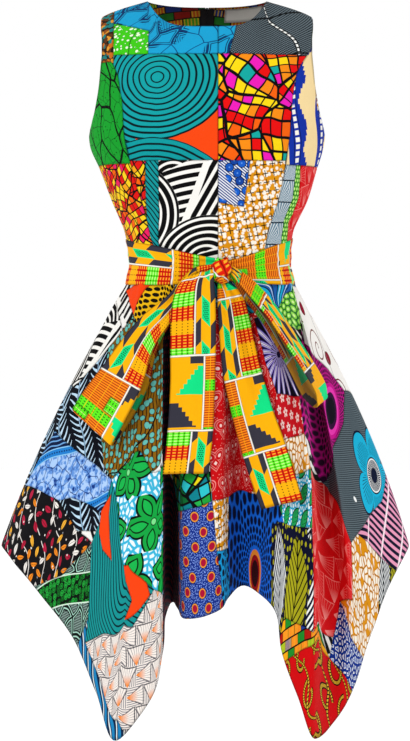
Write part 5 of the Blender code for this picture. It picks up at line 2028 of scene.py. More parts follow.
SKIRT_FRONT = (
    Patch(Ink.BASKET_STRIPES, ((-34, 0), (-8, 0), (-6, -12), (-22, -12), (-34, -8)), -28, 1.25),
    Patch(Ink.ZEBRA, ((-34, 0), (-16, 0), (-19, -12), (-22, -12), (-34, -8)), -60, 1, (-27, -5)),
    Patch(Ink.BLUE_LINES, ((-8, 0), (14, 0), (14, -16), (4, -18), (-8, -16)), 20),
    Patch(Ink.FLAT_ORANGE, ((-14, -4), (-9, -10), (-15, -10.5))),
    Patch(
        Ink.YELLOW_OVALS,
        ((-15, -10.5), (-9, -10), (-5, -13), (-6, -15.5), (-12, -15.5), (-15, -13)),
        -41,
    ),
    Patch(
        Ink.BROWN_BLOBS,
        ((-22, -8), (-15, -10.5), (-15, -13), (-12, -15.5), (-12, -17), (-24, -33), (-28, -32), (-27, -28),
         (-35, -25), (-35, -21), (-31, -14)),
        -40,
    ),
    Patch(
        Ink.PALE_FERNS,
        ((-22, -8), (-31, -4), (-38, -5), (-38, -7), (-36, -21), (-35, -25), (-35, -21), (-31, -14)),
        -38,
    ),
    Patch(Ink.PALE_FERNS, ((-31, 0), (-31, -4), (-38, -5), (-48, -3), (-48, 0)), -40),
    Patch(
        Ink.INDIGO_CRACKLE,
        ((-38, -5), (-48, -3), (-45, -14), (-40, -27), (-35, -25), (-36, -21), (-38, -7)),
        -42,
    ),
    Patch(Ink.PALE_FERNS, ((-43, -17), (-45, -14), (-46, -22), (-43, -27), (-40, -27)), -43),
    Patch(
        Ink.NIGHT_VINES,
        ((-48, 0), (-58.5, 0), (-58.5, -16), (-53, -23), (-45, -27), (-46, -22), (-45, -14), (-48, -3)),
        -45,
    ),
    Patch(
        Ink.GREEN_SCALES,
        ((-58.5, -16), (-58.5, -35), (-53, -35), (-49, -31), (-45, -27), (-53, -23)),
        -45,
    ),
    Patch(
        Ink.TEAL_FLOW,
        ((-35, -25), (-36, -29), (-40, -38), (-39, -46), (-45, -47), (-56, -37), (-53, -35), (-49, -31),
         (-45, -27), (-40, -27)),
        -36,
    ),
    Patch(
        Ink.FLAT_ORANGE,
        ((-36.5, -26.5), (-40, -26), (-42.5, -28), (-43.5, -31), (-42.5, -35), (-41, -31.5), (-39, -28.5)),
    ),
    Patch(
        Ink.FLAT_ORANGE,
        ((-39.5, -37.5), (-41.5, -41), (-42.5, -44), (-45.5, -45.5), (-43, -46), (-40, -46), (-38.5, -42)),
    ),
    Patch(
        Ink.BIG_LEAVES,
        ((-36, -29), (-35, -25), (-27, -28), (-28, -32), (-25, -35), (-37, -51), (-39, -46), (-40, -38)),
        -41,
    ),
    Patch(
        Ink.PEACH_FANS,
        ((-56, -37), (-45, -47), (-39, -46), (-37, -51), (-43, -58.5), (-56, -58.5)),
        -41,
    ),
    Patch(Ink.NAVY_MARBLE, ((-58.5, -35), (-53, -35), (-56, -37), (-56, -58.5), (-58.5, -58.5)), -35),
    Patch(
        Ink.NAVY_DOTS,
        ((-12, -17), (-12, -15.5), (-6, -15.5), (-3, -18), (-4, -39), (-21, -38), (-13, -44), (-15, -58.5),
         (-43, -58.5), (-37, -51), (-25, -35), (-24, -33)),
        -25,
    ),
    Patch(Ink.GREEN_MOSAIC, ((-21, -37), (-4, -38), (-4, -43), (-13, -44.5)), -4),
    Patch(Ink.ROYAL_SPECKLE, ((-13, -44.5), (-4, -43), (-3, -58.5), (-15, -58.5)), -8),
    Patch(Ink.ORANGE_CRACKLE, ((-4, -43), (1, -44), (0, -51), (-4, -50)), -2),
    Patch(Ink.CYAN_BLOBS, ((-4, -50), (0, -51), (1.5, -58.5), (-3, -58.5)), -4),
    Patch(
        Ink.RED_HEARTS,
        ((-6, -15.5), (4, -18), (9, -15.5), (6, -18), (10, -24), (14, -27), (14, -36), (10, -44), (1, -44),
         (-4, -43), (-3, -18)),
        -1,
    ),
    Patch(
        Ink.PURPLE_FLOWER,
        ((6, -18), (12, -14), (18, -17), (21, -23), (14, -27), (10, -24)),
        21,
        1,
        (12.5, -21),
    ),
    Patch(Ink.RED_FLOWERS, ((14, -27), (21, -23), (24, -26), (25, -27), (19, -32), (14, -36)), 24),
    Patch(
        Ink.GOLD_CRACKLE,
        ((14, -36), (19, -32), (25, -27), (30, -30), (23, -36), (17, -42), (10, -44)),
        28,
    ),
    Patch(Ink.CYAN_LEAVES, ((17, -42), (23, -36), (30, -30), (35, -37), (27, -42), (18, -47)), 33),
    Patch(
        Ink.BLUE_EYE,
        ((1, -44), (10, -44), (17, -42), (24, -43.5), (22, -58.5), (1.5, -58.5), (0, -51)),
        9,
        1,
        (13, -55.5),
    ),
    Patch(
        Ink.OLIVE_FEATHERS,
        ((18, -47), (24, -43.5), (27, -42), (35, -37), (45, -48), (33, -54), (33, -58.5), (22, -58.5)),
        24,
        1.6,
        (26, -53),
    ),
    Patch(Ink.DULL_KENTE, ((33, -58.5), (33, -54), (45, -48), (47, -45), (50, -45), (38, -58.5)), 47),
    Patch(Ink.BEADED_CURLS, ((38, -58.5), (50, -45), (58.5, -40), (58.5, -58.5)), 48),
    Patch(Ink.GREEN_PEAS, ((10, -15), (11, -8), (14, -10), (15, -13), (14, -15.5)), 10, 1.4),
    Patch(
        Ink.BROWN_SCROLLS,
        ((11, -8), (14, -2), (14, 0), (33, 0), (31, -4), (26, -6.5), (17, -14), (14, -10)),
        8,
    ),
    Patch(
        Ink.MAGENTA_EYE,
        ((15, -13), (17, -14), (26, -6.5), (31, -4), (33, -10), (31, -28), (25, -27), (21, -23), (18, -17)),
        7,
        1.0,
        (29, -13),
    ),
    Patch(
        Ink.SLATE_FLOWER,
        ((31, -4), (33, 0), (46, 0), (48, -7), (44, -24), (31, -28), (33, -10)),
        27,
        1,
        (44, -6.5),
    ),
    Patch(Ink.PINK_STRIPES, ((46, 0), (58.5, 0), (58.5, -9), (45, -20), (48, -7)), 43),
    Patch(
        Ink.GOLD_CRACKLE,
        ((45, -20), (54, -13), (57, -19), (58.5, -21), (58.5, -31), (52, -36), (45, -37), (49, -31),
         (44, -24)),
        36,
    ),
    Patch(Ink.OLIVE_FEATHERS, ((53, -13.5), (58.5, -9), (58.5, -21), (57, -19)), 50),
    Patch(
        Ink.RED_FANS,
        ((31, -28), (44, -24), (49, -31), (45, -37), (48, -42), (45, -48), (35, -37), (30, -30)),
        45,
    ),
    Patch(Ink.BLUE_PEBBLES, ((45, -37), (52, -36), (58.5, -31), (58.5, -40), (50, -45), (48, -42)), 50),
)


def turned_about(patches: Sequence[Patch], inks: dict[Ink, Ink]) -> tuple[Patch, ...]:
    """The same layout on the other half of the skirt, in other prints.

    Args:
        patches: the layout of the front half.
        inks: the print that stands in for each print of the front.

    Returns:
        The layout turned half round about the waist.
    """
    turned = []
    for patch in patches:
        corners = tuple((-across, -up) for across, up in patch.corners)
        ink = inks.get(patch.ink, patch.ink)
        centre = patch.centre and (-patch.centre[0], -patch.centre[1])
        turned.append(Patch(ink, corners, patch.turn + 180, patch.scale, centre))
    return tuple(turned)


BACK_INKS = {
    Ink.BASKET_STRIPES: Ink.RED_FANS,
    Ink.BLUE_LINES: Ink.EARTH_MOTTLE,
    Ink.BROWN_BLOBS: Ink.BLUE_BERRIES,
    Ink.PALE_FERNS: Ink.GREEN_BRANCHES,
    Ink.INDIGO_CRACKLE: Ink.MAGENTA_EYE,
    Ink.NIGHT_VINES: Ink.ORANGE_CRACKLE,
    Ink.GREEN_SCALES: Ink.SLATE_ROPE,
    Ink.TEAL_FLOW: Ink.BEADED_CURLS,
    Ink.BIG_LEAVES: Ink.PINK_STRIPES,
    Ink.PEACH_FANS: Ink.INDIGO_CRACKLE,
    Ink.NAVY_DOTS: Ink.TEAL_WAVES,
    Ink.RED_HEARTS: Ink.ZEBRA,
    Ink.PURPLE_FLOWER: Ink.BLUE_VEINS,
    Ink.BLUE_EYE: Ink.GREEN_BUBBLES,
    Ink.OLIVE_FEATHERS: Ink.CYAN_LEAVES,
    Ink.CYAN_LEAVES: Ink.YELLOW_OVALS,
    Ink.BEADED_CURLS: Ink.BIG_LEAVES,
    Ink.BROWN_SCROLLS: Ink.PALE_FERNS,
    Ink.MAGENTA_EYE: Ink.TEAL_RINGS,
    Ink.SLATE_FLOWER: Ink.NIGHT_VINES,
    Ink.PINK_STRIPES: Ink.ROYAL_SPECKLE,
    Ink.GOLD_CRACKLE: Ink.WARM_MOSAIC,
    Ink.RED_FANS: Ink.BRIGHT_MOSAIC,
    Ink.BLUE_PEBBLES: Ink.RED_FLOWERS,
}


SKIRT_CREASES = (
    Crease(-9, -11, 50, 9, 0.9, -1.8),
    Crease(-11.5, -9.5, 40, 10, 0.9, 2.0),
    Crease(-7, -13.5, 64, 10, 1.0, 1.8),
    Crease(-4.5, -15, 74, 10, 1.0, -1.6),
    Crease(-1.5, -15.5, 86, 9, 1.0, 1.6),
    Crease(2.5, -15.5, 99, 9, 0.9, -1.8),
    Crease(5.5, -14.5, 111, 9, 0.9, 1.8),
    Crease(8.5, -12.5, 124, 10, 1.0, -1.7),
    Crease(11.5, -10, 139, 10, 1.0, 1.9),
    Crease(14, -6.5, 155, 10, 1.1, -1.6),
    Crease(15, -2.5, 172, 10, 1.1, 1.7),
    Crease(-14.5, -6, 22, 10, 1.1, -1.7),
    Crease(-15.5, -2, 8, 10, 1.1, 1.7),
    Crease(-25, -14, 30, 16, 2.2, -1.9),
    Crease(-33, -21, 33, 18, 2.4, 2.2),
    Crease(-42, -24, 30, 16, 2.2, -2.0),
    Crease(-46, -38, 40, 15, 2.4, 2.0),
    Crease(-30, -36, 51, 14, 1.8, -1.8),
    Crease(-5, -34, 84, 18, 1.6, -1.7),
    Crease(-9, -47, 80, 12, 1.7, 1.8),
    Crease(6, -40, 98, 16, 1.8, 1.8),
    Crease(14, -48, 107, 12, 1.7, -1.6),
    Crease(22, -20, 138, 14, 1.8, 1.9),
    Crease(30, -16, 150, 16, 2.0, -1.9),
    Crease(34, -30, 138, 15, 2.0, 1.8),
    Crease(42, -38, 137, 14, 2.2, -1.9),
    Crease(48, -18, 158, 14, 2.2, 2.0),
    Crease(-52, -10, 11, 12, 2.2, 1.8),
    Crease(9, 12, 53, 9, 0.9, 1.8),
    Crease(11.5, 9.5, 40, 10, 0.9, -2.0),
    Crease(6.5, 14, 65, 10, 1.0, -1.7),
    Crease(3, 15.5, 79, 9, 1.0, 1.6),
    Crease(-3, 15.5, 101, 9, 1.0, -1.6),
    Crease(-7, 13.5, 117, 10, 1.0, 1.8),
    Crease(-10.5, 10.5, 135, 10, 1.0, -1.8),
    Crease(-13.5, 7, 153, 10, 1.1, 1.7),
    Crease(14.5, 5.5, 21, 10, 1.1, 1.7),
    Crease(24, 15, 32, 16, 2.2, -1.9),
    Crease(33, 22, 34, 18, 2.4, 2.1),
    Crease(45, 38, 40, 15, 2.4, -1.9),
    Crease(28, 37, 53, 14, 1.8, 1.8),
    Crease(8, 36, 77, 18, 1.8, -1.8),
    Crease(-9, 40, 103, 16, 1.8, 1.8),
    Crease(-24, 20, 140, 15, 1.9, -1.9),
    Crease(-34, 30, 139, 15, 2.0, 1.9),
    Crease(-44, 20, 155, 14, 2.2, -1.9),
    Crease(-42, 40, 136, 14, 2.2, 1.8),
)


# ---------------------------------------------------------------- the skirt


@dataclass
class Skirt:
    """The square skirt: one big square of patchwork with a round waist hole, cut in four.

    half is half the square's side and hole the waist hole's radius, both measured flat.
    """

    half: float = 0.581
    hole: float = 0.102
    step: float = 0.0095
    head_rows: int = 4
    slot_end: float = 0.185
    slot_fade: float = 0.03
    level_steps: tuple[tuple[float, int], ...] = ((0.06, 4), (0.965, 50), (1.0, 4))
    corners: tuple[tuple[str, float], ...] = (
        ("side_right", -2.0),
        ("right_point", -1.0),
        ("front_seam", 0.0),
        ("left_point", 1.0),
        ("side_left", 2.0),
        ("back_left_point", 3.0),
        ("back_seam", 4.0),
        ("back_right_point", 5.0),
    )
    quarters: tuple[tuple[str, str, str], ...] = (
        ("skirt_front_right", "side_right", "front_seam"),
        ("skirt_front_left", "front_seam", "side_left"),
        ("skirt_back_left", "side_left", "back_seam"),
        ("skirt_back_right", "back_seam", "side_right"),
    )

    def lines(self) -> tuple[Array, Array, Array, Array, dict[str, int]]:
        """Turn, hem point, bow and place on the square's border of every line of the skirt.

        Returns:
            The four arrays, one row for each line, and the line of each quarter seam.
        """
        hem = np.stack([column(FOLDS, name) for name in ("hem_x", "hem_y", "hem_z")], axis=1)
        steps = np.linalg.norm(np.roll(hem, -1, axis=0) - hem, axis=1)
        total = steps.sum()
        place = np.concatenate([[0.0], np.cumsum(steps)[:-1]])
        at, seams = [], {}
        names = [fold.name for fold in FOLDS]
        quarter_seams = {seam for _, *ends in self.quarters for seam in ends}
        for index, name in enumerate(names):
            if name in quarter_seams:
                seams[name] = len(at)
            parts = max(1, round(steps[index] / self.step))
            at.extend(place[index] + steps[index] * np.arange(parts) / parts)
        at = np.array(at)
        around = np.concatenate([place[-3:] - total, place, place[:3] + total])

        def read(name: str, period: float = 0.0) -> Array:
            """Read one column of the fold table at every line.

            Args:
                name: the column.
                period: what it gains once round, in degrees for a turn.

            Returns:
                One value for each line.
            """
            values = column(FOLDS, name)
            values = np.concatenate([values[-3:] - period, values, values[:3] + period])
            return smooth(around, values, at)

        knots = [place[names.index(name)] for name, _ in self.corners] + [total]
        border = np.interp(at, knots, [u for _, u in self.corners] + [6.0]) * self.half
        hem = np.stack([read("hem_x"), read("hem_y"), read("hem_z")], axis=1)
        bow = np.stack([read("bow_x"), read("bow_y")], axis=1)
        return read("turn", 360.0), hem, bow, border, seams

    def on_border(self, border: Array) -> Array:
        """Points of the square's border at these lengths along it from the front's middle.

        Args:
            border: the lengths.

        Returns:
            The points, in the cutting plane.
        """
        half = self.half
        side = np.floor((border + half) / (2 * half)).astype(int) % 4
        along = (border + half) % (2 * half) - half
        on_side = [side == number for number in range(4)]
        x = np.select(on_side, [along, half, -along, -half])
        y = np.select(on_side, [-half, along, half, -along])
        return np.stack([x, y], axis=-1)

    def cloth(self) -> tuple[Cloth, dict[str, int]]:
        """The whole skirt's grids and the line of each quarter seam.

        Returns:
            The skirt from side seam to side seam, and the seams' lines.
        """
        turn, hem, bow, border, seams = self.lines()
        waist = np.linspace(WAIST_Z, BAND_FOOT_Z, self.head_rows + 1)[:-1]
        rows = [BodyForm.point(turn, z) for z in waist]
        top = BodyForm.point(turn, BAND_FOOT_Z)
        for level in spaced(*self.level_steps):
            line = top + (hem - top) * level
            line[:, :2] += bow * 4 * level * (1 - level)
            rows.append(line)
        points = np.array(rows)
        around = np.roll(points, -1, axis=1) - np.roll(points, 1, axis=1)
        normals = unit(np.cross(np.gradient(points, axis=0), around))
        run = lengths(points, axis=0)
        share = run / run[-1]
        edge = self.on_border(border)
        reach = np.linalg.norm(edge, axis=1)
        radius = self.hole + (reach - self.hole) * share
        flat = edge[None] / reach[None, :, None] * radius[..., None]
        return Cloth(points, normals, flat, flat.copy()), seams

    def open_slot(self, quarter: Cloth, edge: int) -> None:
        """Move the centre back edge aside where the zip runs.

        Args:
            quarter: the skirt quarter.
            edge: its centre back column, 0 or -1.
        """
        levels = np.concatenate([np.zeros(self.head_rows), spaced(*self.level_steps)])
        aside = ZIP_SLOT * (1 - ease((levels - self.slot_end) / self.slot_fade))
        quarter.points[:, edge, 0] += aside if edge else -aside

    def make(self) -> None:
        """Make the four quarters."""
        cloth, seams = self.cloth()
        cloth = cloth.creased(SKIRT_CREASES)
        patches = SKIRT_FRONT + turned_about(SKIRT_FRONT, BACK_INKS)
        half = self.half * 100
        joins = ((0, -half, 0, half), (-half, 0, half, 0))
        dresser = Dresser(patches, CLOTH, joins)
        total = cloth.points.shape[1]
        for name, first, last in self.quarters:
            start, end = seams[first], seams[last]
            if end <= start:
                end += total
            quarter = cloth.columns(np.arange(start, end + 1) % total)
            if "back_seam" in (first, last):
                self.open_slot(quarter, 0 if first == "back_seam" else -1)
            piece = dresser.make(name + "_cloth", quarter, "patchwork_skirt")
            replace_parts(piece, name)


# ---------------------------------------------------------------- the bodice


def measured(cloth: Cloth) -> None:
    """Work out the width, length and area of a cloth's own flat plane, and keep none of them.

    Args:
        cloth: its grids.
    """
    flat = cloth.flat
    width, length = (np.ptp(flat[..., axis]) for axis in (0, 1))
    across = flat[1:, 1:] - flat[:-1, :-1]
    other = flat[1:, :-1] - flat[:-1, 1:]
    cells = across[..., 0] * other[..., 1] - across[..., 1] * other[..., 0]
    area = min(abs(cells.sum()) / 2, width * length)


FRONT_PATCHES = (
    Patch(Ink.TEAL_RINGS, oblong(-20, -24, 1.7, -7.6), 0, 1.0, (-7.6, -11.2)),
    Patch(Ink.BLUE_VEINS, oblong(-20, -7.6, 1.7, 2.0), 35),
    Patch(Ink.GREEN_BUBBLES, ((-14.4, -2.4), (-9.0, -3.6), (-9.0, -7.6), (-14.4, -7.6))),
    Patch(Ink.EARTH_MOTTLE, ((-20, 2), (-14.4, 1.2), (-14.4, -9.2), (-20, -9.2))),
    Patch(Ink.SLATE_ROPE, oblong(1.7, -7.6, 20, 2.0), -12),
    Patch(Ink.BLUE_VEINS, ((1.7, 2), (5.6, 2), (4.2, -4.4), (3.4, -7.6), (1.7, -7.6)), 10),
    Patch(Ink.BRIGHT_MOSAIC, oblong(1.7, -24, 20, -7.6), -16),
    Patch(Ink.WARM_MOSAIC, oblong(-20, -45, -9.4, -24), 8),
    Patch(Ink.TEAL_RIBS, oblong(-9.4, -45, -7.4, -24)),
    Patch(Ink.ZEBRA, oblong(-7.4, -45, 1.7, -24), 22),
    Patch(Ink.ORANGE_CRACKLE, oblong(1.7, -45, 20, -24), 10),
    Patch(Ink.BLUE_BERRIES, ((1.7, -24), (6.6, -24), (5.6, -31), (1.7, -30.4)), -12),
)
BACK_PATCHES = (
    Patch(Ink.RED_FANS, oblong(-20, -24.5, 0, -8.0), 10),
    Patch(Ink.SLATE_ROPE, oblong(-20, -8.0, 0, 2.0), 8),
    Patch(Ink.DULL_KENTE, oblong(-11, -4.5, 0, 2.0), 4),
    Patch(Ink.ORANGE_CRACKLE, ((-20, 2), (-13.2, 1.4), (-13.2, -8.0), (-20, -8.0))),
    Patch(Ink.BLUE_VEINS, oblong(0, -8.0, 20, 2.0), -20),
    Patch(Ink.DULL_KENTE, oblong(0, -4.5, 11, 2.0), -6),
    Patch(Ink.GREEN_BUBBLES, ((10.4, -2.2), (20, -1), (20, -8.0), (10.4, -8.0))),
    Patch(Ink.BLUE_BERRIES, oblong(0, -24.5, 20, -8.0), 14),
    Patch(Ink.YELLOW_OVALS, ((0, -24.5), (6.5, -24.5), (4.0, -19.0), (0, -16.5)), 20),
    Patch(Ink.BIG_LEAVES, oblong(-20, -45, 0, -24.5), 30),
    Patch(Ink.TEAL_RIBS, oblong(-10.0, -45, -7.8, -24.5)),
    Patch(Ink.CYAN_LEAVES, oblong(0, -45, 20, -24.5), -8),
    Patch(Ink.ZEBRA, oblong(6.4, -45, 20, -24.5), -14),
)
SIDE_PATCHES = {
    ("front", "right"): (
        Patch(Ink.GREEN_BRANCHES, oblong(-1, -24.4, 20, -2), 10),
        Patch(Ink.EARTH_MOTTLE, oblong(-1, -8.6, 20, -2)),
        Patch(Ink.WARM_MOSAIC, oblong(-1, -45, 20, -24.4), 8),
    ),
    ("front", "left"): (
        Patch(Ink.BLUE_CHEQUER, oblong(-1, -24.6, 20, -2), 8),
        Patch(Ink.ORANGE_CRACKLE, ((3.0, -2), (20, -2), (20, -14), (9, -16), (4.0, -9.4))),
        Patch(Ink.SLATE_LINES, oblong(-1, -45, 3.0, -24.6), 0),
        Patch(Ink.GREEN_PEAS, oblong(3.0, -45, 4.8, -24.6), 0),
        Patch(Ink.RED_FANS, oblong(4.8, -45, 20, -24.6), 12),
    ),
    ("back", "right"): (
        Patch(Ink.TEAL_WAVES, oblong(-1, -24.5, 20, -2), 75),
        Patch(Ink.WARM_MOSAIC, oblong(-1, -45, 20, -24.5), -6),
    ),
    ("back", "left"): (
        Patch(Ink.RED_FLOWERS, oblong(-1, -24.5, 20, -2), 8),
        Patch(Ink.PINK_STRIPES, oblong(-1, -45, 20, -24.5), 4),
    ),
}
FRONT_CREASES = (
    Crease(-8.5, -35.6, 12, 7.0, 0.8, 1.5),
    Crease(-5.0, -37.3, 4, 6.0, 0.7, -1.4),
    Crease(-9.5, -32.0, 24, 6.0, 1.0, -1.4),
    Crease(-11.0, -27.5, 38, 5.5, 1.1, 1.2),
    Crease(-12.0, -22.0, 52, 6.0, 1.2, -1.2),
    Crease(-12.6, -12.5, 76, 5.0, 1.0, 1.3),
    Crease(-10.2, -5.0, 60, 5.0, 1.1, -1.1),
    Crease(-3.0, -30.0, 84, 7.0, 1.3, 1.1),
    Crease(1.0, -34.5, 76, 5.5, 0.9, -1.2),
    Crease(4.5, -36.4, -8, 6.5, 0.7, 1.4),
    Crease(7.5, -33.6, -20, 6.0, 0.8, -1.5),
    Crease(9.6, -29.5, -34, 5.5, 1.0, 1.2),
    Crease(11.5, -23.5, -50, 6.0, 1.1, -1.1),
    Crease(12.4, -13.0, -74, 5.0, 1.0, 1.3),
    Crease(9.8, -5.4, -58, 5.0, 1.1, -1.1),
    Crease(-2.0, -5.6, 6, 5.5, 0.8, 0.9),
    Crease(4.0, -10.5, -84, 6.0, 1.4, 0.9),
    Crease(-4.5, -14.5, 80, 7.0, 1.6, -0.8),
)
BACK_CREASES = (
    Crease(-7.0, -35.5, 8, 6.5, 0.8, 1.6),
    Crease(-6.0, -32.2, 14, 6.0, 0.9, -1.5),
    Crease(-8.5, -28.0, 30, 5.5, 1.0, 1.1),
    Crease(-11.0, -15.0, 72, 6.0, 1.2, -1.1),
    Crease(-9.5, -4.5, 55, 5.0, 1.0, 1.0),
    Crease(6.5, -36.2, -6, 6.0, 0.8, 1.5),
    Crease(7.5, -33.0, -16, 6.0, 0.9, -1.6),
    Crease(8.0, -28.6, -26, 5.5, 1.0, 1.2),
    Crease(11.0, -14.0, -74, 6.0, 1.2, -1.0),
    Crease(9.5, -5.0, -52, 5.0, 1.0, 1.0),
)
SIDE_CREASES = (
    Crease(3.5, -36.5, 8, 5.0, 0.8, 1.6),
    Crease(4.5, -33.2, -10, 5.5, 0.8, -1.7),
    Crease(3.0, -29.5, 16, 5.0, 0.9, 1.2),
    Crease(5.0, -25.0, -22, 4.5, 1.0, -1.1),
    Crease(4.0, -20.5, 30, 4.0, 0.9, 1.0),
)


@dataclass(frozen=True)
class Panel:
    """One of the four sides of the bodice: hand is -1 on the right and 1 on the left."""

    hand: int
    back: bool

    @property
    def centre_x(self) -> float:
        """Where the centre edge of its centre panel is."""
        return self.hand * ZIP_SLOT if self.back else FRONT_SEAM_X

    def seam_x(self, z: Array, hand: int = 1) -> Array:
        """Where its princess seam is at level z, on the hand's side of the form."""
        return BodyForm.ring_at(z)[3] + hand * BodyForm.princess_x(z, self.back)

    def on_form(self, x: Array, z: Array) -> Array:
        """Points of the form at these sideways places and levels."""
        return BodyForm.point(BodyForm.turn_of(x, z, self.back), z)


@dataclass
class Bodice:
    """Eight panels: a centre and a side panel on each side of the front and of the back.

    neck_share is the share of a centre panel's top that is neck edge, the rest being
    shoulder seam. The cloth leaves the form towards the shoulder up to leave_share of
    its height. armhole_dip shapes the top of a side panel, and dense is how many points
    an edge is measured with.
    """

    neck_share: float = 0.56
    leave_share: float = 0.6
    armhole_dip: float = 1.4
    dense: int = 160
    centre_columns: tuple[tuple[float, int], ...] = ((0.018, 1), (0.56, 24), (0.982, 18), (1.0, 1))
    side_columns: tuple[tuple[float, int], ...] = ((0.024, 1), (0.976, 22), (1.0, 1))
    lower_rows: tuple[tuple[float, int], ...] = ((1.0, 52),)
    upper_rows: tuple[tuple[float, int], ...] = ((0.97, 20), (1.0, 1))

    def closing(self) -> Array:
        """Shares from 0 to 1 that lie closer and closer together."""
        return 1 - (1 - np.linspace(0.0, 1.0, self.dense)) ** 3

    def centre_lower(self, panel: Panel, across: Array) -> Array:
        """Points of a centre panel from the waist to the yoke line.

        Args:
            panel: which panel it is.
            across: shares of its width.

        Returns:
            One row of points for each level.
        """
        rows = []
        for part in spaced(*self.lower_rows):
            z_centre = WAIST_Z + (YOKE_Z - WAIST_Z) * part
            z_seam = WAIST_Z + (PRINCESS_TOP_Z - WAIST_Z) * part
            z = z_centre + (z_seam - z_centre) * across**2
            x_seam = panel.seam_x(z_seam, panel.hand)
            rows.append(panel.on_form(panel.centre_x + (x_seam - panel.centre_x) * across, z))
        return np.array(rows)

    def top_edge(self, panel: Panel, share: float) -> tuple[float, float]:
        """Place along the neck edge by its length, then along the shoulder seam.

        Args:
            panel: which panel it is.
            share: share of the whole top edge.

        Returns:
            The place, x and z.
        """
        if share > self.neck_share:
            part = (share - self.neck_share) / (1 - self.neck_share)
            z = NECK_Z + (SHOULDER_TIP_Z - NECK_Z) * part
            return panel.hand * float(BodyForm.ring_at(z)[0]), z
        x = panel.centre_x + (panel.hand * NECK_HALF_WIDTH - panel.centre_x) * self.closing()
        z = BodyForm.neck_z(x, panel.back)
        length = lengths(panel.on_form(x, z), axis=0)
        wanted = length[-1] * share / self.neck_share
        return float(np.interp(wanted, length, x)), float(np.interp(wanted, length, z))

    def centre_upper(self, panel: Panel, across: Array, foot: Array) -> Array:
        """Points of a centre panel from the yoke line up to the neck and shoulder.

        Args:
            panel: which panel it is.
            across: shares of its width.
            foot: its points on the yoke line.

        Returns:
            One row of points for each level.
        """
        up, climb = spaced(*self.upper_rows), self.closing()
        edge = np.array([self.top_edge(panel, share) for share in across])
        head = panel.on_form(edge[:, 0], edge[:, 1])
        on_shoulder = across >= self.neck_share
        head[on_shoulder, 0] = edge[on_shoulder, 0]
        head[on_shoulder, 1] = 0.0
        start = panel.on_form(panel.centre_x, YOKE_Z + (edge[0, 1] - YOKE_Z) * climb)
        arm_z = PRINCESS_TOP_Z + (SHOULDER_TIP_Z - PRINCESS_TOP_Z) * climb
        end = BodyForm.point(BodyForm.armhole_turn(arm_z, panel.back), arm_z)
        end = end * np.array([panel.hand, 1.0, 1.0])
        start, end = self.by_length(start, up), self.by_length(end, up)
        share, rise = across[None, :, None], up[:, None, None]
        sides = start[:, None] * (1 - share) + end[:, None] * share
        ends = foot[None] * (1 - rise) + head[None] * rise
        low = foot[0] * (1 - share) + foot[-1] * share
        high = head[0] * (1 - share) + head[-1] * share
        spanned = sides + ends - low * (1 - rise) - high * rise
        followed = panel.on_form(spanned[..., 0], spanned[..., 2])
        leave = ease(up / self.leave_share)[:, None, None]
        return followed * (1 - leave) + spanned * leave

    @staticmethod
    def by_length(line: Array, parts: Array) -> Array:
        """Points of a dense line at these shares of its length.

        Args:
            line: the line.
            parts: the shares.

        Returns:
            The points.
        """
        length = lengths(line, axis=0)
        wanted = parts * length[-1]
        return np.stack([np.interp(wanted, length, line[:, axis]) for axis in range(3)], axis=1)

    def centre(self, panel: Panel) -> Cloth:
        """A centre panel, cut in its front view.

        Args:
            panel: which panel it is.

        Returns:
            The panel's grids.
        """
        across = spaced(*self.centre_columns)
        lower = self.centre_lower(panel, across)
        upper = self.centre_upper(panel, across, lower[-1])
        points = np.concatenate([lower, upper[1:]])
        normals = facing_out(points, grid_normals(points))
        run = lengths(points, axis=1) * panel.hand + panel.centre_x
        flat = np.stack([run, WAIST_Z + lengths(points, axis=0)], axis=-1)
        return Cloth(points, normals, flat, points[..., [0, 2]].copy())

    def side(self, panel: Panel) -> Cloth:
        """A side panel, cut by the distance from its princess seam and by level.

        Args:
            panel: which panel it is.

        Returns:
            The panel's grids.
        """
        across = spaced(*self.side_columns)
        top_z = UNDERARM_Z + (PRINCESS_TOP_Z - UNDERARM_Z) * (1 - across) ** self.armhole_dip
        top_turn = BodyForm.armhole_turn(top_z, panel.back)
        foot_turn = BodyForm.turn_of(panel.seam_x(WAIST_Z), WAIST_Z, panel.back)
        foot = (1 - across) * foot_turn + across * 90
        rows = []
        for part in spaced(*self.lower_rows):
            z_seam = WAIST_Z + (PRINCESS_TOP_Z - WAIST_Z) * part
            seam_turn = BodyForm.turn_of(panel.seam_x(z_seam), z_seam, panel.back)
            z_side = WAIST_Z + (UNDERARM_Z - WAIST_Z) * part
            turn = part * (top_turn - (1 - across) * top_turn[0] - across * 90)
            turn = turn + (1 - across) * seam_turn + across * 90
            turn = turn + (1 - part) * (foot_turn + (90 - foot_turn) * across - foot)
            level = part * (top_z - (1 - across) * PRINCESS_TOP_Z - across * UNDERARM_Z)
            level = level + (1 - across) * z_seam + across * z_side
            rows.append(BodyForm.point(turn, level))
        points = np.array(rows)
        if panel.hand < 0:
            points[..., 0] = 2 * BodyForm.ring_at(points[..., 2])[3] - points[..., 0]
        normals = facing_out(points, grid_normals(points))
        run = lengths(points, axis=1)
        over = run * panel.hand * (-1 if panel.back else 1)
        flat = np.stack([over, WAIST_Z + lengths(points, axis=0)], axis=-1)
        return Cloth(points, normals, flat, np.stack([run, points[..., 2]], axis=-1))

    @staticmethod
    def piece(name: str, cloth: Cloth, patches: Sequence[Patch], slot: str) -> None:
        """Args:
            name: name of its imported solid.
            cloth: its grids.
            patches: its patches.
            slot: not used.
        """
        made = Dresser(patches).make(name + "_cloth", cloth, slot)
        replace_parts(made, name)
        measured(cloth)

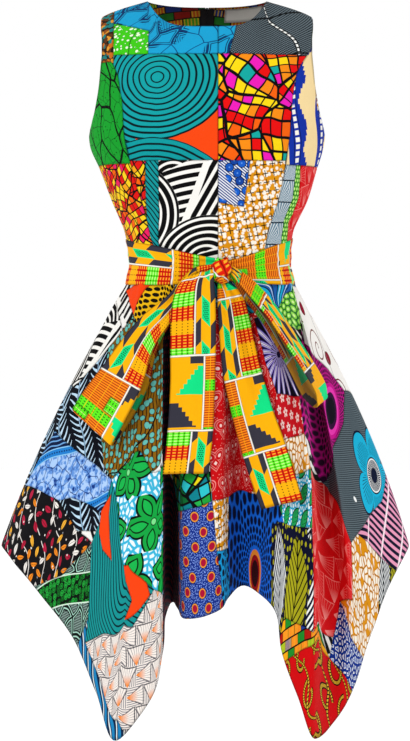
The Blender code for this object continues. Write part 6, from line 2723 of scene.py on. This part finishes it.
    def make(self) -> None:
        """Make the eight panels."""
        for back, where, patches, creases in (
            (False, "front", FRONT_PATCHES, FRONT_CREASES),
            (True, "back", BACK_PATCHES, BACK_CREASES),
        ):
            for hand, which in ((-1, "right"), (1, "left")):
                panel = Panel(hand, back)
                cloth = self.centre(panel).creased(creases)
                self.piece(f"bodice_{where}_centre_{which}", cloth, patches, f"patchwork_{where}")
                cloth = self.side(panel).creased(SIDE_CREASES)
                cut = SIDE_PATCHES[where, which]
                self.piece(f"bodice_{where}_side_{which}", cloth, cut, "patchwork_side")


# ---------------------------------------------------------------- the sash


class Kente:
    """Blocks of the sash's print along a strip, in centimetres of the strip.

    The first number runs across the strip, from -half to half, and the second along it.
    """

    half = 3.75
    line = 0.16

    @classmethod
    def dashes(cls, start: float, end: float, middle: float = 0.0, turned: bool = False) -> list[Patch]:
        """Dashes on one half and gold with green shapes on the other.

        Args:
            start: where the block starts along the strip.
            end: where it ends.
            middle: where its two halves meet across the strip.
            turned: whether the halves are swapped.

        Returns:
            Its patches.
        """
        patches = [
            Patch(Ink.KENTE_DIAMONDS, oblong(-cls.half - 1, start, cls.half + 1, end)),
            Patch(Ink.KENTE_DASHES, oblong(-cls.half - 1, start, middle, end)),
        ]
        if turned:
            patches[0] = Patch(Ink.KENTE_DASHES, patches[0].corners)
            patches[1] = Patch(Ink.KENTE_DIAMONDS, patches[1].corners)
        return patches + [cls.lengthwise(start, end, middle)]

    @classmethod
    def stairs(cls, start: float, end: float, middle: float = 2.0, turned: bool = False) -> list[Patch]:
        """Gold with stairs, and a column of hatched orange with a lime block.

        Args:
            start: where the block starts along the strip.
            end: where it ends.
            middle: where the column begins across the strip.
            turned: whether the column is on the other side.

        Returns:
            Its patches.
        """
        wide, narrow = (middle, cls.half + 1) if not turned else (-cls.half - 1, middle)
        patches = [
            Patch(Ink.KENTE_STAIRS, oblong(-cls.half - 1, start, cls.half + 1, end)),
            Patch(Ink.KENTE_HATCH, oblong(wide, start, narrow, end)),
        ]
        return patches + [cls.lengthwise(start, end, middle)]

    @classmethod
    def lengthwise(cls, start: float, end: float, middle: float) -> Patch:
        """A white line along the strip."""
        return Patch(Ink.KENTE_LINE, oblong(middle - cls.line, start, middle + cls.line, end))

    @classmethod
    def crosswise(cls, at: float) -> Patch:
        """A white line across the strip."""
        return Patch(Ink.KENTE_LINE, oblong(-cls.half - 1, at - cls.line, cls.half + 1, at + cls.line))


def doubled(patches: Sequence[Patch], tip: float) -> tuple[Patch, ...]:
    """The same blocks on both layers of a loop whose end is tip centimetres along it.

    Args:
        patches: the blocks of one layer.
        tip: where the loop turns.

    Returns:
        The patches of both layers.
    """
    over = [
        Patch(patch.ink, tuple((across, 2 * tip - along) for across, along in patch.corners))
        for patch in patches
    ]
    return (*over, *patches)


def resampled(table: Sequence[NamedTuple], rows: int) -> Array:
    """A table of crosswise lines, read smoothly at evenly spaced rows."""
    return smooth(np.arange(len(table)), np.array(table), np.linspace(0.0, len(table) - 1.0, rows))


def folds_across(cloth: Cloth, folds: Sequence[tuple[float, float, float]], fade: Array) -> Cloth:
    """Lay soft lengthwise folds in a strip.

    Args:
        cloth: the strip, its place being across and along it.
        folds: place across in centimetres, width in centimetres and rise in millimetres.
        fade: how much of the folds each row of the grid keeps.

    Returns:
        The strip with its folds.
    """
    across = cloth.place[..., 0] * 100
    wander = FOLD_WANDER * np.sin(cloth.place[..., 1] * FOLD_BEND)
    rise = sum(
        height / 1000 * np.exp(-(((across - at - wander) / width) ** 2)) for at, width, height in folds
    )
    return cloth.raised(rise * fade)


BAND_PATCHES = (
    Patch(Ink.KENTE_DIAMONDS, oblong(-9, -5, 9, 130)),
    Patch(Ink.KENTE_HATCH, oblong(-5, -3.0, 5, 9.3)),
    Patch(Ink.KENTE_LIME, oblong(-2.6, 1.6, 0.2, 3.6)),
    Patch(Ink.KENTE_DIAMONDS, oblong(-5, -3.0, -2.9, 9.3)),
    Kente.lengthwise(-3.0, 9.3, -2.9),
    Kente.crosswise(9.3),
    *Kente.stairs(9.46, 13.0, 5.0),
    Patch(Ink.KENTE_DASHES, oblong(-5, 9.46, -0.4, 13.0)),
    Kente.lengthwise(9.46, 13.0, -0.4),
    Kente.crosswise(13.0),
    *Kente.dashes(13.0, 24.0, -1.0, True),
    Kente.crosswise(24.0),
    *Kente.stairs(24.0, 34.0, -0.8, True),
    Kente.crosswise(34.0),
    *Kente.dashes(34.0, 45.0, 0.2),
    Kente.crosswise(45.0),
    *Kente.stairs(45.0, 51.5, 0.8),
    Kente.crosswise(51.5),
    *Kente.dashes(51.5, 62.3, -0.2),
    Kente.crosswise(62.3),
    Patch(Ink.KENTE_DASHES, oblong(-5, 62.46, 5, 66.4)),
    Patch(Ink.KENTE_STAIRS, oblong(-5, 66.4, 5, 69.0)),
    Kente.crosswise(69.0),
    Patch(Ink.KENTE_HATCH, oblong(-5, 69.16, 5, 130.0)),
)
RIGHT_TAIL_PATCHES = (
    *Kente.dashes(-13.0, 1.0, 0.3),
    Kente.crosswise(-0.9),
    Kente.crosswise(-13.0),
    *Kente.stairs(-24.6, -13.16, 1.9),
    Kente.crosswise(-24.6),
    *Kente.dashes(-45.0, -24.76, 0.3),
)
LEFT_TAIL_PATCHES = (
    *Kente.stairs(-2.6, 1.0, -1.2, True),
    Kente.crosswise(-2.6),
    *Kente.dashes(-15.0, -2.76, -0.2, True),
    Kente.crosswise(-15.0),
    *Kente.stairs(-27.0, -15.16, -1.6, True),
    Kente.crosswise(-27.0),
    *Kente.dashes(-45.0, -27.16, -0.2, True),
)
RIGHT_LOOP_PATCHES = doubled(
    (
        *Kente.dashes(-60.0, -40.5, 0.4, True),
        *Kente.stairs(-40.5, -30.0, 5.0),
        Patch(Ink.KENTE_HATCH, oblong(-5, -40.5, 2.0, -30.0)),
        Patch(Ink.KENTE_LIME, oblong(-5, -33.2, -1.4, -31.8)),
        Patch(Ink.KENTE_LIME, oblong(0.2, -37.4, 1.84, -35.0)),
        Patch(Ink.KENTE_LIME, oblong(-2.2, -30.9, 2.0, -30.0)),
        Kente.lengthwise(-40.5, -30.0, 2.0),
        Kente.crosswise(-40.5),
    ),
    -30.0,
)
LEFT_LOOP_PATCHES = doubled(
    (
        Patch(Ink.KENTE_DIAMONDS, oblong(-5, -16.5, 5, 1.0)),
        Patch(Ink.KENTE_DASHES, oblong(-5, -16.5, -1.6, -4.1)),
        Kente.lengthwise(-16.5, -4.1, -1.6),
        Patch(Ink.KENTE_HATCH, oblong(-5, -4.1, 5, 1.0)),
        Kente.crosswise(-4.1),
        *Kente.stairs(-24.5, -16.5, 5.0),
        Kente.crosswise(-16.5),
    ),
    -24.0,
)
KNOT_PATCHES = (
    Patch(Ink.KENTE_DASHES, oblong(-12, -12, 12, 12), 24, 1.3, (0.2, 0.2)),
    Patch(Ink.KENTE_HATCH, ((-12, -12), (12, -12), (12, -1.3), (1.6, -1.3), (-1.9, 0.3), (-12, 0.3)), 24),
    Patch(Ink.KENTE_LINE, ((-2.0, 0.35), (1.65, -1.30), (1.55, -1.50), (-2.1, 0.15))),
)


Folds = tuple[tuple[float, float, float], ...]


@dataclass
class Sash:
    """The sash: its band round the waist, its knot, two loops and two hanging ends.

    Each fold is its place across the strip and its width, in centimetres, and its rise in
    millimetres. A fade is over what share of a strip its folds die out, and what is left
    of them. Each ridge of the knot is its height, how often it goes round and down the
    knot, and where it starts. gather_reach is in degrees round the waist.
    """

    width: float = 0.075
    gap: float = 0.0011
    band_lines: int = 260
    band_rows: int = 26
    tail_rows: int = 90
    tail_columns: int = 26
    loop_rows: int = 46
    loop_turns: int = 9
    loop_columns: int = 22
    knot_centre: tuple[float, float, float] = (0.0225, -0.1088, -0.4075)
    knot_radii: tuple[float, float, float] = (0.0142, 0.0140, 0.0195)
    knot_squareness: float = 0.8
    knot_steps: tuple[int, int] = (34, 60)
    knot_span: tuple[float, float] = (0.10, 0.90)
    knot_cloth: tuple[float, float] = (0.0115, 0.0150)
    knot_ridges: tuple[tuple[float, float, float, float], ...] = (
        (0.08, 2.0, 7.0, 0.0), (0.06, 3.0, 13.0, 1.0)
    )
    gather_reach: float = 46.0
    tight_folds: Folds = (
        (-2.9, 0.42, 1.6), (-1.9, 0.34, -1.2), (-1.0, 0.40, 1.9), (0.1, 0.36, -1.3),
        (1.0, 0.42, 1.8), (2.0, 0.34, -1.2), (2.9, 0.40, 1.5),
    )
    slack_folds: Folds = ((-2.3, 0.5, 0.7), (-0.7, 0.6, -0.7), (0.9, 0.5, 0.8), (2.3, 0.5, -0.6))
    tail_folds: Folds = (
        (-2.6, 0.55, 1.3), (-1.2, 0.6, -1.6), (0.3, 0.55, 1.7), (1.7, 0.6, -1.3), (2.9, 0.5, 1.2),
    )
    tail_waves: Folds = ((-0.6, 1.4, 1.8), (2.2, 1.0, -1.2))
    tail_fade: tuple[float, float] = (0.42, 0.18)
    tail_wave_rise: float = 1.6
    loop_fade: tuple[float, float] = (0.5, 0.15)
    loop_folds: Folds = (
        (-2.6, 0.5, 1.2), (-1.3, 0.55, -1.3), (0.2, 0.5, 1.4), (1.5, 0.55, -1.2), (2.8, 0.5, 1.0),
    )

    def strip(self, points: Array, along: float = -1.0) -> Cloth:
        """A strip of the sash from its grid, rows running along it.

        Args:
            points: the grid.
            along: 1 or -1, the way that it is measured.

        Returns:
            The strip's grids.
        """
        normals = grid_normals(points)
        run = lengths(points, axis=0).mean(axis=1, keepdims=True) * along
        across = np.linspace(-0.5, 0.5, points.shape[1])[None] * self.width
        flat = np.stack(np.broadcast_arrays(across, run), axis=-1)
        return Cloth(points, normals, flat, flat.copy())

    def dress(self, name: str, cloth: Cloth, patches: Sequence[Patch], held: str, on: str) -> None:
        """Args:
            name: name of the piece.
            cloth: its grids.
            patches: its patches.
            held: not used.
            on: not used.
        """
        piece = Dresser(patches, SASH_CLOTH).make(name + "_cloth", cloth, "kente_print")
        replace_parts(piece, name)
        measured(cloth)

    def band(self) -> None:
        """Make the band round the waist, gathered towards the knot."""
        turns = np.linspace(BAND[0].turn, BAND[-1].turn, self.band_lines)
        top = smooth(column(BAND, "turn"), column(BAND, "top"), turns)
        foot = smooth(column(BAND, "turn"), column(BAND, "foot"), turns)
        share = np.linspace(0.0, 1.0, self.band_rows)[None]
        levels = foot[:, None] + (top - foot)[:, None] * share
        points = BodyForm.point(turns[:, None], levels)
        cloth = self.strip(points, 1.0)
        cloth.normals = facing_out(points, cloth.normals)
        cloth = cloth.raised(np.full(points.shape[:2], self.gap + SASH_CLOTH))
        near = np.minimum(turns - BAND[0].turn, BAND[-1].turn - turns)
        gathered = np.exp(-((near / self.gather_reach) ** 2))[:, None]
        cloth = folds_across(cloth, self.tight_folds, gathered)
        cloth = folds_across(cloth, self.slack_folds, 1 - gathered)
        self.dress("sash_band", cloth, BAND_PATCHES, "gathered", "bodice_front_centre_left")

    def tail(self, name: str, table: Sequence[Strip], patches: Sequence[Patch]) -> None:
        """Make a hanging end.

        Args:
            name: the end's name.
            table: its crosswise lines, from the knot down.
            patches: its patches.
        """
        lines = resampled(table, self.tail_rows)
        share = np.linspace(0.0, 1.0, self.tail_columns)[None, :, None]
        cloth = self.strip(lines[:, None, :3] * (1 - share) + lines[:, None, 3:] * share)
        cloth.normals = cloth.normals * np.sign(-cloth.normals[..., 1:2])
        down = np.linspace(0.0, 1.0, self.tail_rows)[:, None]
        reach, kept = self.tail_fade
        cloth = folds_across(cloth, self.tail_folds, np.exp(-((down / reach) ** 2)) + kept)
        cloth = folds_across(cloth, self.tail_waves, ease(down * self.tail_wave_rise))
        self.dress(name, cloth, patches, "hung", "sash_knot")

    def loop(self, name: str, table: Sequence[Bight], patches: Sequence[Patch]) -> None:
        """Make a loop: the strip goes out, turns round at the end and comes back.

        Args:
            name: the loop's name.
            table: its crosswise lines, from the knot out.
            patches: its patches.
        """
        lines = resampled(table, self.loop_rows)
        near, far, opening = lines[:, :3], lines[:, 3:6], lines[:, 6]
        along = unit(np.gradient((near + far) / 2, axis=0))
        apart = unit(np.cross(along, unit(far - near)))
        offset = apart * opening[:, None] / 2
        rows = [(near - offset, far - offset)]
        turn = (math.pi * np.arange(1, self.loop_turns) / self.loop_turns)[:, None]
        shift = (along[-1] * np.sin(turn) - apart[-1] * np.cos(turn)) * opening[-1] / 2
        rows.append((near[-1] + shift, far[-1] + shift))
        rows.append(((near + offset)[::-1], (far + offset)[::-1]))
        first = np.concatenate([pair[0] for pair in rows])
        last = np.concatenate([pair[1] for pair in rows])
        share = np.linspace(0.0, 1.0, self.loop_columns)[None, :, None]
        cloth = self.strip(first[:, None] * (1 - share) + last[:, None] * share)
        inward = (cloth.normals[: len(lines)] * apart[:, None]).sum()
        cloth.normals = cloth.normals * -np.sign(inward)
        down = np.linspace(-1.0, 1.0, len(first))[:, None]
        reach, kept = self.loop_fade
        fade = np.exp(-(((1 - abs(down)) / reach) ** 2)) + kept
        cloth = folds_across(cloth, self.loop_folds, fade)
        self.dress(name, cloth, patches, "folded", "sash_knot")

    def knot(self) -> None:
        """Make the knot, cloth wound round itself."""
        rows, columns = self.knot_steps
        dip = np.linspace(*self.knot_span, rows)[:, None] * math.pi
        turn = np.linspace(-1.0, 1.0, columns)[None] * math.pi
        ridge = sum(
            height * np.cos(turn * round_it + dip * down + start)
            for height, round_it, down, start in self.knot_ridges
        )
        side, front = np.sin(dip) * np.sin(turn), -np.sin(dip) * np.cos(turn)
        shape = np.stack(np.broadcast_arrays(side, front, np.cos(dip)), axis=-1)
        square = np.sign(shape) * np.abs(shape) ** self.knot_squareness
        radii = np.array(self.knot_radii) * (1 + ridge[..., None])
        points = square * radii + np.array(self.knot_centre)
        normals = grid_normals(points)
        outward = points - np.array(self.knot_centre)
        normals = normals * np.sign((normals * outward).sum(axis=-1, keepdims=True))
        around, down = self.knot_cloth
        flat = np.stack(np.broadcast_arrays(turn * around, -(dip - math.pi / 2) * down), axis=-1)
        cloth = Cloth(points, normals, flat, flat.copy())
        self.dress("sash_knot", cloth, KNOT_PATCHES, "folded", "sash_band")

    def make(self) -> None:
        """Make every piece of the sash."""
        self.band()
        self.tail("sash_tail_right", RIGHT_TAIL, RIGHT_TAIL_PATCHES)
        self.tail("sash_tail_left", LEFT_TAIL, LEFT_TAIL_PATCHES)
        self.loop("bow_loop_right", RIGHT_LOOP, RIGHT_LOOP_PATCHES)
        self.loop("bow_loop_left", LEFT_LOOP, LEFT_LOOP_PATCHES)
        self.knot()


# ---------------------------------------------------------------- zip and label


@dataclass
class Zip:
    """The closed centre back zip: two tapes inside the back and coil teeth in the slot.

    tooth_rings are the rings that a tooth is made of, each with its place along the tooth
    and its thickness, as shares of the tooth's own.
    """

    tape_width: float = 0.0108
    tape_depth: float = 0.0016
    tape_cloth: float = 0.0005
    start: float = 0.002
    end_level: float = 0.185
    tooth_pitch: float = 0.00125
    tooth_radius: float = 0.00052
    tooth_length: float = 0.0040
    tooth_depth: float = 0.0007
    tooth_shift: float = 0.0002
    tooth_rings: tuple[tuple[float, float], ...] = ((-0.5, 0.6), (-0.38, 1.0), (0.38, 1.0), (0.5, 0.6))
    sides: int = 8
    tape_gap: float = 0.0002
    tape_columns: int = 7
    tape_step: int = 6

    def spine(self, back: Cloth, skirt: Cloth, seam: int, head: int, levels: Array) -> Array:
        """The centre back line from the neck to the zip's end, in even steps.

        Args:
            back: the left back panel.
            skirt: the whole skirt.
            seam: the skirt's centre back line.
            head: rows of the skirt above the band's foot.
            levels: the skirt's levels below it.

        Returns:
            Points along the line.
        """
        body = back.points[::-1, 0]
        rows = head + int(np.searchsorted(levels, self.end_level, side="right"))
        line = np.concatenate([body, skirt.points[1:rows, seam]])
        line[:, 0] = 0.0
        length = lengths(line, axis=0)
        at = np.arange(self.start, length[-1], self.tooth_pitch)
        return np.stack([np.interp(at, length, line[:, axis]) for axis in range(3)], axis=1)

    @staticmethod
    def outward(spine: Array) -> Array:
        """Direction out of the back at each point of the line."""
        way = unit(np.cross(np.gradient(spine, axis=0), np.array([1.0, 0.0, 0.0])))
        return way * np.sign(way[:, 1:2])

    def tape(self, name: str, hand: int, spine: Array, out: Array) -> None:
        """Make one tape.

        Args:
            name: the tape's name.
            hand: -1 for the right tape, 1 for the left.
            spine: the zip line.
            out: direction out of the back along it.
        """
        across = np.linspace(self.tape_gap, self.tape_width, self.tape_columns) * hand
        line = (spine - out * self.tape_depth)[:: self.tape_step]
        points = np.repeat(line[:, None], len(across), axis=1)
        points[..., 0] = across[None]
        normals = np.repeat(out[:: self.tape_step, None], len(across), axis=1)
        run = lengths(line, axis=0)[:, None]
        flat = np.stack(np.broadcast_arrays(across[None], -run), axis=-1)
        cloth = Cloth(points, normals, flat, flat.copy())
        patches = (Patch(Ink.TAPE_TWILL, oblong(-2, -90, 2, 1)),)
        piece = Dresser(patches, self.tape_cloth).make(name + "_cloth", cloth, "zip_tape")
        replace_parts(piece, name)
        measured(cloth)

    def coil(self, spine: Array, out: Array) -> None:
        """Make the teeth, one small rounded bar for each.

        Args:
            spine: the zip line.
            out: direction out of the back along it.
        """
        turn = 2 * math.pi * np.arange(self.sides) / self.sides
        vertices, faces = [], []
        for number, (at, way) in enumerate(zip(spine[:-1], out)):
            down = np.cross(way, np.array([1.0, 0.0, 0.0]))
            middle = at - way * self.tooth_depth
            ring = middle + self.tooth_radius * (
                np.cos(turn)[:, None] * way + np.sin(turn)[:, None] * down
            )
            shift = self.tooth_shift * (1 if number % 2 else -1)
            first = len(vertices)
            for end, thin in self.tooth_rings:
                bar = middle + (ring - middle) * thin
                bar[:, 0] = end * self.tooth_length + shift
                vertices.extend(bar.tolist())
            last = first + (len(self.tooth_rings) - 1) * self.sides
            for start in range(first, last, self.sides):
                for side in range(self.sides):
                    here, after = start + side, start + (side + 1) % self.sides
                    faces.append((here, after, after + self.sides, here + self.sides))
            faces.append(tuple(first + side for side in reversed(range(self.sides))))
            faces.append(tuple(last + side for side in range(self.sides)))
        mesh = bpy.data.meshes.new("zip_coil_teeth")
        mesh.from_pydata(vertices, [], faces)
        bm = bmesh.new()
        bm.from_mesh(mesh)
        bmesh.ops.recalc_face_normals(bm, faces=bm.faces[:])
        bm.to_mesh(mesh)
        bm.free()
        mesh.shade_smooth()
        mesh.materials.append(METAL.plastic())
        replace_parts(place_piece("zip_coil_teeth", mesh), "zip_coil")

    def make(self, back: Cloth, skirt: Cloth, seam: int, head: int, levels: Array) -> None:
        """Make tapes and teeth, and finish the slider and its tab.

        Args:
            back: the left back panel.
            skirt: the whole skirt.
            seam: the skirt's centre back line.
            head: rows of the skirt above the band's foot.
            levels: the skirt's levels below it.
        """
        spine = self.spine(back, skirt, seam, head, levels)
        out = self.outward(spine)
        self.tape("zip_tape_left", 1, spine, out)
        self.tape("zip_tape_right", -1, spine, out)
        self.coil(spine, out)
        for name in ("zip_slider", "zip_pull_tab"):
            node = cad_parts[name]
            node.data.materials.clear()
            node.data.materials.append(METAL.metal())
            LOG.info("%s: brushed metal", name)


@dataclass(frozen=True)
class Metal:
    """Finish of the slider and its tab, and of the teeth."""

    colour: str = "8C8C90"
    shades: tuple[float, float] = (0.80, 1.12)
    roughness: tuple[float, float] = (0.24, 0.50)
    scratch_scale: float = 900.0
    scratch_detail: float = 3.0
    teeth_colour: str = "15171C"
    teeth_shades: tuple[float, float] = (0.7, 1.4)
    teeth_roughness: float = 0.42
    cloud_scale: float = 300.0
    cloud_detail: float = 2.0

    @staticmethod
    def spread(
        work: NodeWork, value: bpy.types.NodeSocket, ends: tuple[float, float]
    ) -> bpy.types.NodeSocket:
        """Spread a number from 0 to 1 between two ends."""
        inputs = {"Value": value, "To Min": ends[0], "To Max": ends[1]}
        return work.node("ShaderNodeMapRange", inputs).outputs[0]

    @classmethod
    def clouded(
        cls, name: str, colour: str, shades: tuple[float, float], scale: float, detail: float
    ) -> tuple[NodeWork, bpy.types.NodeSocket]:
        """Start a material whose colour is lighter and darker in small clouds.

        Args:
            name: name of the material.
            colour: its colour, in hex.
            shades: how dark and how light it gets.
            scale: how fine the clouds are.
            detail: how many finer clouds lie in them.

        Returns:
            The material's nodes, and the clouds' socket.
        """
        work = NodeWork(name)
        place = work.node("ShaderNodeTexCoord").outputs["Object"]
        inputs = {"Vector": place, "Scale": scale, "Detail": detail}
        cloud = work.node("ShaderNodeTexNoise", inputs).outputs["Fac"]
        value = cls.spread(work, cloud, shades)
        shade = work.node("ShaderNodeHueSaturation", {"Color": hue(colour), "Value": value})
        work.feed(work.shader, {"Base Color": shade.outputs[0]})
        return work, cloud

    def metal(self) -> bpy.types.Material:
        """Brushed metal with fine scratches.

        Returns:
            The material.
        """
        work, cloud = self.clouded(
            "zip_metal_brushed", self.colour, self.shades, self.scratch_scale, self.scratch_detail
        )
        rough = self.spread(work, cloud, self.roughness)
        work.feed(work.shader, {"Metallic": 1.0, "Roughness": rough})
        return work.material

    def plastic(self) -> bpy.types.Material:
        """Dull dark nylon of the teeth.

        Returns:
            The material.
        """
        work, _ = self.clouded(
            "zip_teeth_nylon", self.teeth_colour, self.teeth_shades, self.cloud_scale, self.cloud_detail
        )
        work.feed(work.shader, {"Roughness": self.teeth_roughness})
        return work.material


METAL = Metal()


@dataclass
class NeckLabel:
    """The bare label inside the back neck, beside the zip."""

    across: tuple[float, float] = (0.13, 0.47)
    up: tuple[float, float] = (0.70, 0.985)
    depth: float = 0.0019
    thickness: float = 0.0005

    def make(self, bodice: Bodice, back: Cloth) -> None:
        """Make the label on the panel's own points.

        Args:
            bodice: the bodice.
            back: its left back panel.
        """
        across = spaced(*bodice.centre_columns)
        up = spaced(*bodice.upper_rows)
        columns = np.flatnonzero((across >= self.across[0]) & (across <= self.across[1]))
        rows = np.flatnonzero((up >= self.up[0]) & (up <= self.up[1]))
        rows = rows + back.points.shape[0] - len(up)
        picked = np.ix_(rows, columns)
        points, normals = back.points[picked], back.normals[picked]
        flat = back.flat[picked]
        cloth = Cloth(points - normals * self.depth, normals, flat, flat.copy())
        patches = (Patch(Ink.BARE_LABEL, oblong(-50, -90, 50, 50)),)
        # The label's inner face gets no painted shade.
        piece = Dresser(patches, self.thickness, inside_shade=0.0).make("neck_label_cloth", cloth, "label_cloth")
        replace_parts(piece, "neck_label")
        measured(cloth)


# ---------------------------------------------------------------- the studio


@dataclass
class Studio:
    """Pale floor in a white room, soft lights and the camera.

    key and back are the two lights, each with its place, its size and its power, and
    middle is the point of the dress that they face.
    """

    floor_z: float = -1.75
    floor_half: float = 40.0
    floor_white: tuple[float, float, float, float] = (0.93, 0.93, 0.93, 1.0)
    floor_roughness: float = 0.9
    floor_glow: float = 0.12
    white: tuple[float, float, float, float] = (1.0, 1.0, 1.0, 1.0)
    room_strength: float = 1.0
    middle: tuple[float, float, float] = (0.0, 0.0, -0.5)
    key: tuple[tuple[float, float, float], float, float] = ((-2.2, -4.2, 2.2), 1.2, 62.0)
    back: tuple[tuple[float, float, float], float, float] = ((2.4, 4.2, 1.6), 1.8, 30.0)
    camera_at: tuple[float, float, float] = (-0.0031, -6.0, -0.5597)
    lens: float = 188.05
    sensor: float = 36.0

    def floor(self) -> None:
        """Make the floor."""
        half, z = self.floor_half, self.floor_z
        mesh = bpy.data.meshes.new("studio_floor")
        corners = [(-half, -half, z), (half, -half, z), (half, half, z), (-half, half, z)]
        mesh.from_pydata(corners, [], [(0, 1, 2, 3)])
        work = NodeWork("studio_white")
        work.feed(
            work.shader,
            {
                "Base Color": self.floor_white,
                "Roughness": self.floor_roughness,
                "Emission Color": self.white,
                "Emission Strength": self.floor_glow,
            },
        )
        mesh.materials.append(work.material)
        floor = bpy.data.objects.new("studio_floor", mesh)
        bpy.context.scene.collection.objects.link(floor)

    def light(self, name: str, at: tuple[float, float, float], size: float, power: float) -> None:
        """Hang one large soft light that faces the dress.

        Args:
            name: the light's name.
            at: its place.
            size: length of its side.
            power: its power, in watts.
        """
        lamp = bpy.data.lights.new(name, "AREA")
        lamp.shape = "SQUARE"
        lamp.size = size
        lamp.energy = power
        made = bpy.data.objects.new(name, lamp)
        made.location = at
        aim = Vector(self.middle) - Vector(at)
        made.rotation_euler = aim.to_track_quat("-Z", "Y").to_euler()
        bpy.context.scene.collection.objects.link(made)

    def make(self) -> None:
        """Make the whole studio."""
        self.floor()
        world = bpy.data.worlds.new("studio_world")
        world.use_nodes = True
        room = world.node_tree.nodes["Background"]
        room.inputs["Color"].default_value = self.white
        room.inputs["Strength"].default_value = self.room_strength
        bpy.context.scene.world = world
        self.light("key", *self.key)
        self.light("back", *self.back)
        camera = bpy.data.cameras.new("camera")
        camera.sensor_fit = "VERTICAL"
        camera.sensor_height = self.sensor
        camera.lens = self.lens
        made = bpy.data.objects.new("camera", camera)
        made.location = self.camera_at
        made.rotation_euler = (math.radians(90), 0.0, 0.0)
        bpy.context.scene.collection.objects.link(made)
        scene = bpy.context.scene
        scene.camera = made
        scene.view_settings.view_transform = "Standard"


# ---------------------------------------------------------------- the whole dress


def main() -> None:
    """Build every piece, then the studio."""
    bodice, skirt, sash, closure = Bodice(), Skirt(), Sash(), Zip()
    bodice.make()
    skirt.make()
    sash.make()
    cloth, seams = skirt.cloth()
    back = bodice.centre(Panel(1, True))
    closure.make(back, cloth, seams["back_seam"], skirt.head_rows, spaced(*skirt.level_steps))
    NeckLabel().make(bodice, back)
    Studio().make()


if __name__ == "__main__":
    main()
